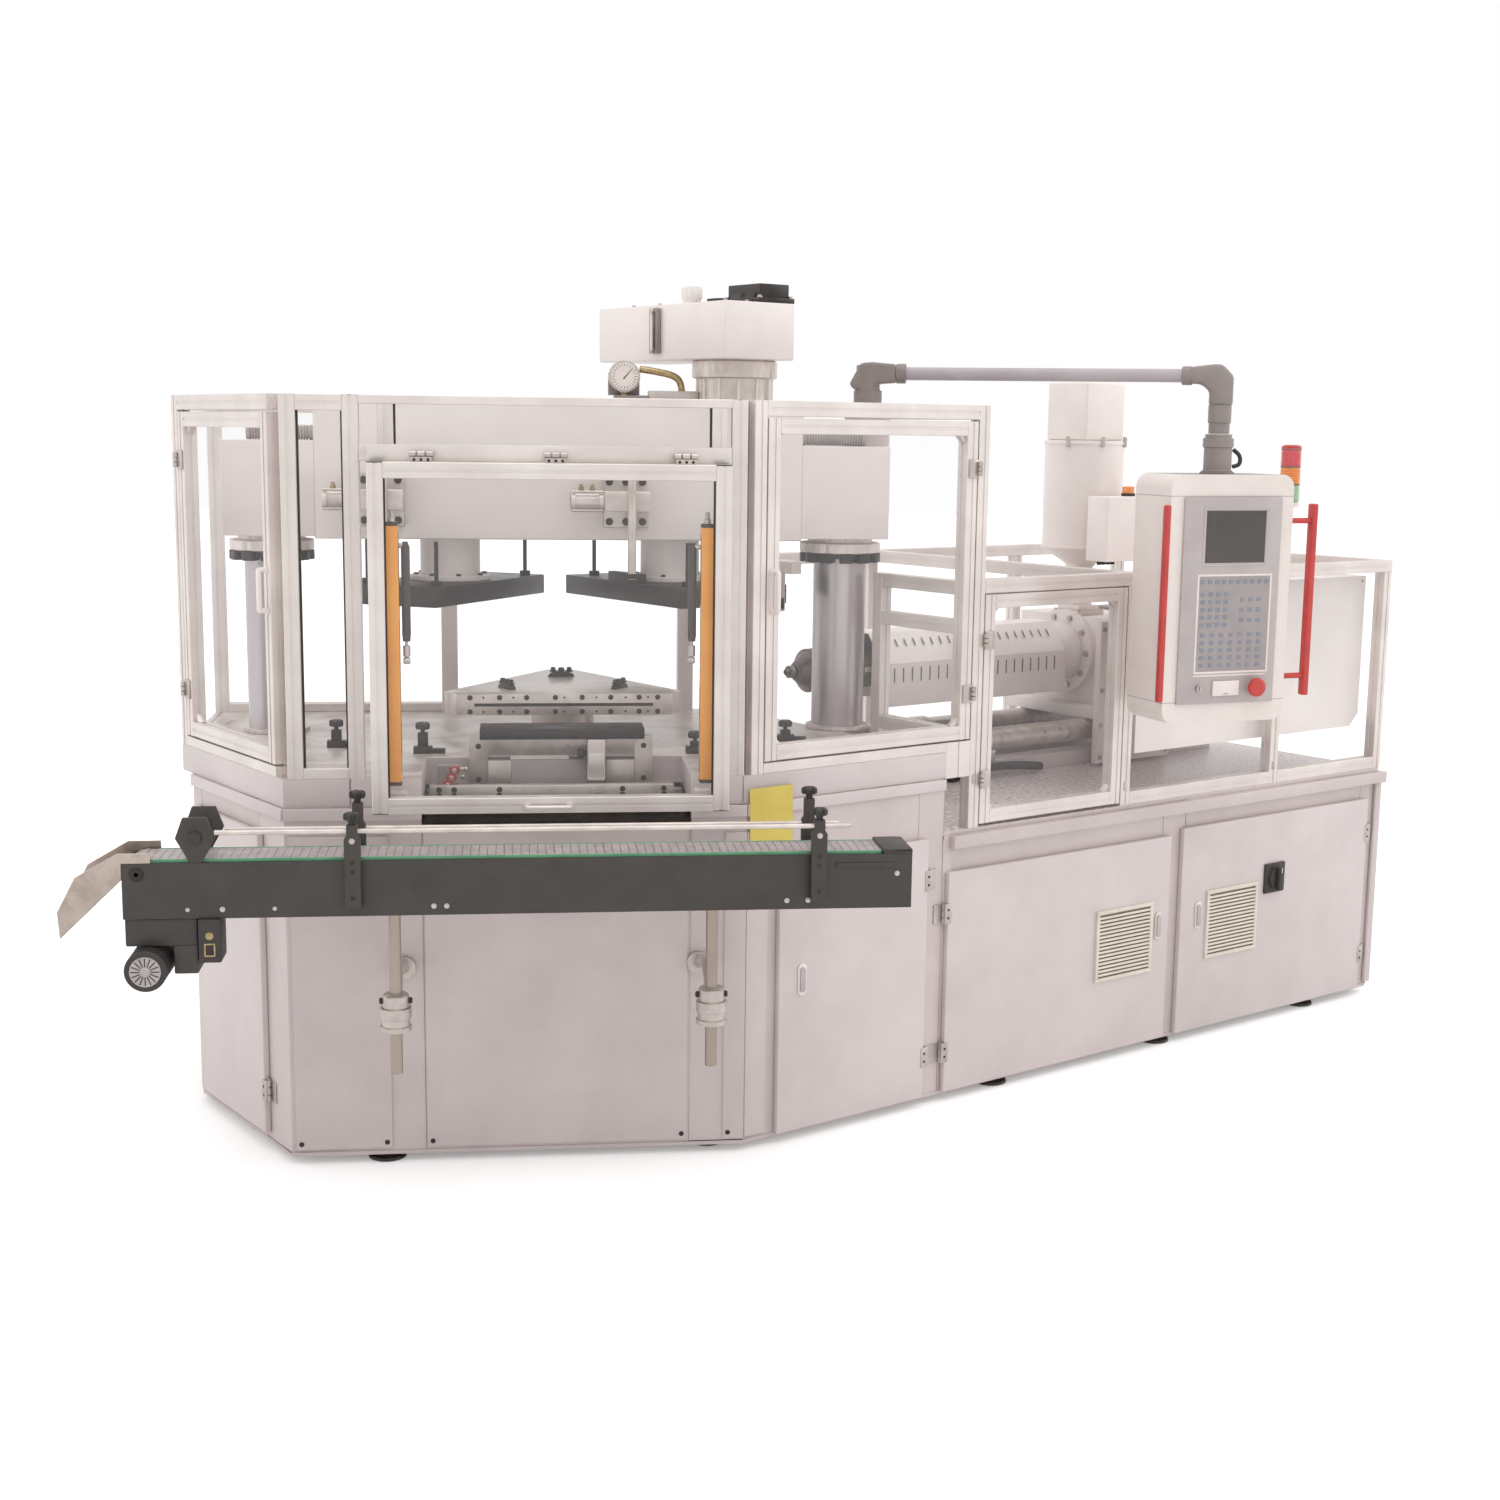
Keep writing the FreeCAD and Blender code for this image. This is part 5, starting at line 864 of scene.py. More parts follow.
def beam():
    """Cross beam with its clamp cylinders, two lock units and the conduits at its ends."""
    def paint(x, y, z, normal):
        if y < BEAM - 24.5:
            return ground_steel
        return zinc if y < BEAM - 0.5 else None

    dress("press_beam", white_paint, 2.4, pick=paint)
    dress("clamp_cylinders", ground_steel, 1.0)
    spots = [(centre + x, BEAM - 24, z, OUT) for centre in LOCK_UNITS for x in (-48, 0, 48)
             for z in (1658, 1772)]
    bolts("lock_plate_bolts", "machine", PRESS, spots, black_steel, 9, 10, 12, 1.2)
    locks = Piece("lock_cylinders", "machine", PRESS)
    for centre in LOCK_UNITS:
        start = centre - 160
        for z in (1692, 1745):
            for y in (BEAM - 94, BEAM - 44):
                locks.turned((start + 2, y, z), "x", eased(0, 91, 4, 1), zinc, 10)
        for x in (start, start + 80):
            locks.turned((x, BEAM - 69, 1718.5), "x", eased(0, 14, 30, 2), aluminium, 36)
        for x in (start + 30, start + 62):
            locks.turned((x, BEAM - 69, 1742), "z", [(0, 6), (6, 6), (7, 8), (15, 8), (16, 6),
                                                     (24, 5)], brass, 12)
        locks.turned((centre + 12, BEAM - 126, 1497), "z",
                     [(3, 10), (5, 15), (18, 15), (20, 10)], black_steel, 16)
    locks.done()
    hoses = Piece("corrugated_hoses", "machine", PRESS)
    for start, way in ((700, 1), (-700, -1)):
        outline = [(0, 21), (14, 21.5), (15, 18)]
        for i in range(HOSE_RIBS):
            along = 18 + i * HOSE_PITCH
            outline += [(along, 17.6), (along + 2, 21.8), (along + 5, 21.8), (along + 6.5, 17.6)]
        outline += [(178, 18), (179, 21.5), (190, 21)]
        hoses.turned((start, BEAM + 45, 1902.3), "x",
                     [(way * a, r) for a, r in outline], conduit, 28)
    hoses.done("beam_hoses", slot="hose")


FLANGE_X, FLANGE_Y = 510, 150
DIAL_X, DIAL_HEIGHT = 185, 2074


def tank():
    """Prefill tank with its fittings, the flange that carries it and the pressure gauge."""
    def paint(x, y, z, normal):
        if x < 353:
            return grey_paint
        return black_steel if z > 2284.5 and y < -100 else None

    dress("prefill_tank", white_paint, 3.0, INJECTION, pick=paint)
    parts = Piece("tank_fittings", "machine", INJECTION)
    # Level gauge on its channel: glass tube between two banjo bolts.
    parts.bar(335, 338.5, 29, 53, 2156, 2262, dark_glass, 1.5)
    parts.turned((333.5, 41, 2209), "z", eased(-50, 50, 4.5, 1.5), dial_white, 16)
    for z in (2154, 2264):
        parts.turned((0, 41, z), "x", [(330, 6), (332, 9), (338, 9), (339, 6)], zinc, 12)
    # Breather cap, knurled.
    parts.turned((414, -50, 0), "z", [(2284, 27), (2298, 27), (2300, 30), (2303, 31), (2326, 31),
                                      (2332, 28), (2334.5, 20)], white_paint, 48,
                 lambda i: 0.94 if i % 4 == 0 else 1)
    # Filler valve: cast body on a flange that flares to its feet.
    parts.prism([(470, 2284), (482, 2302), (500, 2337.5), (590, 2337.5), (604, 2312),
                 (618, 2284)], -262, -143, "y", black_steel, 4)
    parts.bar(478, 607, -292, -113, 2284, 2299, black_steel, 3)
    parts.turned((542, -202, 0), "z", [(2298, 62), (2312, 62), (2316, 52), (2336, 50),
                                       (2337.6, 46)], black_steel, 6)
    parts.pipe([(470, -150, 2292), (444, -140, 2292), (430, -110, 2290)], 9, black_steel)
    parts.done()
    spots = [(x, y, 2299, UP) for x in (487, 598) for y in (-283, -122)]
    spots += [(x, y, 2284, UP) for x in (376, 452) for y in (-270, -120, 60, 200)]
    bolts("tank_lid_bolts", "machine", INJECTION, spots, zinc, 6, 6)
    stand = Piece("tank_flange", "machine", PRESS)
    stand.turned((FLANGE_X, FLANGE_Y, 0), "z",
                 [(1995, 113), (2003, 113), (2004, 108.5), (2071, 108.5), (2072, 119), (2075, 125),
                  (2119, 125), (2123.5, 121)], ground_steel, 72)
    for angle in range(0, 360, 30):
        a = math.radians(angle)
        stand.turned((FLANGE_X + 109 * math.cos(a), FLANGE_Y + 109 * math.sin(a), 0), "z",
                     [(2004, 5), (2072, 5)], aluminium, 10)
    stand.bar(155, 255, 120, 180, 1995, 2020, grey_paint, 2)
    stand.bar(139, 231, 160, 168, 2020, 2085, grey_paint, 2)
    stand.pipe([(230, 150, 2096), (262, 150, 2092), (330, 150, 2080), (352, 150, 2060),
                (356, 150, 2010)], 10, brass, 14)
    stand.bar(255, 402, 130, 170, 1995, 2034, zinc, 3)
    stand.turned((DIAL_X, 140, 0), "z", [(2018, 9), (2024, 9), (2026, 12), (2030, 12)], brass, 6)
    dial = (DIAL_X, 0, DIAL_HEIGHT)
    stand.turned(dial, "y", [(119.5, 40), (121, 45.5), (124, 46), (156, 46),
                                       (160, 42)], zinc, 48)
    stand.turned(dial, "y", [(119.2, 34), (119.6, 40.5), (121, 40.5)], dial_white, 48)
    stand.prism([(180, 2067), (183, 2065), (207, 2095), (206, 2096)], 118.6, 119.4, "y",
                black_plastic, 0)
    stand.done("tank_stand", slot="steel")

    def tick(shape):
        shape.bar(29, 36, -0.7, 0.7, -0.3, 0.3, black_plastic, 0)

    rings("dial_ticks", "machine", PRESS, tick, (DIAL_X, 119.1, DIAL_HEIGHT), ALONG_Y, 24,
          black_plastic)


PLATEN_HALF, PLATEN_LOW, PLATEN_HIGH = 308, 1422, 1479
RAM_PLACE, FLANGE_BOLTS = 375, 8


def platens():
    """The injection and blow platens, each with its ram, flange and guide studs."""
    for node, place, start, outer, rear in (("injection_platen", INJECTION, 205, 581, 318),
                                            ("blow_platen", BLOW, 231, 531, PLATEN_HALF)):
        piece = Piece(node + "_shape", node, place)
        piece.bar(start, outer, -PLATEN_HALF, rear, PLATEN_LOW, PLATEN_HIGH, black_steel, 3)
        piece.turned((RAM_PLACE, 0, 0), "z",
                     [(PLATEN_HIGH, 110), (1480, 118), (1492, 118), (1494, 112), (1495, 87.5),
                      (1790, 87.5)], white_paint, 64)
        for along in (266, outer - 35):
            for across in (-250, 250):
                piece.turned((along, across, 0), "z",
                             [(PLATEN_HIGH, 6), (1602, 6), (1604, 4)], black_steel, 14)
                piece.turned((along, across, 0), "z", eased(PLATEN_HIGH, 1493, 18, 2),
                             black_steel, 6)
        if node == "injection_platen":
            # Stop block on the side of the table axis.
            piece.bar(205, 231, -92, 76, 1470, 1506, black_steel, 2)
        piece.done(node, slot="black_steel")
        spots = [(RAM_PLACE + 102 * math.cos(a * math.pi / 4), 102 * math.sin(a * math.pi / 4),
                  1493, UP) for a in range(FLANGE_BOLTS)]
        bolts(node + "_flange_bolts", node, place, spots, black_steel, 7, 7)
        # The tapped holes in the platen's front are black discs: the shade inside them is painted.
        holes = [(x, -PLATEN_HALF, 1450, OUT) for x in range(250, outer - 20, 40)]
        bolts(node + "_tapped_holes", node, place, holes, black_plastic, 4, 0.4, 16, 1.0)


TABLE_HALF, TABLE_FACE, TABLE_LOW, TABLE_HIGH = 300, 214, 1128.3, 1188
THIRDS = [math.radians(120 * turn) for turn in range(3)]


def index_table():
    """Three-sided table with its counterbores, dowels and a toggle at each side's middle."""
    table = Piece("table_plate", "index_table", PRESS)
    corners = []
    for angle in THIRDS:
        for x in (-TABLE_HALF, TABLE_HALF):
            corners.append((x * math.cos(angle) + TABLE_FACE * math.sin(angle),
                            x * math.sin(angle) - TABLE_FACE * math.cos(angle)))
    table.prism(corners, TABLE_LOW, TABLE_HIGH, "z", ground_steel, 1.6)
    table.done("index_table")
    dress("table_shaft", ground_steel, 1.0)
    dress("index_drive", black_steel, 2.0)
    bores, pins, studs = [], [], []
    face = TABLE_FACE + 0.2
    for angle in THIRDS:
        cos, sin = math.cos(angle), math.sin(angle)
        out = (sin, -cos, 0)
        for places, spots in (((-262, -180, -105, -25, 50, 130, 210, 262), bores),
                              ((-225, -142, 0, 90, 172, 235), pins)):
            spots.extend((x * cos + face * sin, x * sin - face * cos, z, out)
                         for x in places for z in (1138, 1178))
        studs += [(x * cos - 185 * sin, x * sin + 185 * cos, 1204, UP) for x in (-24, 24)]
    # The counterbores and dowel holes are black discs half a millimetre proud of the faces: the
    # shade inside them is painted.
    bolts("table_counterbores", "index_table", PRESS, bores, black_steel, 7.5, 0.5, 20, 1.0)
    bolts("table_dowels", "index_table", PRESS, pins, black_steel, 3, 0.5, 14, 1.0)
    bolts("toggle_studs", "index_table", PRESS, studs, black_steel, 7, 12, 6, 1.5)
    clamps = Piece("table_toggles", "index_table", PRESS)
    for angle in THIRDS:
        clamps.place = PRESS @ Matrix.Rotation(angle, 4, "Z")
        clamps.prism([(-40, TABLE_HIGH), (40, TABLE_HIGH), (34, 1197), (14, 1204), (-14, 1204),
                      (-34, 1197)], 177, 193, "y", black_steel, 1.5)
        clamps.turned((0, 185, 0), "z", [(1203, 9), (1213, 9), (1215, 6)], black_plastic, 16)
        # A black strip along each side's face stands for its T-slot: the shade inside the slot is
        # painted.
        clamps.bar(-250, 250, -214.3, -212, 1153, 1162, black_steel, 0)
    clamps.done()


def stripper():
    """Stripping station: frame, plate, linear unit with its three red valves, and grip."""
    def paint(x, y, z, normal):
        return black_steel if z < 946 and y < -400 else None

    dress("stripper_frame", ground_steel, 1.6, pick=paint)
    dress("stripper_plate", black_steel, 1.6)
    spots = [(x, -372, z, OUT) for x in (-237, 213) for z in (975, 1066)]
    spots += [(x, -470, z, OUT) for x in (-340, -300, -180, 150, 262) for z in (948, 964)]
    bolts("stripper_bolts", "machine", PRESS, spots, black_steel, 6, 4, 12, 1.3)
    unit = Piece("linear_unit", "machine", PRESS)
    unit.bar(-148, 57, -382, -371, 946, 1030, bezel_grey, 3)
    for start, end in ((-211, -148.2), (108, 187)):
        unit.bar(start, end, -380, -366, 955, 1028, ground_steel, 1.2)
        for x in (start + 14, end - 14):
            unit.turned((x, -373, 0), "z", eased(944, 955, 9.5, 1.5), black_steel, 6)
    for x in (-136, 44):
        unit.turned((x, 0, 958), "y", [(-384, 4), (-383, 6), (-381, 6)], black_steel, 12)
    for z, x in ((1013, -300), (993, -308), (974, -318)):
        unit.bar(x - 14, x + 14, -440, -412, z - 9, z + 9, red_plastic, 3)
        unit.turned((x, 0, z), "y", [(-452, 4), (-450, 6), (-440, 6), (-438, 5)], zinc, 12)
        unit.turned((0, -426, z), "x", [(x + 12, 5), (x + 26, 5), (x + 28, 7), (x + 34, 7)],
                    zinc, 12)
    unit.bar(-345, -285, -438, -404, 950, 1024, grey_paint, 3)
    unit.done()
    shuttle = Piece("stripper_grip", "stripper", PRESS)
    shuttle.bar(57, 105, -436, -404, 980, 1092, cream, 4, 3)
    shuttle.bar(60, 102, -439, -434, 990, 1054, aluminium, 2)
    shuttle.turned((52, -412, 1052), "x", [(-22, 10), (-20, 13), (-6, 13), (-4, 8), (6, 8)],
                   black_plastic, 18)
    shuttle.done()


def deck_clamps():
    """Star-knob clamps that wait on the deck, with the plates they hold."""
    piece = Piece("deck_clamps", "machine", PRESS)
    star_tall = 28
    for x, y, tall in ((-636, -143, 78), (-391, -257, 86), (644, -85, 62), (362, -289, 62)):
        neck = DECK + tall - star_tall
        piece.bar(x - 26, x + 26, y - 16, y + 16, DECK, DECK + 20, black_steel, 2)
        piece.bar(x - 14, x + 14, y - 13, y + 13, DECK + 20, neck, black_steel, 2)
        piece.turned((x, y, neck), "z", [(0, 6), (8, 6), (9, 17), (12, 20), (24, 20),
                                         (star_tall, 15)], black_plastic, 30,
                     lambda i: 0.78 if i % 6 in (0, 1) else 1)
        piece.prism([(x + 18, y - 10), (x + 58, y - 18), (x + 62, y + 4), (x + 18, y + 12)],
                    DECK, DECK + 14, "z", black_steel, 1.5)
    piece.done()


# Guard of slotted aluminium profile.

def gasket(piece, x0, x1, z0, z1, y0, y1, wide):
    """Rubber between the upright profiles and a pane."""
    for x in (x0, x1 - wide):
        piece.bar(x, x + wide, y0, y1, z0, z1, black_plastic, 0.6, 1)


# Levels of the guard: sill over the deck, underside of the top rail, lintel over the gate,
# and the rail round the injection unit.
SILL, HEAD, LINTEL_LOW, LINTEL_HIGH, TOP_PLATE = 1057, GUARD_TOP - PROFILE, 1837, 1879, 1978
SCREEN_LOW, SCREEN_HIGH = 1475, 1475 + PROFILE
# Bay of the gate: its sides and the front of its posts.
BAY_LEFT, BAY_RIGHT, BAY_FRONT = -494, 406, -742.7
# Posts of the injection guard along the cabinet, and its rear rail.
PARTITION, SCREEN_POSTS, SCREEN_END, SCREEN_BACK = 868, (1502, 2206, 2760), 2800, 410


def guard_frame():
    """Fixed posts and rails: round the press, at its left side, and round the injection unit."""
    piece = Piece("guard_profiles", "machine", PRESS)
    deep = (FRONT, FRONT + PROFILE)
    rear = (560, 600)
    bars = [(x, x + PROFILE, *deep, DECK, GUARD_TOP) for x in (-714, -560, 418)]
    bars += [(-674, -560, *deep, DECK, SILL), (-674, -560, *deep, HEAD, GUARD_TOP),
             (-520, 418, *deep, TOP_PLATE, GUARD_TOP), (-520, 418, *deep, LINTEL_LOW, LINTEL_HIGH)]
    bars += [(x, x + PROFILE, *deep, LINTEL_HIGH, TOP_PLATE) for x in (-474, 367)]
    bars += [(x, x + PROFILE, BAY_FRONT, BAY_FRONT + PROFILE, 960, LINTEL_LOW)
             for x in (BAY_LEFT, BAY_RIGHT - PROFILE)]
    bars += [(x, x + PROFILE, -720, FRONT, 960, 1000) for x in (-454, 326)]
    bars += [(x, x + 50, 550, 600, DECK, HEAD) for x in (-368, 379)]
    bars += [(x, x + PROFILE, *rear, DECK, HEAD) for x in (-1072, 507.3)]
    bars += [(-1072, 547.3, *rear, HEAD, GUARD_TOP), (-1072, -1032, -22.4, 560, HEAD, GUARD_TOP)]
    bars += [(x0, x1, *rear, DECK, SILL) for x0, x1 in ((-1032, -368), (-318, 379))]
    for bar in bars:
        piece.extrusion(*bar)
    piece.bar(BAY_LEFT, BAY_RIGHT, BAY_FRONT, FRONT, LINTEL_LOW + 2, LINTEL_HIGH, aluminium, 1.5)
    for x in (-540, 438):
        piece.bar(x - 19, x + 19, FRONT + 1, FRONT + 39, GUARD_TOP - 1, GUARD_TOP - 0.1,
                  black_plastic, 0.4, 1)
    gasket(piece, -674, -560, SILL, HEAD, -645, -635, 5)
    for x in (-434, 362):
        piece.bar(x, x + 5, -645, -635, LINTEL_HIGH, TOP_PLATE, black_plastic, 0.6, 1)
    piece.place = LEFT
    for x0, x1, low, high in ((-690, -650, DECK, GUARD_TOP), (-650, -40, DECK, SILL),
                              (-650, -40, HEAD, GUARD_TOP)):
        piece.extrusion(x0, x1, 0, PROFILE, low, high)
    piece.place = INJECTION
    deep = (FACE, FACE + PROFILE)
    rear = (SCREEN_BACK, SCREEN_BACK + PROFILE)
    inner = FACE + PROFILE
    across = (PARTITION, PARTITION + PROFILE)
    rail = (SCREEN_LOW, SCREEN_HIGH)
    bars = [(87, 127, *deep, DECK, GUARD_TOP), (*across, *deep, CABINET, GUARD_TOP),
            (127, PARTITION, *deep, HEAD, GUARD_TOP), (127, 774, *deep, DECK, SILL),
            (774, PARTITION, *deep, 954, SILL), (*across, inner, -384.3, HEAD, GUARD_TOP),
            (734, 774, -30.8, 199.8, HEAD, GUARD_TOP), (*across, -400, -360, CABINET, 1507)]
    bars += [(*across, inner, -400, low, low + PROFILE) for low in (1467, 1355, 1040)]
    bars += [(908, SCREEN_END, *deep, *rail), (PARTITION, SCREEN_END, *rear, *rail)]
    bars += [(x0, x1, *deep, CABINET, CABINET + PROFILE)
             for x0, x1 in ((1542, 2206), (2246, 2760))]
    bars += [(*across, 40, SCREEN_BACK, *rail)]
    bars += [(x, x + PROFILE, *deep, CABINET, SCREEN_LOW) for x in SCREEN_POSTS]
    bars += [(x, x + PROFILE, *rear, CABINET, SCREEN_LOW) for x in (PARTITION, *SCREEN_POSTS)]
    bars += [(x, x + PROFILE, inner, SCREEN_BACK, *rail) for x in (2760, 1502)]
    for bar in bars:
        piece.extrusion(*bar)
    # Moulded brackets where rails meet posts.
    for x, z in ((1514, 846), (2218, 846), (1514, 1440), (2218, 1440), (878, 930)):
        piece.bar(x, x + 14, FACE - 2, FACE, z, z + 26, zinc, 1.2)
    piece.done("guard_frame", slot="profile")


GATE_FRONT, GATE_LOW = -783, 960
GATE_HINGES, GATE_AXIS = (-361, -32, 292), 1857


def gate():
    """Lifting gate: four profiles with end caps, gasket, bow handle and three hinges."""
    piece = Piece("gate_profiles", "gate", PRESS)
    deep = (GATE_FRONT, GATE_FRONT + PROFILE)
    left, right = BAY_LEFT + PROFILE, BAY_RIGHT - PROFILE
    for x in (BAY_LEFT, right):
        piece.extrusion(x, x + PROFILE, *deep, GATE_LOW + 2, LINTEL_LOW - 2)
    for low in (GATE_LOW, LINTEL_LOW - PROFILE):
        piece.extrusion(left, right, *deep, low, low + PROFILE)
    for x in (BAY_LEFT, right):
        for z0, z1 in ((GATE_LOW, GATE_LOW + 2.5), (LINTEL_LOW - 2.5, LINTEL_LOW)):
            piece.bar(x, x + PROFILE, *deep, z0, z1, black_plastic, 0.8, 1)
    gasket(piece, left, right, GATE_LOW + PROFILE, LINTEL_LOW - PROFILE, -767, -759, 4)
    # Bow handle, drawn aluminium.
    bow, height = GATE_FRONT - 23, 978
    piece.pipe([(-108, GATE_FRONT, height), (-108, bow, height), (-104, bow, height),
                (-4, bow, height), (0, bow, height), (0, GATE_FRONT, height)], 6, aluminium, 12, 2)
    for x in (-108, 0):
        piece.turned((x, 0, height), "y", [(GATE_FRONT - 3, 10), (GATE_FRONT, 11)], aluminium, 18)
    for x in GATE_HINGES:
        piece.bar(x - 26, x + 26, -771, -755, 1836, 1850, zinc, 1.5)
        for low, high in ((-30, -12), (-10, 10), (12, 30)):
            piece.turned((x, -762, GATE_AXIS), "x", eased(low, high, 8, 2), zinc, 18)
    piece.done("gate_frame", slot="profile")
    spots = [(x + dx, -771, 1843, OUT) for x in GATE_HINGES for dx in (-17, 0, 17)]
    bolts("gate_hinge_screws", "gate", PRESS, spots, black_steel, 3.2, 1.6, 12, 1.2)


SPRINGS, SPRING_Y, SPRING_PIVOT = (-405, 312), -726.7, 1630


def gas_springs():
    """Two gas springs: black tubes at the top, chromed rods with their end eyes below."""
    tubes = Piece("spring_cylinders", "spring_tubes", PRESS)
    rods = Piece("spring_piston_rods", "spring_rods", PRESS)
    for x in SPRINGS:
        centre = (x, SPRING_Y, 0)
        tubes.turned(centre, "z", [(1391, 8), (1392, 9.6), (1402, 9.8), (1404, 10.9),
                                   (1628, 10.9), (1631, 9), (1636, 7), (1640, 7)],
                     black_paint, 28)
        rods.turned(centre, "z", [(1334, 5), (1336, 7), (1350, 7), (1352, 3.9), (1615, 3.9)],
                    chrome, 20)
        rods.turned(centre, "z", eased(1352, 1381, 9, 5), chrome, 18)
        rods.turned((x, SPRING_Y, 1342), "x", [(-9, 3), (-8, 7), (-5, 8), (5, 8), (8, 7), (9, 3)],
                    chrome, 20)
    tubes.done("gas_spring_tubes", slot="black_paint")
    rods.done("gas_spring_rods", slot="chrome")


CURTAIN_HALF = 16


def light_curtains():
    """Yellow light curtains beside the gate, each with the stud that carries a spring."""
    piece = Piece("curtain_housings", "machine", PRESS)
    for x, toward, stud in ((-438, 1, 16.7), (350, -1, 21.7)):
        housing = (x - CURTAIN_HALF, x + CURTAIN_HALF, -740.7, -706.7)
        lens = x + toward * CURTAIN_HALF
        piece.bar(*housing, 1034, 1680, yellow_paint, 3, 3)
        near, far = sorted((lens, lens + toward * 0.8))
        piece.bar(near, far, -732, -715, 1050, 1664, dark_glass, 0.3, 1)
        for z0, z1 in ((1025, 1035), (1679, 1689)):
            piece.bar(*housing, z0, z1, black_plastic, 3)
        piece.turned((x, -724, 0), "z", [(1688, 9), (1700, 9), (1702, 6), (1716, 6), (1718, 4)],
                     zinc, 16)
        near, far = sorted((0, toward * stud))
        piece.turned((lens, SPRING_Y, SPRING_PIVOT), "x", eased(near, far, 6, 0.6), zinc, 16)
        back = x - toward * CURTAIN_HALF
        for z in (1120, 1580):
            piece.bar(back - 3, back + 3, -736, -711, z, z + 30, zinc, 1)
    piece.done("light_curtains", slot="yellow")


def framed_door(name, node, body, place, x0, x1, face, z0, z1, hinge_x, handle_x):
    """A guard door: four profile bars, corner brackets, hinges and handle."""
    piece = Piece(name, body, place)
    deep = (face, face + PROFILE)
    left, right, low, high = x0 + PROFILE, x1 - PROFILE, z0 + PROFILE, z1 - PROFILE
    for bar in ((x0, left, *deep, z0, z1), (right, x1, *deep, z0, z1),
                (left, right, *deep, z0, low), (left, right, *deep, high, z1)):
        piece.extrusion(*bar)
    for x, way in ((left, 1), (right, -1)):
        for z, rise in ((low, 1), (high, -1)):
            piece.prism([(x, z), (x + way * 22, z), (x, z + rise * 22)], face + 10, face + 30,
                        "y", aluminium, 1)
    toward = 1 if hinge_x < (x0 + x1) / 2 else -1
    for z in (z0 + 110, z1 - 150):
        for start, end in ((0, 13), (14, 26), (27, 40)):
            piece.turned((hinge_x, face - 8, z), "z", eased(start, end, 8, 1.5), zinc, 18)
        near, far = sorted((hinge_x, hinge_x + toward * 36))
        piece.bar(near, far, face - 5, face, z - 6, z + 46, zinc, 1.5)
    if handle_x is not None:
        middle, grip = (z0 + z1) / 2, face - 22
        piece.pipe([(handle_x, face, middle - 52), (handle_x, grip, middle - 52),
                    (handle_x, grip, middle - 46), (handle_x, grip, middle + 46),
                    (handle_x, grip, middle + 52), (handle_x, face, middle + 52)],
                   7, white_paint, 12, 2)
        for z in (middle - 52, middle + 52):
            piece.bar(handle_x - 9, handle_x + 9, face - 3, face, z - 8, z + 8, white_paint, 2)
    piece.done(node, slot="profile")


def guard_doors():
    """Left and right guard doors, the injection guard's door, and the right door's switch."""
    low, high = SILL + 5, HEAD - 5
    framed_door("left_guard_door_frame", "left_door_frame", "left_guard_door", LEFT,
                -646, -44, 0, low, high, -648, -64)
    framed_door("right_guard_door_frame", "right_door_frame", "right_guard_door", INJECTION,
                131, 864, FACE, low, high, 866, 151)
    framed_door("injection_door_frame", "front_injection_door", "injection_door", INJECTION,
                912, 1498, FACE, 809, 1471, 910, None)
    safety = Piece("interlock_box", "right_guard_door", INJECTION)
    safety.bar(166, 202, -792, -752, 1455, 1560, grey_paint, 4)
    safety.bar(172, 196, -795, -791, 1462, 1490, black_plastic, 1.5)
    safety.done()


# Injection unit.

HEATERS, HEATER_PITCH = 9, 126
COVER_SIDE, COVER_SLOTS, SLOT_PITCH = 125.2, 20, 38
BED_BEARINGS = (("bed_bolts", "machine", 1070), ("bearing_bolts", "carriage", 1480))


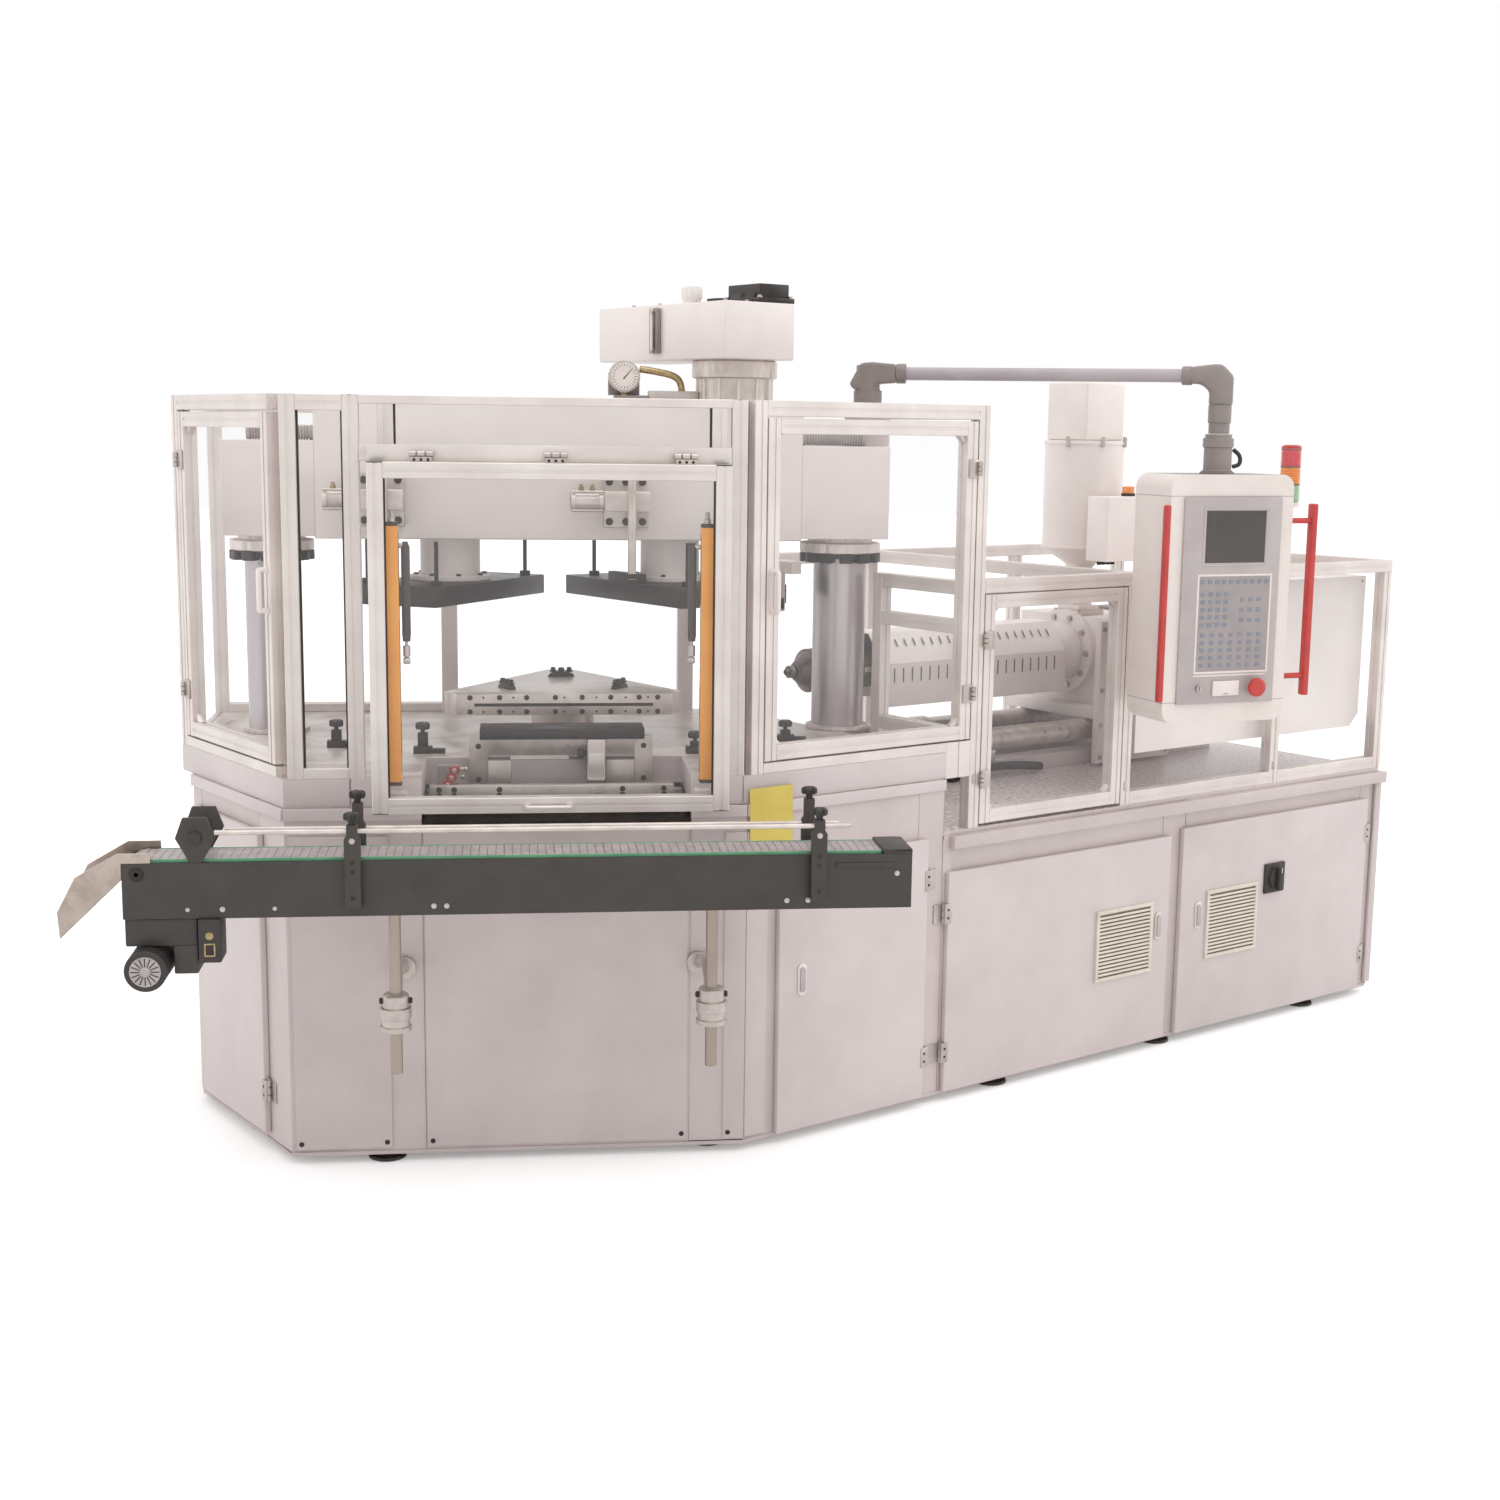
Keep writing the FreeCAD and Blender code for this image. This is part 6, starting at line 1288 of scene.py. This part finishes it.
def injection_unit():
    """Bed, carriage, screw with its heated barrel and cover, and their fasteners."""
    dress("injection_bed", body_coat_with_painted_shade, 2.0, INJECTION,
          pick=lambda x, y, z, n: ground_steel if z > 879 and 112 < abs(y) < 188 and
          abs(n.x) < 0.2 else None)
    dress("injection_carriage", white_paint, 3.0, INJECTION)
    dress("screw_drive", grey_paint, 3.0, INJECTION)
    dress("screw", ground_steel, 0, INJECTION)
    barrel = Piece("screw_barrel", "carriage", INJECTION)
    outline = [(818, 6), (819, 9), (830, 11), (831, 20), (846, 20), (847, 13), (852, 13),
               (853, 24), (858, 24), (862, 32), (900, 58), (903, 61), (905, 70)]
    starts = [925 + i * HEATER_PITCH for i in range(HEATERS)]
    for start in starts:
        outline += eased(start, start + 97, 70, 8)
    outline += [(2044.5, 62)]
    axis = (0, 0, SCREW_AXIS)
    barrel.turned(axis, "x", outline, heater_mica, 40)
    for start in starts:
        barrel.bar(start + 25, start + 65, -84, -66, SCREW_AXIS - 8, SCREW_AXIS + 8, zinc, 2)
    barrel.turned(axis, "x", [(817.9, 3), (818.2, 9), (819, 9)], black_steel, 20)
    barrel.turned(axis, "x", [(1942, 98), (1944, 104), (2040, 104), (2044, 100)], white_paint, 48)
    barrel.done("barrel", slot="steel")
    dress("barrel_cover", white_paint, 1.0, INJECTION)

    # The cover's slots are thin black bars on its faces: the shade inside each slot is painted.
    def slot(shape):
        shape.bar(-2.4, 2.4, -0.25, 0.25, 0, 46, black_steel, 0)

    def slant(shape):
        shape.prism([(-94, 1240), (-78, 1262), (-78.5, 1262.3), (-94.5, 1240.3)],
                    -2.2, 2.2, "x", black_steel, 0)

    for name, shape, y, z in (("cover_side_slots", slot, -COVER_SIDE, 1128),
                              ("cover_far_slots", slot, COVER_SIDE, 1128),
                              ("cover_slant_slots", slant, 0, 0)):
        rows(name, "carriage", INJECTION, shape, (1166, y, z), COVER_SLOTS, (SLOT_PITCH, 0, 0), 1,
             (0, 0, 1), black_steel)
    trim = Piece("cover_seams", "carriage", INJECTION)
    for x in (1490, 1530):
        trim.bar(x, x + 1.6, -125.6, -124.8, 1052, 1190, grey_paint, 0)
    trim.done()
    spots = [(2045, 122 * math.cos(a * math.pi / 5),
              SCREW_AXIS + 122 * math.sin(a * math.pi / 5), (-1, 0, 0)) for a in range(10)]
    bolts("housing_bolts", "carriage", INJECTION, spots, zinc, 9, 8, 12, 1.3)
    spots = [(x, -256, z, OUT) for x in (1990, 2325) for z in (830, 940, 1060, 1270)]
    bolts("carriage_plate_bolts", "carriage", INJECTION, spots, zinc, 7, 5, 12, 1.3)
    bed = Piece("bed_fittings", "machine", INJECTION)
    bearings = Piece("guide_bearings", "carriage", INJECTION)
    # Saddles of the two guide rods: one fixed on the bed, one riding with the carriage.
    for part, (_, _, x) in zip((bed, bearings), BED_BEARINGS):
        for y in (-150, 150):
            part.bar(x - 8, x + 78, y - 46, y + 46, 878, 884, white_paint, 2)
            part.turned((0, y, 915), "x", [(x + 4, 38), (x + 6, 44), (x + 64, 44), (x + 66, 38)],
                        white_paint, 40)
    bearings.done()
    for y in (-70, 70):
        bed.turned((0, y, 868), "x", [(1000, 14), (1002, 18), (1300, 18), (1302, 14)], zinc, 20)
    bed.pipe([(1330, -215, 814), (1410, -225, 824), (1520, -222, 838), (1640, -228, 832),
              (1740, -222, 818)], 14, black_plastic, 14)
    bed.done()
    for name, body, x in BED_BEARINGS:
        spots = [(x + dx, y, 884, UP) for dx in (0, 62) for y in (-188, -112, 112, 188)]
        bolts(name, body, INJECTION, spots, zinc, 6, 6)
    dress("cabinet_equipment", grey_paint, 2.0, INJECTION,
          pick=lambda x, y, z, n: black_steel if z > 472 and x < 1720 else None)


HOPPER, BEACON = (2125, 0, 0), (2151, -188, 0)
BOX_FRONT = -236


def hopper():
    """Hopper drum with its loader, the loader's control box and the beacon on it."""
    body = Piece("hopper_body", "carriage", INJECTION)
    body.turned(HOPPER, "z", [(1312, 45), (1469, 45), (1526, 131), (1531, 136), (1903, 136)],
                white_paint, 72)
    body.bar(2031, 2219, -94, 94, 1903, 2100, white_paint, 8, 3)
    body.bar(2004, 2231, BOX_FRONT, -140, 1496, 1716, white_paint, 4, 3)
    body.bar(2095, 2155, -140, -134, 1549, 1696, white_paint, 1)
    body.turned(BEACON, "z", [(1716, 20), (1742, 20), (1747, 17), (1750, 9)], lens_amber, 32)
    body.done("hopper_loader")
    piece = Piece("loader_fittings", "carriage", INJECTION)
    # Clamp rings and latches of the loader, and the throat plate.
    for z, radius in ((1536, 139), (1894, 139), (1472, 52)):
        piece.turned(HOPPER, "z", eased(z - 5, z + 5, radius + 1, 4), white_paint, 64)
    piece.bar(2060, 2190, -62, 62, 1296, 1312, aluminium, 3)
    piece.bar(2075, 2175, -52, 52, 1312, 1330, white_paint, 3)
    for angle in (200, 250, 300):
        a = math.radians(angle)
        x, y = HOPPER[0] + 141 * math.cos(a), 141 * math.sin(a)
        piece.turned((x, y, 0), "z", eased(1880, 1916, 7, 3), zinc, 14)
    # Display of the control box: dark film with two plain fields, over a row of cable glands.
    piece.bar(2148, 2226, BOX_FRONT - 1.4, BOX_FRONT, 1506, 1706, dark_glass, 1, 1)
    for z0, z1, finish in ((1640, 1692, keypad_foil), (1520, 1618, key_ink)):
        piece.bar(2156, 2218, BOX_FRONT - 2, BOX_FRONT - 1, z0, z1, finish, 0.4, 1)
    for x in (2018, 2040, 2062, 2084):
        piece.turned((x, -190, 0), "z", [(1484, 6), (1486, 8), (1494, 8), (1497, 6)],
                     black_plastic, 12)
    # Base ring of the beacon.
    piece.turned(BEACON, "z", [(1716, 22), (1718, 24), (1724, 24), (1726, 21)],
                 black_plastic, 28)
    piece.done()

    def rib(shape):
        shape.bar(18.5, 20.4, -1, 1, 1727, 1748, lens_amber, 0.3, 1)

    rings("beacon_ribs", "carriage", INJECTION, rib, BEACON, UPRIGHT, 16, lens_amber)
    spots = [(x, y, 1312, UP) for x in (2068, 2182) for y in (-54, 54)]
    bolts("throat_bolts", "carriage", INJECTION, spots, zinc, 5, 5)


LENS_RIBS, LENS_PITCH = 7, 7


def hood():
    """Cover of the drive, and the tower light that stands on it."""
    dress("drive_cover", white_paint, 1.4, INJECTION)
    spots = [(x, -745, 1442, OUT) for x in (1640, 2180, 2722)]
    bolts("hood_screws", "carriage", INJECTION, spots, zinc, 4, 2.4, 14, 1.3)
    tower = Piece("signal_tower", "carriage", INJECTION)
    centre = (2490, -600, 0)
    tower.turned(centre, "z", [(1459, 32), (1462, 32), (1465, 14), (1467, 12), (1690, 12),
                               (1692, 30), (1700, 33), (1706, 33), (1708, 30)], aluminium, 32)
    for z, lens in ((1708, lens_green), (1767, lens_amber), (1826, lens_red)):
        outline = [(z, 30)]
        for i in range(LENS_RIBS):
            rib = z + i * LENS_PITCH
            outline += [(rib + 2, 33.5), (rib + 5, 33.5), (rib + 6.5, 31.5)]
        outline += [(z + 53, 33), (z + 56, 30)]
        tower.turned(centre, "z", outline, lens, 32)
        tower.turned(centre, "z", [(z + 55, 31), (z + 56, 34.5), (z + 58, 34.5), (z + 59, 31)],
                     grey_paint, 32)
    tower.turned(centre, "z", [(1884, 33), (1892, 32), (1897, 22)], red_plastic, 32)
    tower.done("tower_light", slot="red")


# Control panel and its arm.

ARM_HEIGHT = 2095


def arm():
    """Swinging arm: cast elbow on the post, tube, and the elbow that hangs the panel."""
    dress("arm_post", body_coat_with_painted_shade, 3.0)
    piece = Piece("arm_tube", "arm", ARM)
    middle = (0, 0, ARM_HEIGHT)
    piece.turned((0, 0, 0), "z", [(1985, 38), (1987, 42), (2044, 42), (2046, 36), (2060, 35),
                                  (2118, 35), (2119, 30)], grey_paint, 40)
    piece.prism([(-54, 2062), (-20, 2125), (14, 2128), (86, 2122), (86, 2068), (30, 2064),
                 (20, 2044), (-36, 2044)], -30, 30, "y", grey_paint, 9, 3)
    piece.turned(middle, "x", [(84, 24), (86, 29), (112, 29), (114, 22), (114.5, 19),
                               (914, 19), (915, 22), (918, 27), (944, 27), (946, 24)],
                 grey_paint, 32)
    piece.turned(middle, "x", [(113, 19.2), (916, 19.2)], tube_paint, 32)
    piece.prism([(940, 2120), (1008, 2128), (1030, 2127), (1062, 2094), (1062, 2010),
                 (996, 2010), (996, 2052), (970, 2072), (940, 2072)], -29, 29, "y", grey_paint,
                9, 3)
    piece.turned((ARM_LENGTH, 0, 0), "z", [(1930, 24), (1931, 30), (1960, 30), (1962, 33),
                                     (2012, 33), (2013, 28)], grey_paint, 36)
    piece.done("support_arm", slot="grey_paint")


PANEL_FACE, CASE_TOP, BEZEL_BACK = -98, 1814.8, -90.5


def panel():
    """Control panel: case, screen, keypad, emergency stop, flap, key switch and handles."""
    def paint(x, y, z, normal):
        if z > CASE_TOP:
            return grey_paint
        return bezel_grey if y < BEZEL_BACK else None

    dress("hmi_case", cream, 2.0, PANEL, pick=paint)
    face = PANEL_FACE
    piece = Piece("panel_face", "panel", PANEL)
    # Shadow gap under each moulded end cap.
    for z in (1158, 1752):
        piece.bar(-207.4, 207.4, BEZEL_BACK, 100.4, z, z + 2.2, bezel_grey, 0)
    # Collars on the neck with their clamp screws.
    piece.turned((0, 0, 0), "z", [(1815, 48), (1816, 50), (1819, 50), (1820, 44), (1824, 44),
                                  (1826, 40), (1890, 40), (1892, 44), (1916, 44), (1919, 38),
                                  (1928.5, 36)], grey_paint, 40)
    piece.pipe([(38, -22, 1836), (60, -26, 1842), (60, -26, 1868), (42, -14, 1886)], 6,
               black_plastic)
    # Screen in its stepped window.
    frame_in(piece, -101, 120, 1553, 1722, face - 1.2, 9, bezel_grey)
    piece.bar(-91, 110, face - 0.8, face + 0.2, 1563, 1712, dark_glass, 0.3, 1)
    # Keypad foil in its frame, and the rule below it.
    frame_in(piece, -112, 140, 1242, 1530, face - 1.0, 6, cream)
    piece.bar(-106, 134, face - 0.6, face + 0.3, 1248, 1524, keypad_foil, 0.2, 1)
    piece.bar(-111, 135, face - 0.8, face + 0.3, 1234, 1238, cream, 0.2, 1)
    frame_in(piece, -51, 47, 1172, 1224, face - 1.4, 3.5, bezel_grey)
    piece.done()

    def key(shape):
        shape.bar(-7, 7, -1.1, 0, -5.5, 5.5, key_ink, 0.5, 1)

    for name, x, z, columns, count, dx, dz in (
            ("function_keys", -94, 1508, 10, 1, 24, 20), ("left_keys", -92, 1384, 4, 5, 26, 22),
            ("arrow_keys", 42, 1396, 3, 3, 28, 30), ("low_keys", -88, 1266, 7, 5, 32, 22)):
        rows(name, "panel", PANEL, key, (x, face - 0.6, z), columns, (dx, 0, 0), count,
             (0, 0, dz), key_ink)
    stop = Piece("stop_mushroom", "stop_button", PANEL)
    stop.turned((92, 0, 1200), "y", [(face - 34, 12), (face - 33, 21), (face - 30, 26.5),
                                     (face - 24, 28), (face - 17, 27), (face - 14, 21),
                                     (face - 13, 13.8), (face - 5.3, 13.8)], red_plastic, 40)
    stop.done("e_stop", slot="red")
    flap = Piece("cover_flap", "usb_flap", PANEL)
    flap.bar(-47, 43, face - 6.3, face - 0.3, 1176, 1220, cream, 2.5, 3)
    flap.bar(-10, 6, face - 6.9, face - 6, 1180, 1184, bezel_grey, 0.3, 1)
    flap.done("usb_flap", slot="cream")
    barrel = Piece("key_barrel", "key_switch", PANEL)
    barrel.turned((-95, 0, 1200), "y", [(face - 10.3, 7), (face - 9.6, 9), (face - 0.3, 9)],
                  zinc, 24)
    # The keyway is a black bar on the barrel's face: the shade inside it is painted.
    barrel.bar(-96, -94, face - 10.8, face - 10, 1194, 1206, black_steel, 0)
    barrel.done("key_switch", slot="steel")
    handles = Piece("red_handles", "panel", PANEL)
    handles.bar(331, 351, -18, 10, 1154, 1728, red_plastic, 5, 3)
    for z in (1214, 1678):
        handles.turned((0, -4, z), "x", [(206, 11), (210, 12), (214, 8.5), (333, 8.5)],
                       red_plastic, 20)
    handles.bar(-224.5, -206.5, -95, -75, 1162, 1728, red_plastic, 5, 3)
    handles.done("hmi_handles", slot="red")


def frame_in(piece, x0, x1, z0, z1, y, width, finish):
    """A thin raised frame on the panel's face."""
    for a0, a1, b0, b1 in bordered(x0, x1, z0, z1, width):
        piece.bar(a0, a1, y, PANEL_FACE + 0.5, b0, b1, finish, 0.5, 1)


# Conveyor.

# Side plates of the conveyor, its belt's middle, and its two rollers.
NEAR, FAR, BELT_Y = -1100, -950, -1025
DRIVE_ROLLER, IDLER_ROLLER, ROLLER_HEIGHT, BELT_RADIUS = -1014, 788, 886, 31
BELT_MODULES, RUN_STEPS, BEND_STEPS = 190, 40, 12


def conveyor():
    """Conveyor: side plates, trim, the modular belt and its two rollers."""
    def paint(x, y, z, normal):
        return leg_steel if z < 777 else None

    dress("conveyor_frame", black_paint, 1.6, pick=paint)
    spots = [(x, NEAR, 800, OUT) for x in (-330, -300, 515, 567, -820)]
    spots += [(DRIVE_ROLLER, NEAR, ROLLER_HEIGHT, OUT), (785, NEAR, 864, OUT)]
    bolts("side_plate_screws", "conveyor", PRESS, spots, zinc, 5, 3, 12, 1.3)
    trim = Piece("conveyor_trim", "conveyor", PRESS)
    trim.turned((DRIVE_ROLLER, 0, ROLLER_HEIGHT), "y",
                [(NEAR - 3, 12), (NEAR - 2, 16), (NEAR, 17)], black_steel, 24)
    for y0, y1 in ((NEAR + 10, NEAR + 13.6), (FAR - 13.6, FAR - 10)):
        trim.bar(-985, 748, y0, y1, 902, 919.6, green_guide, 1, 1)
    trim.bar(633, 782, NEAR - 3, NEAR, 880, 892, black_paint, 1.0)
    trim.prism([(748, 919.5), (822, 919.5), (822, 923), (812, 924.5), (750, 924.5)],
               NEAR + 1, FAR - 1, "y", black_paint, 1)
    trim.done()
    spots = [(x, NEAR, 800, OUT) for x in (-900, -700)]
    bolts("drive_end_screws", "conveyor", PRESS, spots, zinc, 4, 2.5, 12, 1.3)
    # Belt modules round the two rollers.
    start, end, mid, radius = DRIVE_ROLLER, IDLER_ROLLER, ROLLER_HEIGHT, BELT_RADIUS
    line = bpy.data.curves.new("belt_path", "CURVE")
    line.dimensions = "3D"
    run = [(end - start) * i / RUN_STEPS for i in range(RUN_STEPS + 1)]
    turns = [math.pi * i / BEND_STEPS for i in range(1, BEND_STEPS)]
    bend = [(radius * math.sin(turn), radius * math.cos(turn)) for turn in turns]
    path = [(start + along, mid + radius) for along in run]
    path += [(end + out, mid + rise) for out, rise in bend]
    path += [(end - along, mid - radius) for along in run]
    path += [(start - out, mid - rise) for out, rise in bend]
    spline = line.splines.new("POLY")
    spline.points.add(len(path) - 1)
    spline.use_cyclic_u = True
    for point, (x, z) in zip(spline.points, path):
        spot = PRESS @ Vector((x * MM, BELT_Y * MM, z * MM))
        point.co = (*spot, 1)
    belt = grown(line, PATH, {"Count": BELT_MODULES, "Module": Vector((17.5, 122, 2.2)) * MM,
                              "Bead": 1.7 * MM, "Finish": belt_acetal})
    keep("belt_modules", belt, [belt_acetal], "conveyor", ("conveyor_belt",), "belt")
    for node, x in (("drive_roller", DRIVE_ROLLER), ("idler_roller", IDLER_ROLLER)):
        piece = Piece(node + "_shape", node, PRESS)
        piece.turned((x, 0, ROLLER_HEIGHT), "y",
                     [(NEAR + 10.3, 8), (NEAR + 11, 12), (NEAR + 13, 12), (NEAR + 14, 27),
                      (FAR - 14, 27), (FAR - 13, 12), (FAR - 11, 12), (FAR - 10.3, 8)],
                     black_plastic, 36, lambda i: 0.94 if i % 6 == 0 else 1)
        piece.done(node)


def knob(piece, centre, way, reach):
    """A five-lobed clamping knob with its hub; reach is its height along the axis."""
    sign = 1 if reach > 0 else -1
    high = abs(reach)
    outline = [(0, 8), (high * 0.35, 9), (high * 0.4, 18), (high * 0.5, 20), (high * 0.85, 20),
               (high, 15)]
    piece.turned(centre, way, [(sign * a, r) for a, r in outline], black_plastic, 40,
                 lambda i: 0.72 if i % 8 in (0, 1, 7) else 1)


def guide_rails():
    """Guide rails on stands with star knobs, and a cheek with a knob each side at the drive."""
    piece = Piece("rail_clamps", "conveyor", PRESS)
    for y, height, head in ((-1112, 986, 1002), (-938, 958, 1022)):
        piece.turned((0, y, height), "x", eased(-832, 666, 6, 1.5), ground_steel, 20)
        for x in (-517, 590):
            piece.prism([(x - 19, 800), (x + 19, 800), (x + 19, 968), (x + 13, 976),
                         (x + 13, head), (x - 13, head), (x - 13, 976), (x - 19, 968)],
                        y - 11, y + 11, "y", black_paint, 2.2)
            knob(piece, (x, y, head), "z", 28)
            if y < -1100:
                piece.turned((x, 0, 964), "y", [(y - 14, 4), (y - 13, 7), (y - 11, 7)], zinc, 12)
                for z in (826, 890, 912):
                    piece.turned((x, 0, z), "y", [(y - 13, 3), (y - 12, 5), (y - 11, 5)],
                                 black_steel, 12)
    for y0, y1 in ((NEAR, NEAR + 10), (FAR - 10, FAR)):
        piece.prism([(-892, 912), (-864, 912), (-832, 970), (-850, 1019), (-906, 1019),
                     (-924, 970)], y0, y1, "y", black_paint, 2)
        piece.turned((-878, 0, 972), "y", [(y0 - 12, 10), (y0 - 10, 16), (y0, 18)],
                     black_plastic, 6)
    piece.done("guide_rails", slot="black_paint")


MOTOR_X, MOTOR_HEIGHT, MOTOR_FINS, FIN_PITCH = -995, 662, 14, 6


def conveyor_drive():
    """Finned gear motor with its fan grille, the speed box beside it and the chute."""
    piece = Piece("gear_motor", "conveyor", PRESS)
    motor = (MOTOR_X, 0, MOTOR_HEIGHT)
    piece.bar(-1045, -880, NEAR + 4, FAR - 4, 712, 778, black_paint, 4)
    piece.bar(-935, -880, NEAR + 2, FAR - 2, 645, 714, black_paint, 3)
    fins = [(NEAR - 39, 30), (NEAR - 38, 44), (NEAR - 34, 49), (NEAR - 26, 49)]
    for i in range(MOTOR_FINS):
        along = NEAR - 24 + i * FIN_PITCH
        fins += [(along, 42), (along + 1, 49), (along + 3.4, 49), (along + 4, 42)]
    fins += [(NEAR + 62, 46), (NEAR + 64, 49.5), (FAR, 49.5)]
    piece.turned(motor, "y", fins, black_plastic, 48)
    piece.turned(motor, "y", [(NEAR - 39.6, 16), (NEAR - 39.2, 36), (NEAR - 38, 36)], conduit, 36)
    # Speed box: a brass dial, and a rocker in a brass surround.
    piece.bar(-877, -825, NEAR - 8, NEAR + 80, 673, 778, black_plastic, 3)
    piece.turned((-851, 0, 738), "y", [(NEAR - 10, 5), (NEAR - 9.5, 9), (NEAR - 8, 10)], brass,
                 20)
    for x0, x1, z0, z1 in bordered(-864, -838, 688, 720, 4):
        piece.bar(x0, x1, NEAR - 9.4, NEAR - 7.8, z0, z1, brass, 0.4, 1)
    piece.bar(-859, -843, NEAR - 9.8, NEAR - 7.8, 693, 715, black_steel, 0.8, 1)
    piece.done("conveyor_drive", slot="black_plastic")

    def spoke(shape):
        shape.bar(12, 33, -1.4, 1.4, 0, 1.2, black_plastic, 0.3, 1)

    rings("motor_grille", "conveyor", PRESS, spoke, (MOTOR_X, NEAR - 39.9, MOTOR_HEIGHT),
          ALONG_Y, 16, black_plastic)
    chute = Piece("chute_sheet", "conveyor", PRESS)
    chute.prism([(-1192, 734), (-1048, 873), (-1048, 876), (-1192, 737)], NEAR + 2, FAR - 2,
                "y", stainless, 0.5, 1)
    for y in (NEAR, FAR - 3):
        chute.prism([(-1192, 734), (-1048, 873), (-1048, 912), (-981, 912), (-981, 936),
                     (-1057, 936), (-1154, 880), (-1196, 798)], y, y + 3, "y", stainless, 0.8, 1)
    chute.done("discharge_chute", slot="steel")


def leg_grips():
    """Clamp castings that hold the conveyor's legs, with their pipe elbows and flanges."""
    piece = Piece("leg_clamps", "machine", PRESS)
    for x in (-428, 341):
        piece.turned((x, BELT_Y, 0), "z", [(472, 30), (474, 37), (486, 38), (488, 34), (505, 34),
                                          (507, 38), (532, 38), (534, 32), (562, 32), (566, 28),
                                          (567, 22)], zinc, 40)
        piece.pipe([(x, -1002, 540), (x, -960, 566), (x, -900, 590), (x, -780, 575),
                    (x, -680, 530), (x, -661, 530)], 13, zinc, 16)
        piece.turned((x, 0, 530), "y", [(-672, 24), (-670, 30), (-661, 30), (-660, 28)], zinc, 32)
        for way in (-1, 1):
            piece.turned((x + way * 30, BELT_Y, 548), "x",
                         [(-10, 5), (-8, 8), (8, 8), (10, 5)], black_steel, 12)
    piece.done("conveyor_brackets", slot="steel")


def panes():
    """The clear panes keep their CAD shape and take the pane's finish."""
    for node in ("guard_panes", "gate_pane", "left_door_pane", "right_door_pane",
                 "front_injection_pane"):
        mesh = frame["nodes"][node].data
        mesh.materials.clear()
        mesh.materials.append(pane)


studio()
floor()
camera()
base()
doors()
columns()
beam()
tank()
platens()
index_table()
stripper()
deck_clamps()
guard_frame()
gate()
gas_springs()
light_curtains()
guard_doors()
injection_unit()
hopper()
hood()
arm()
panel()
conveyor()
guide_rails()
conveyor_drive()
leg_grips()
panes()

bpy.context.scene.view_settings.view_transform = "Standard"
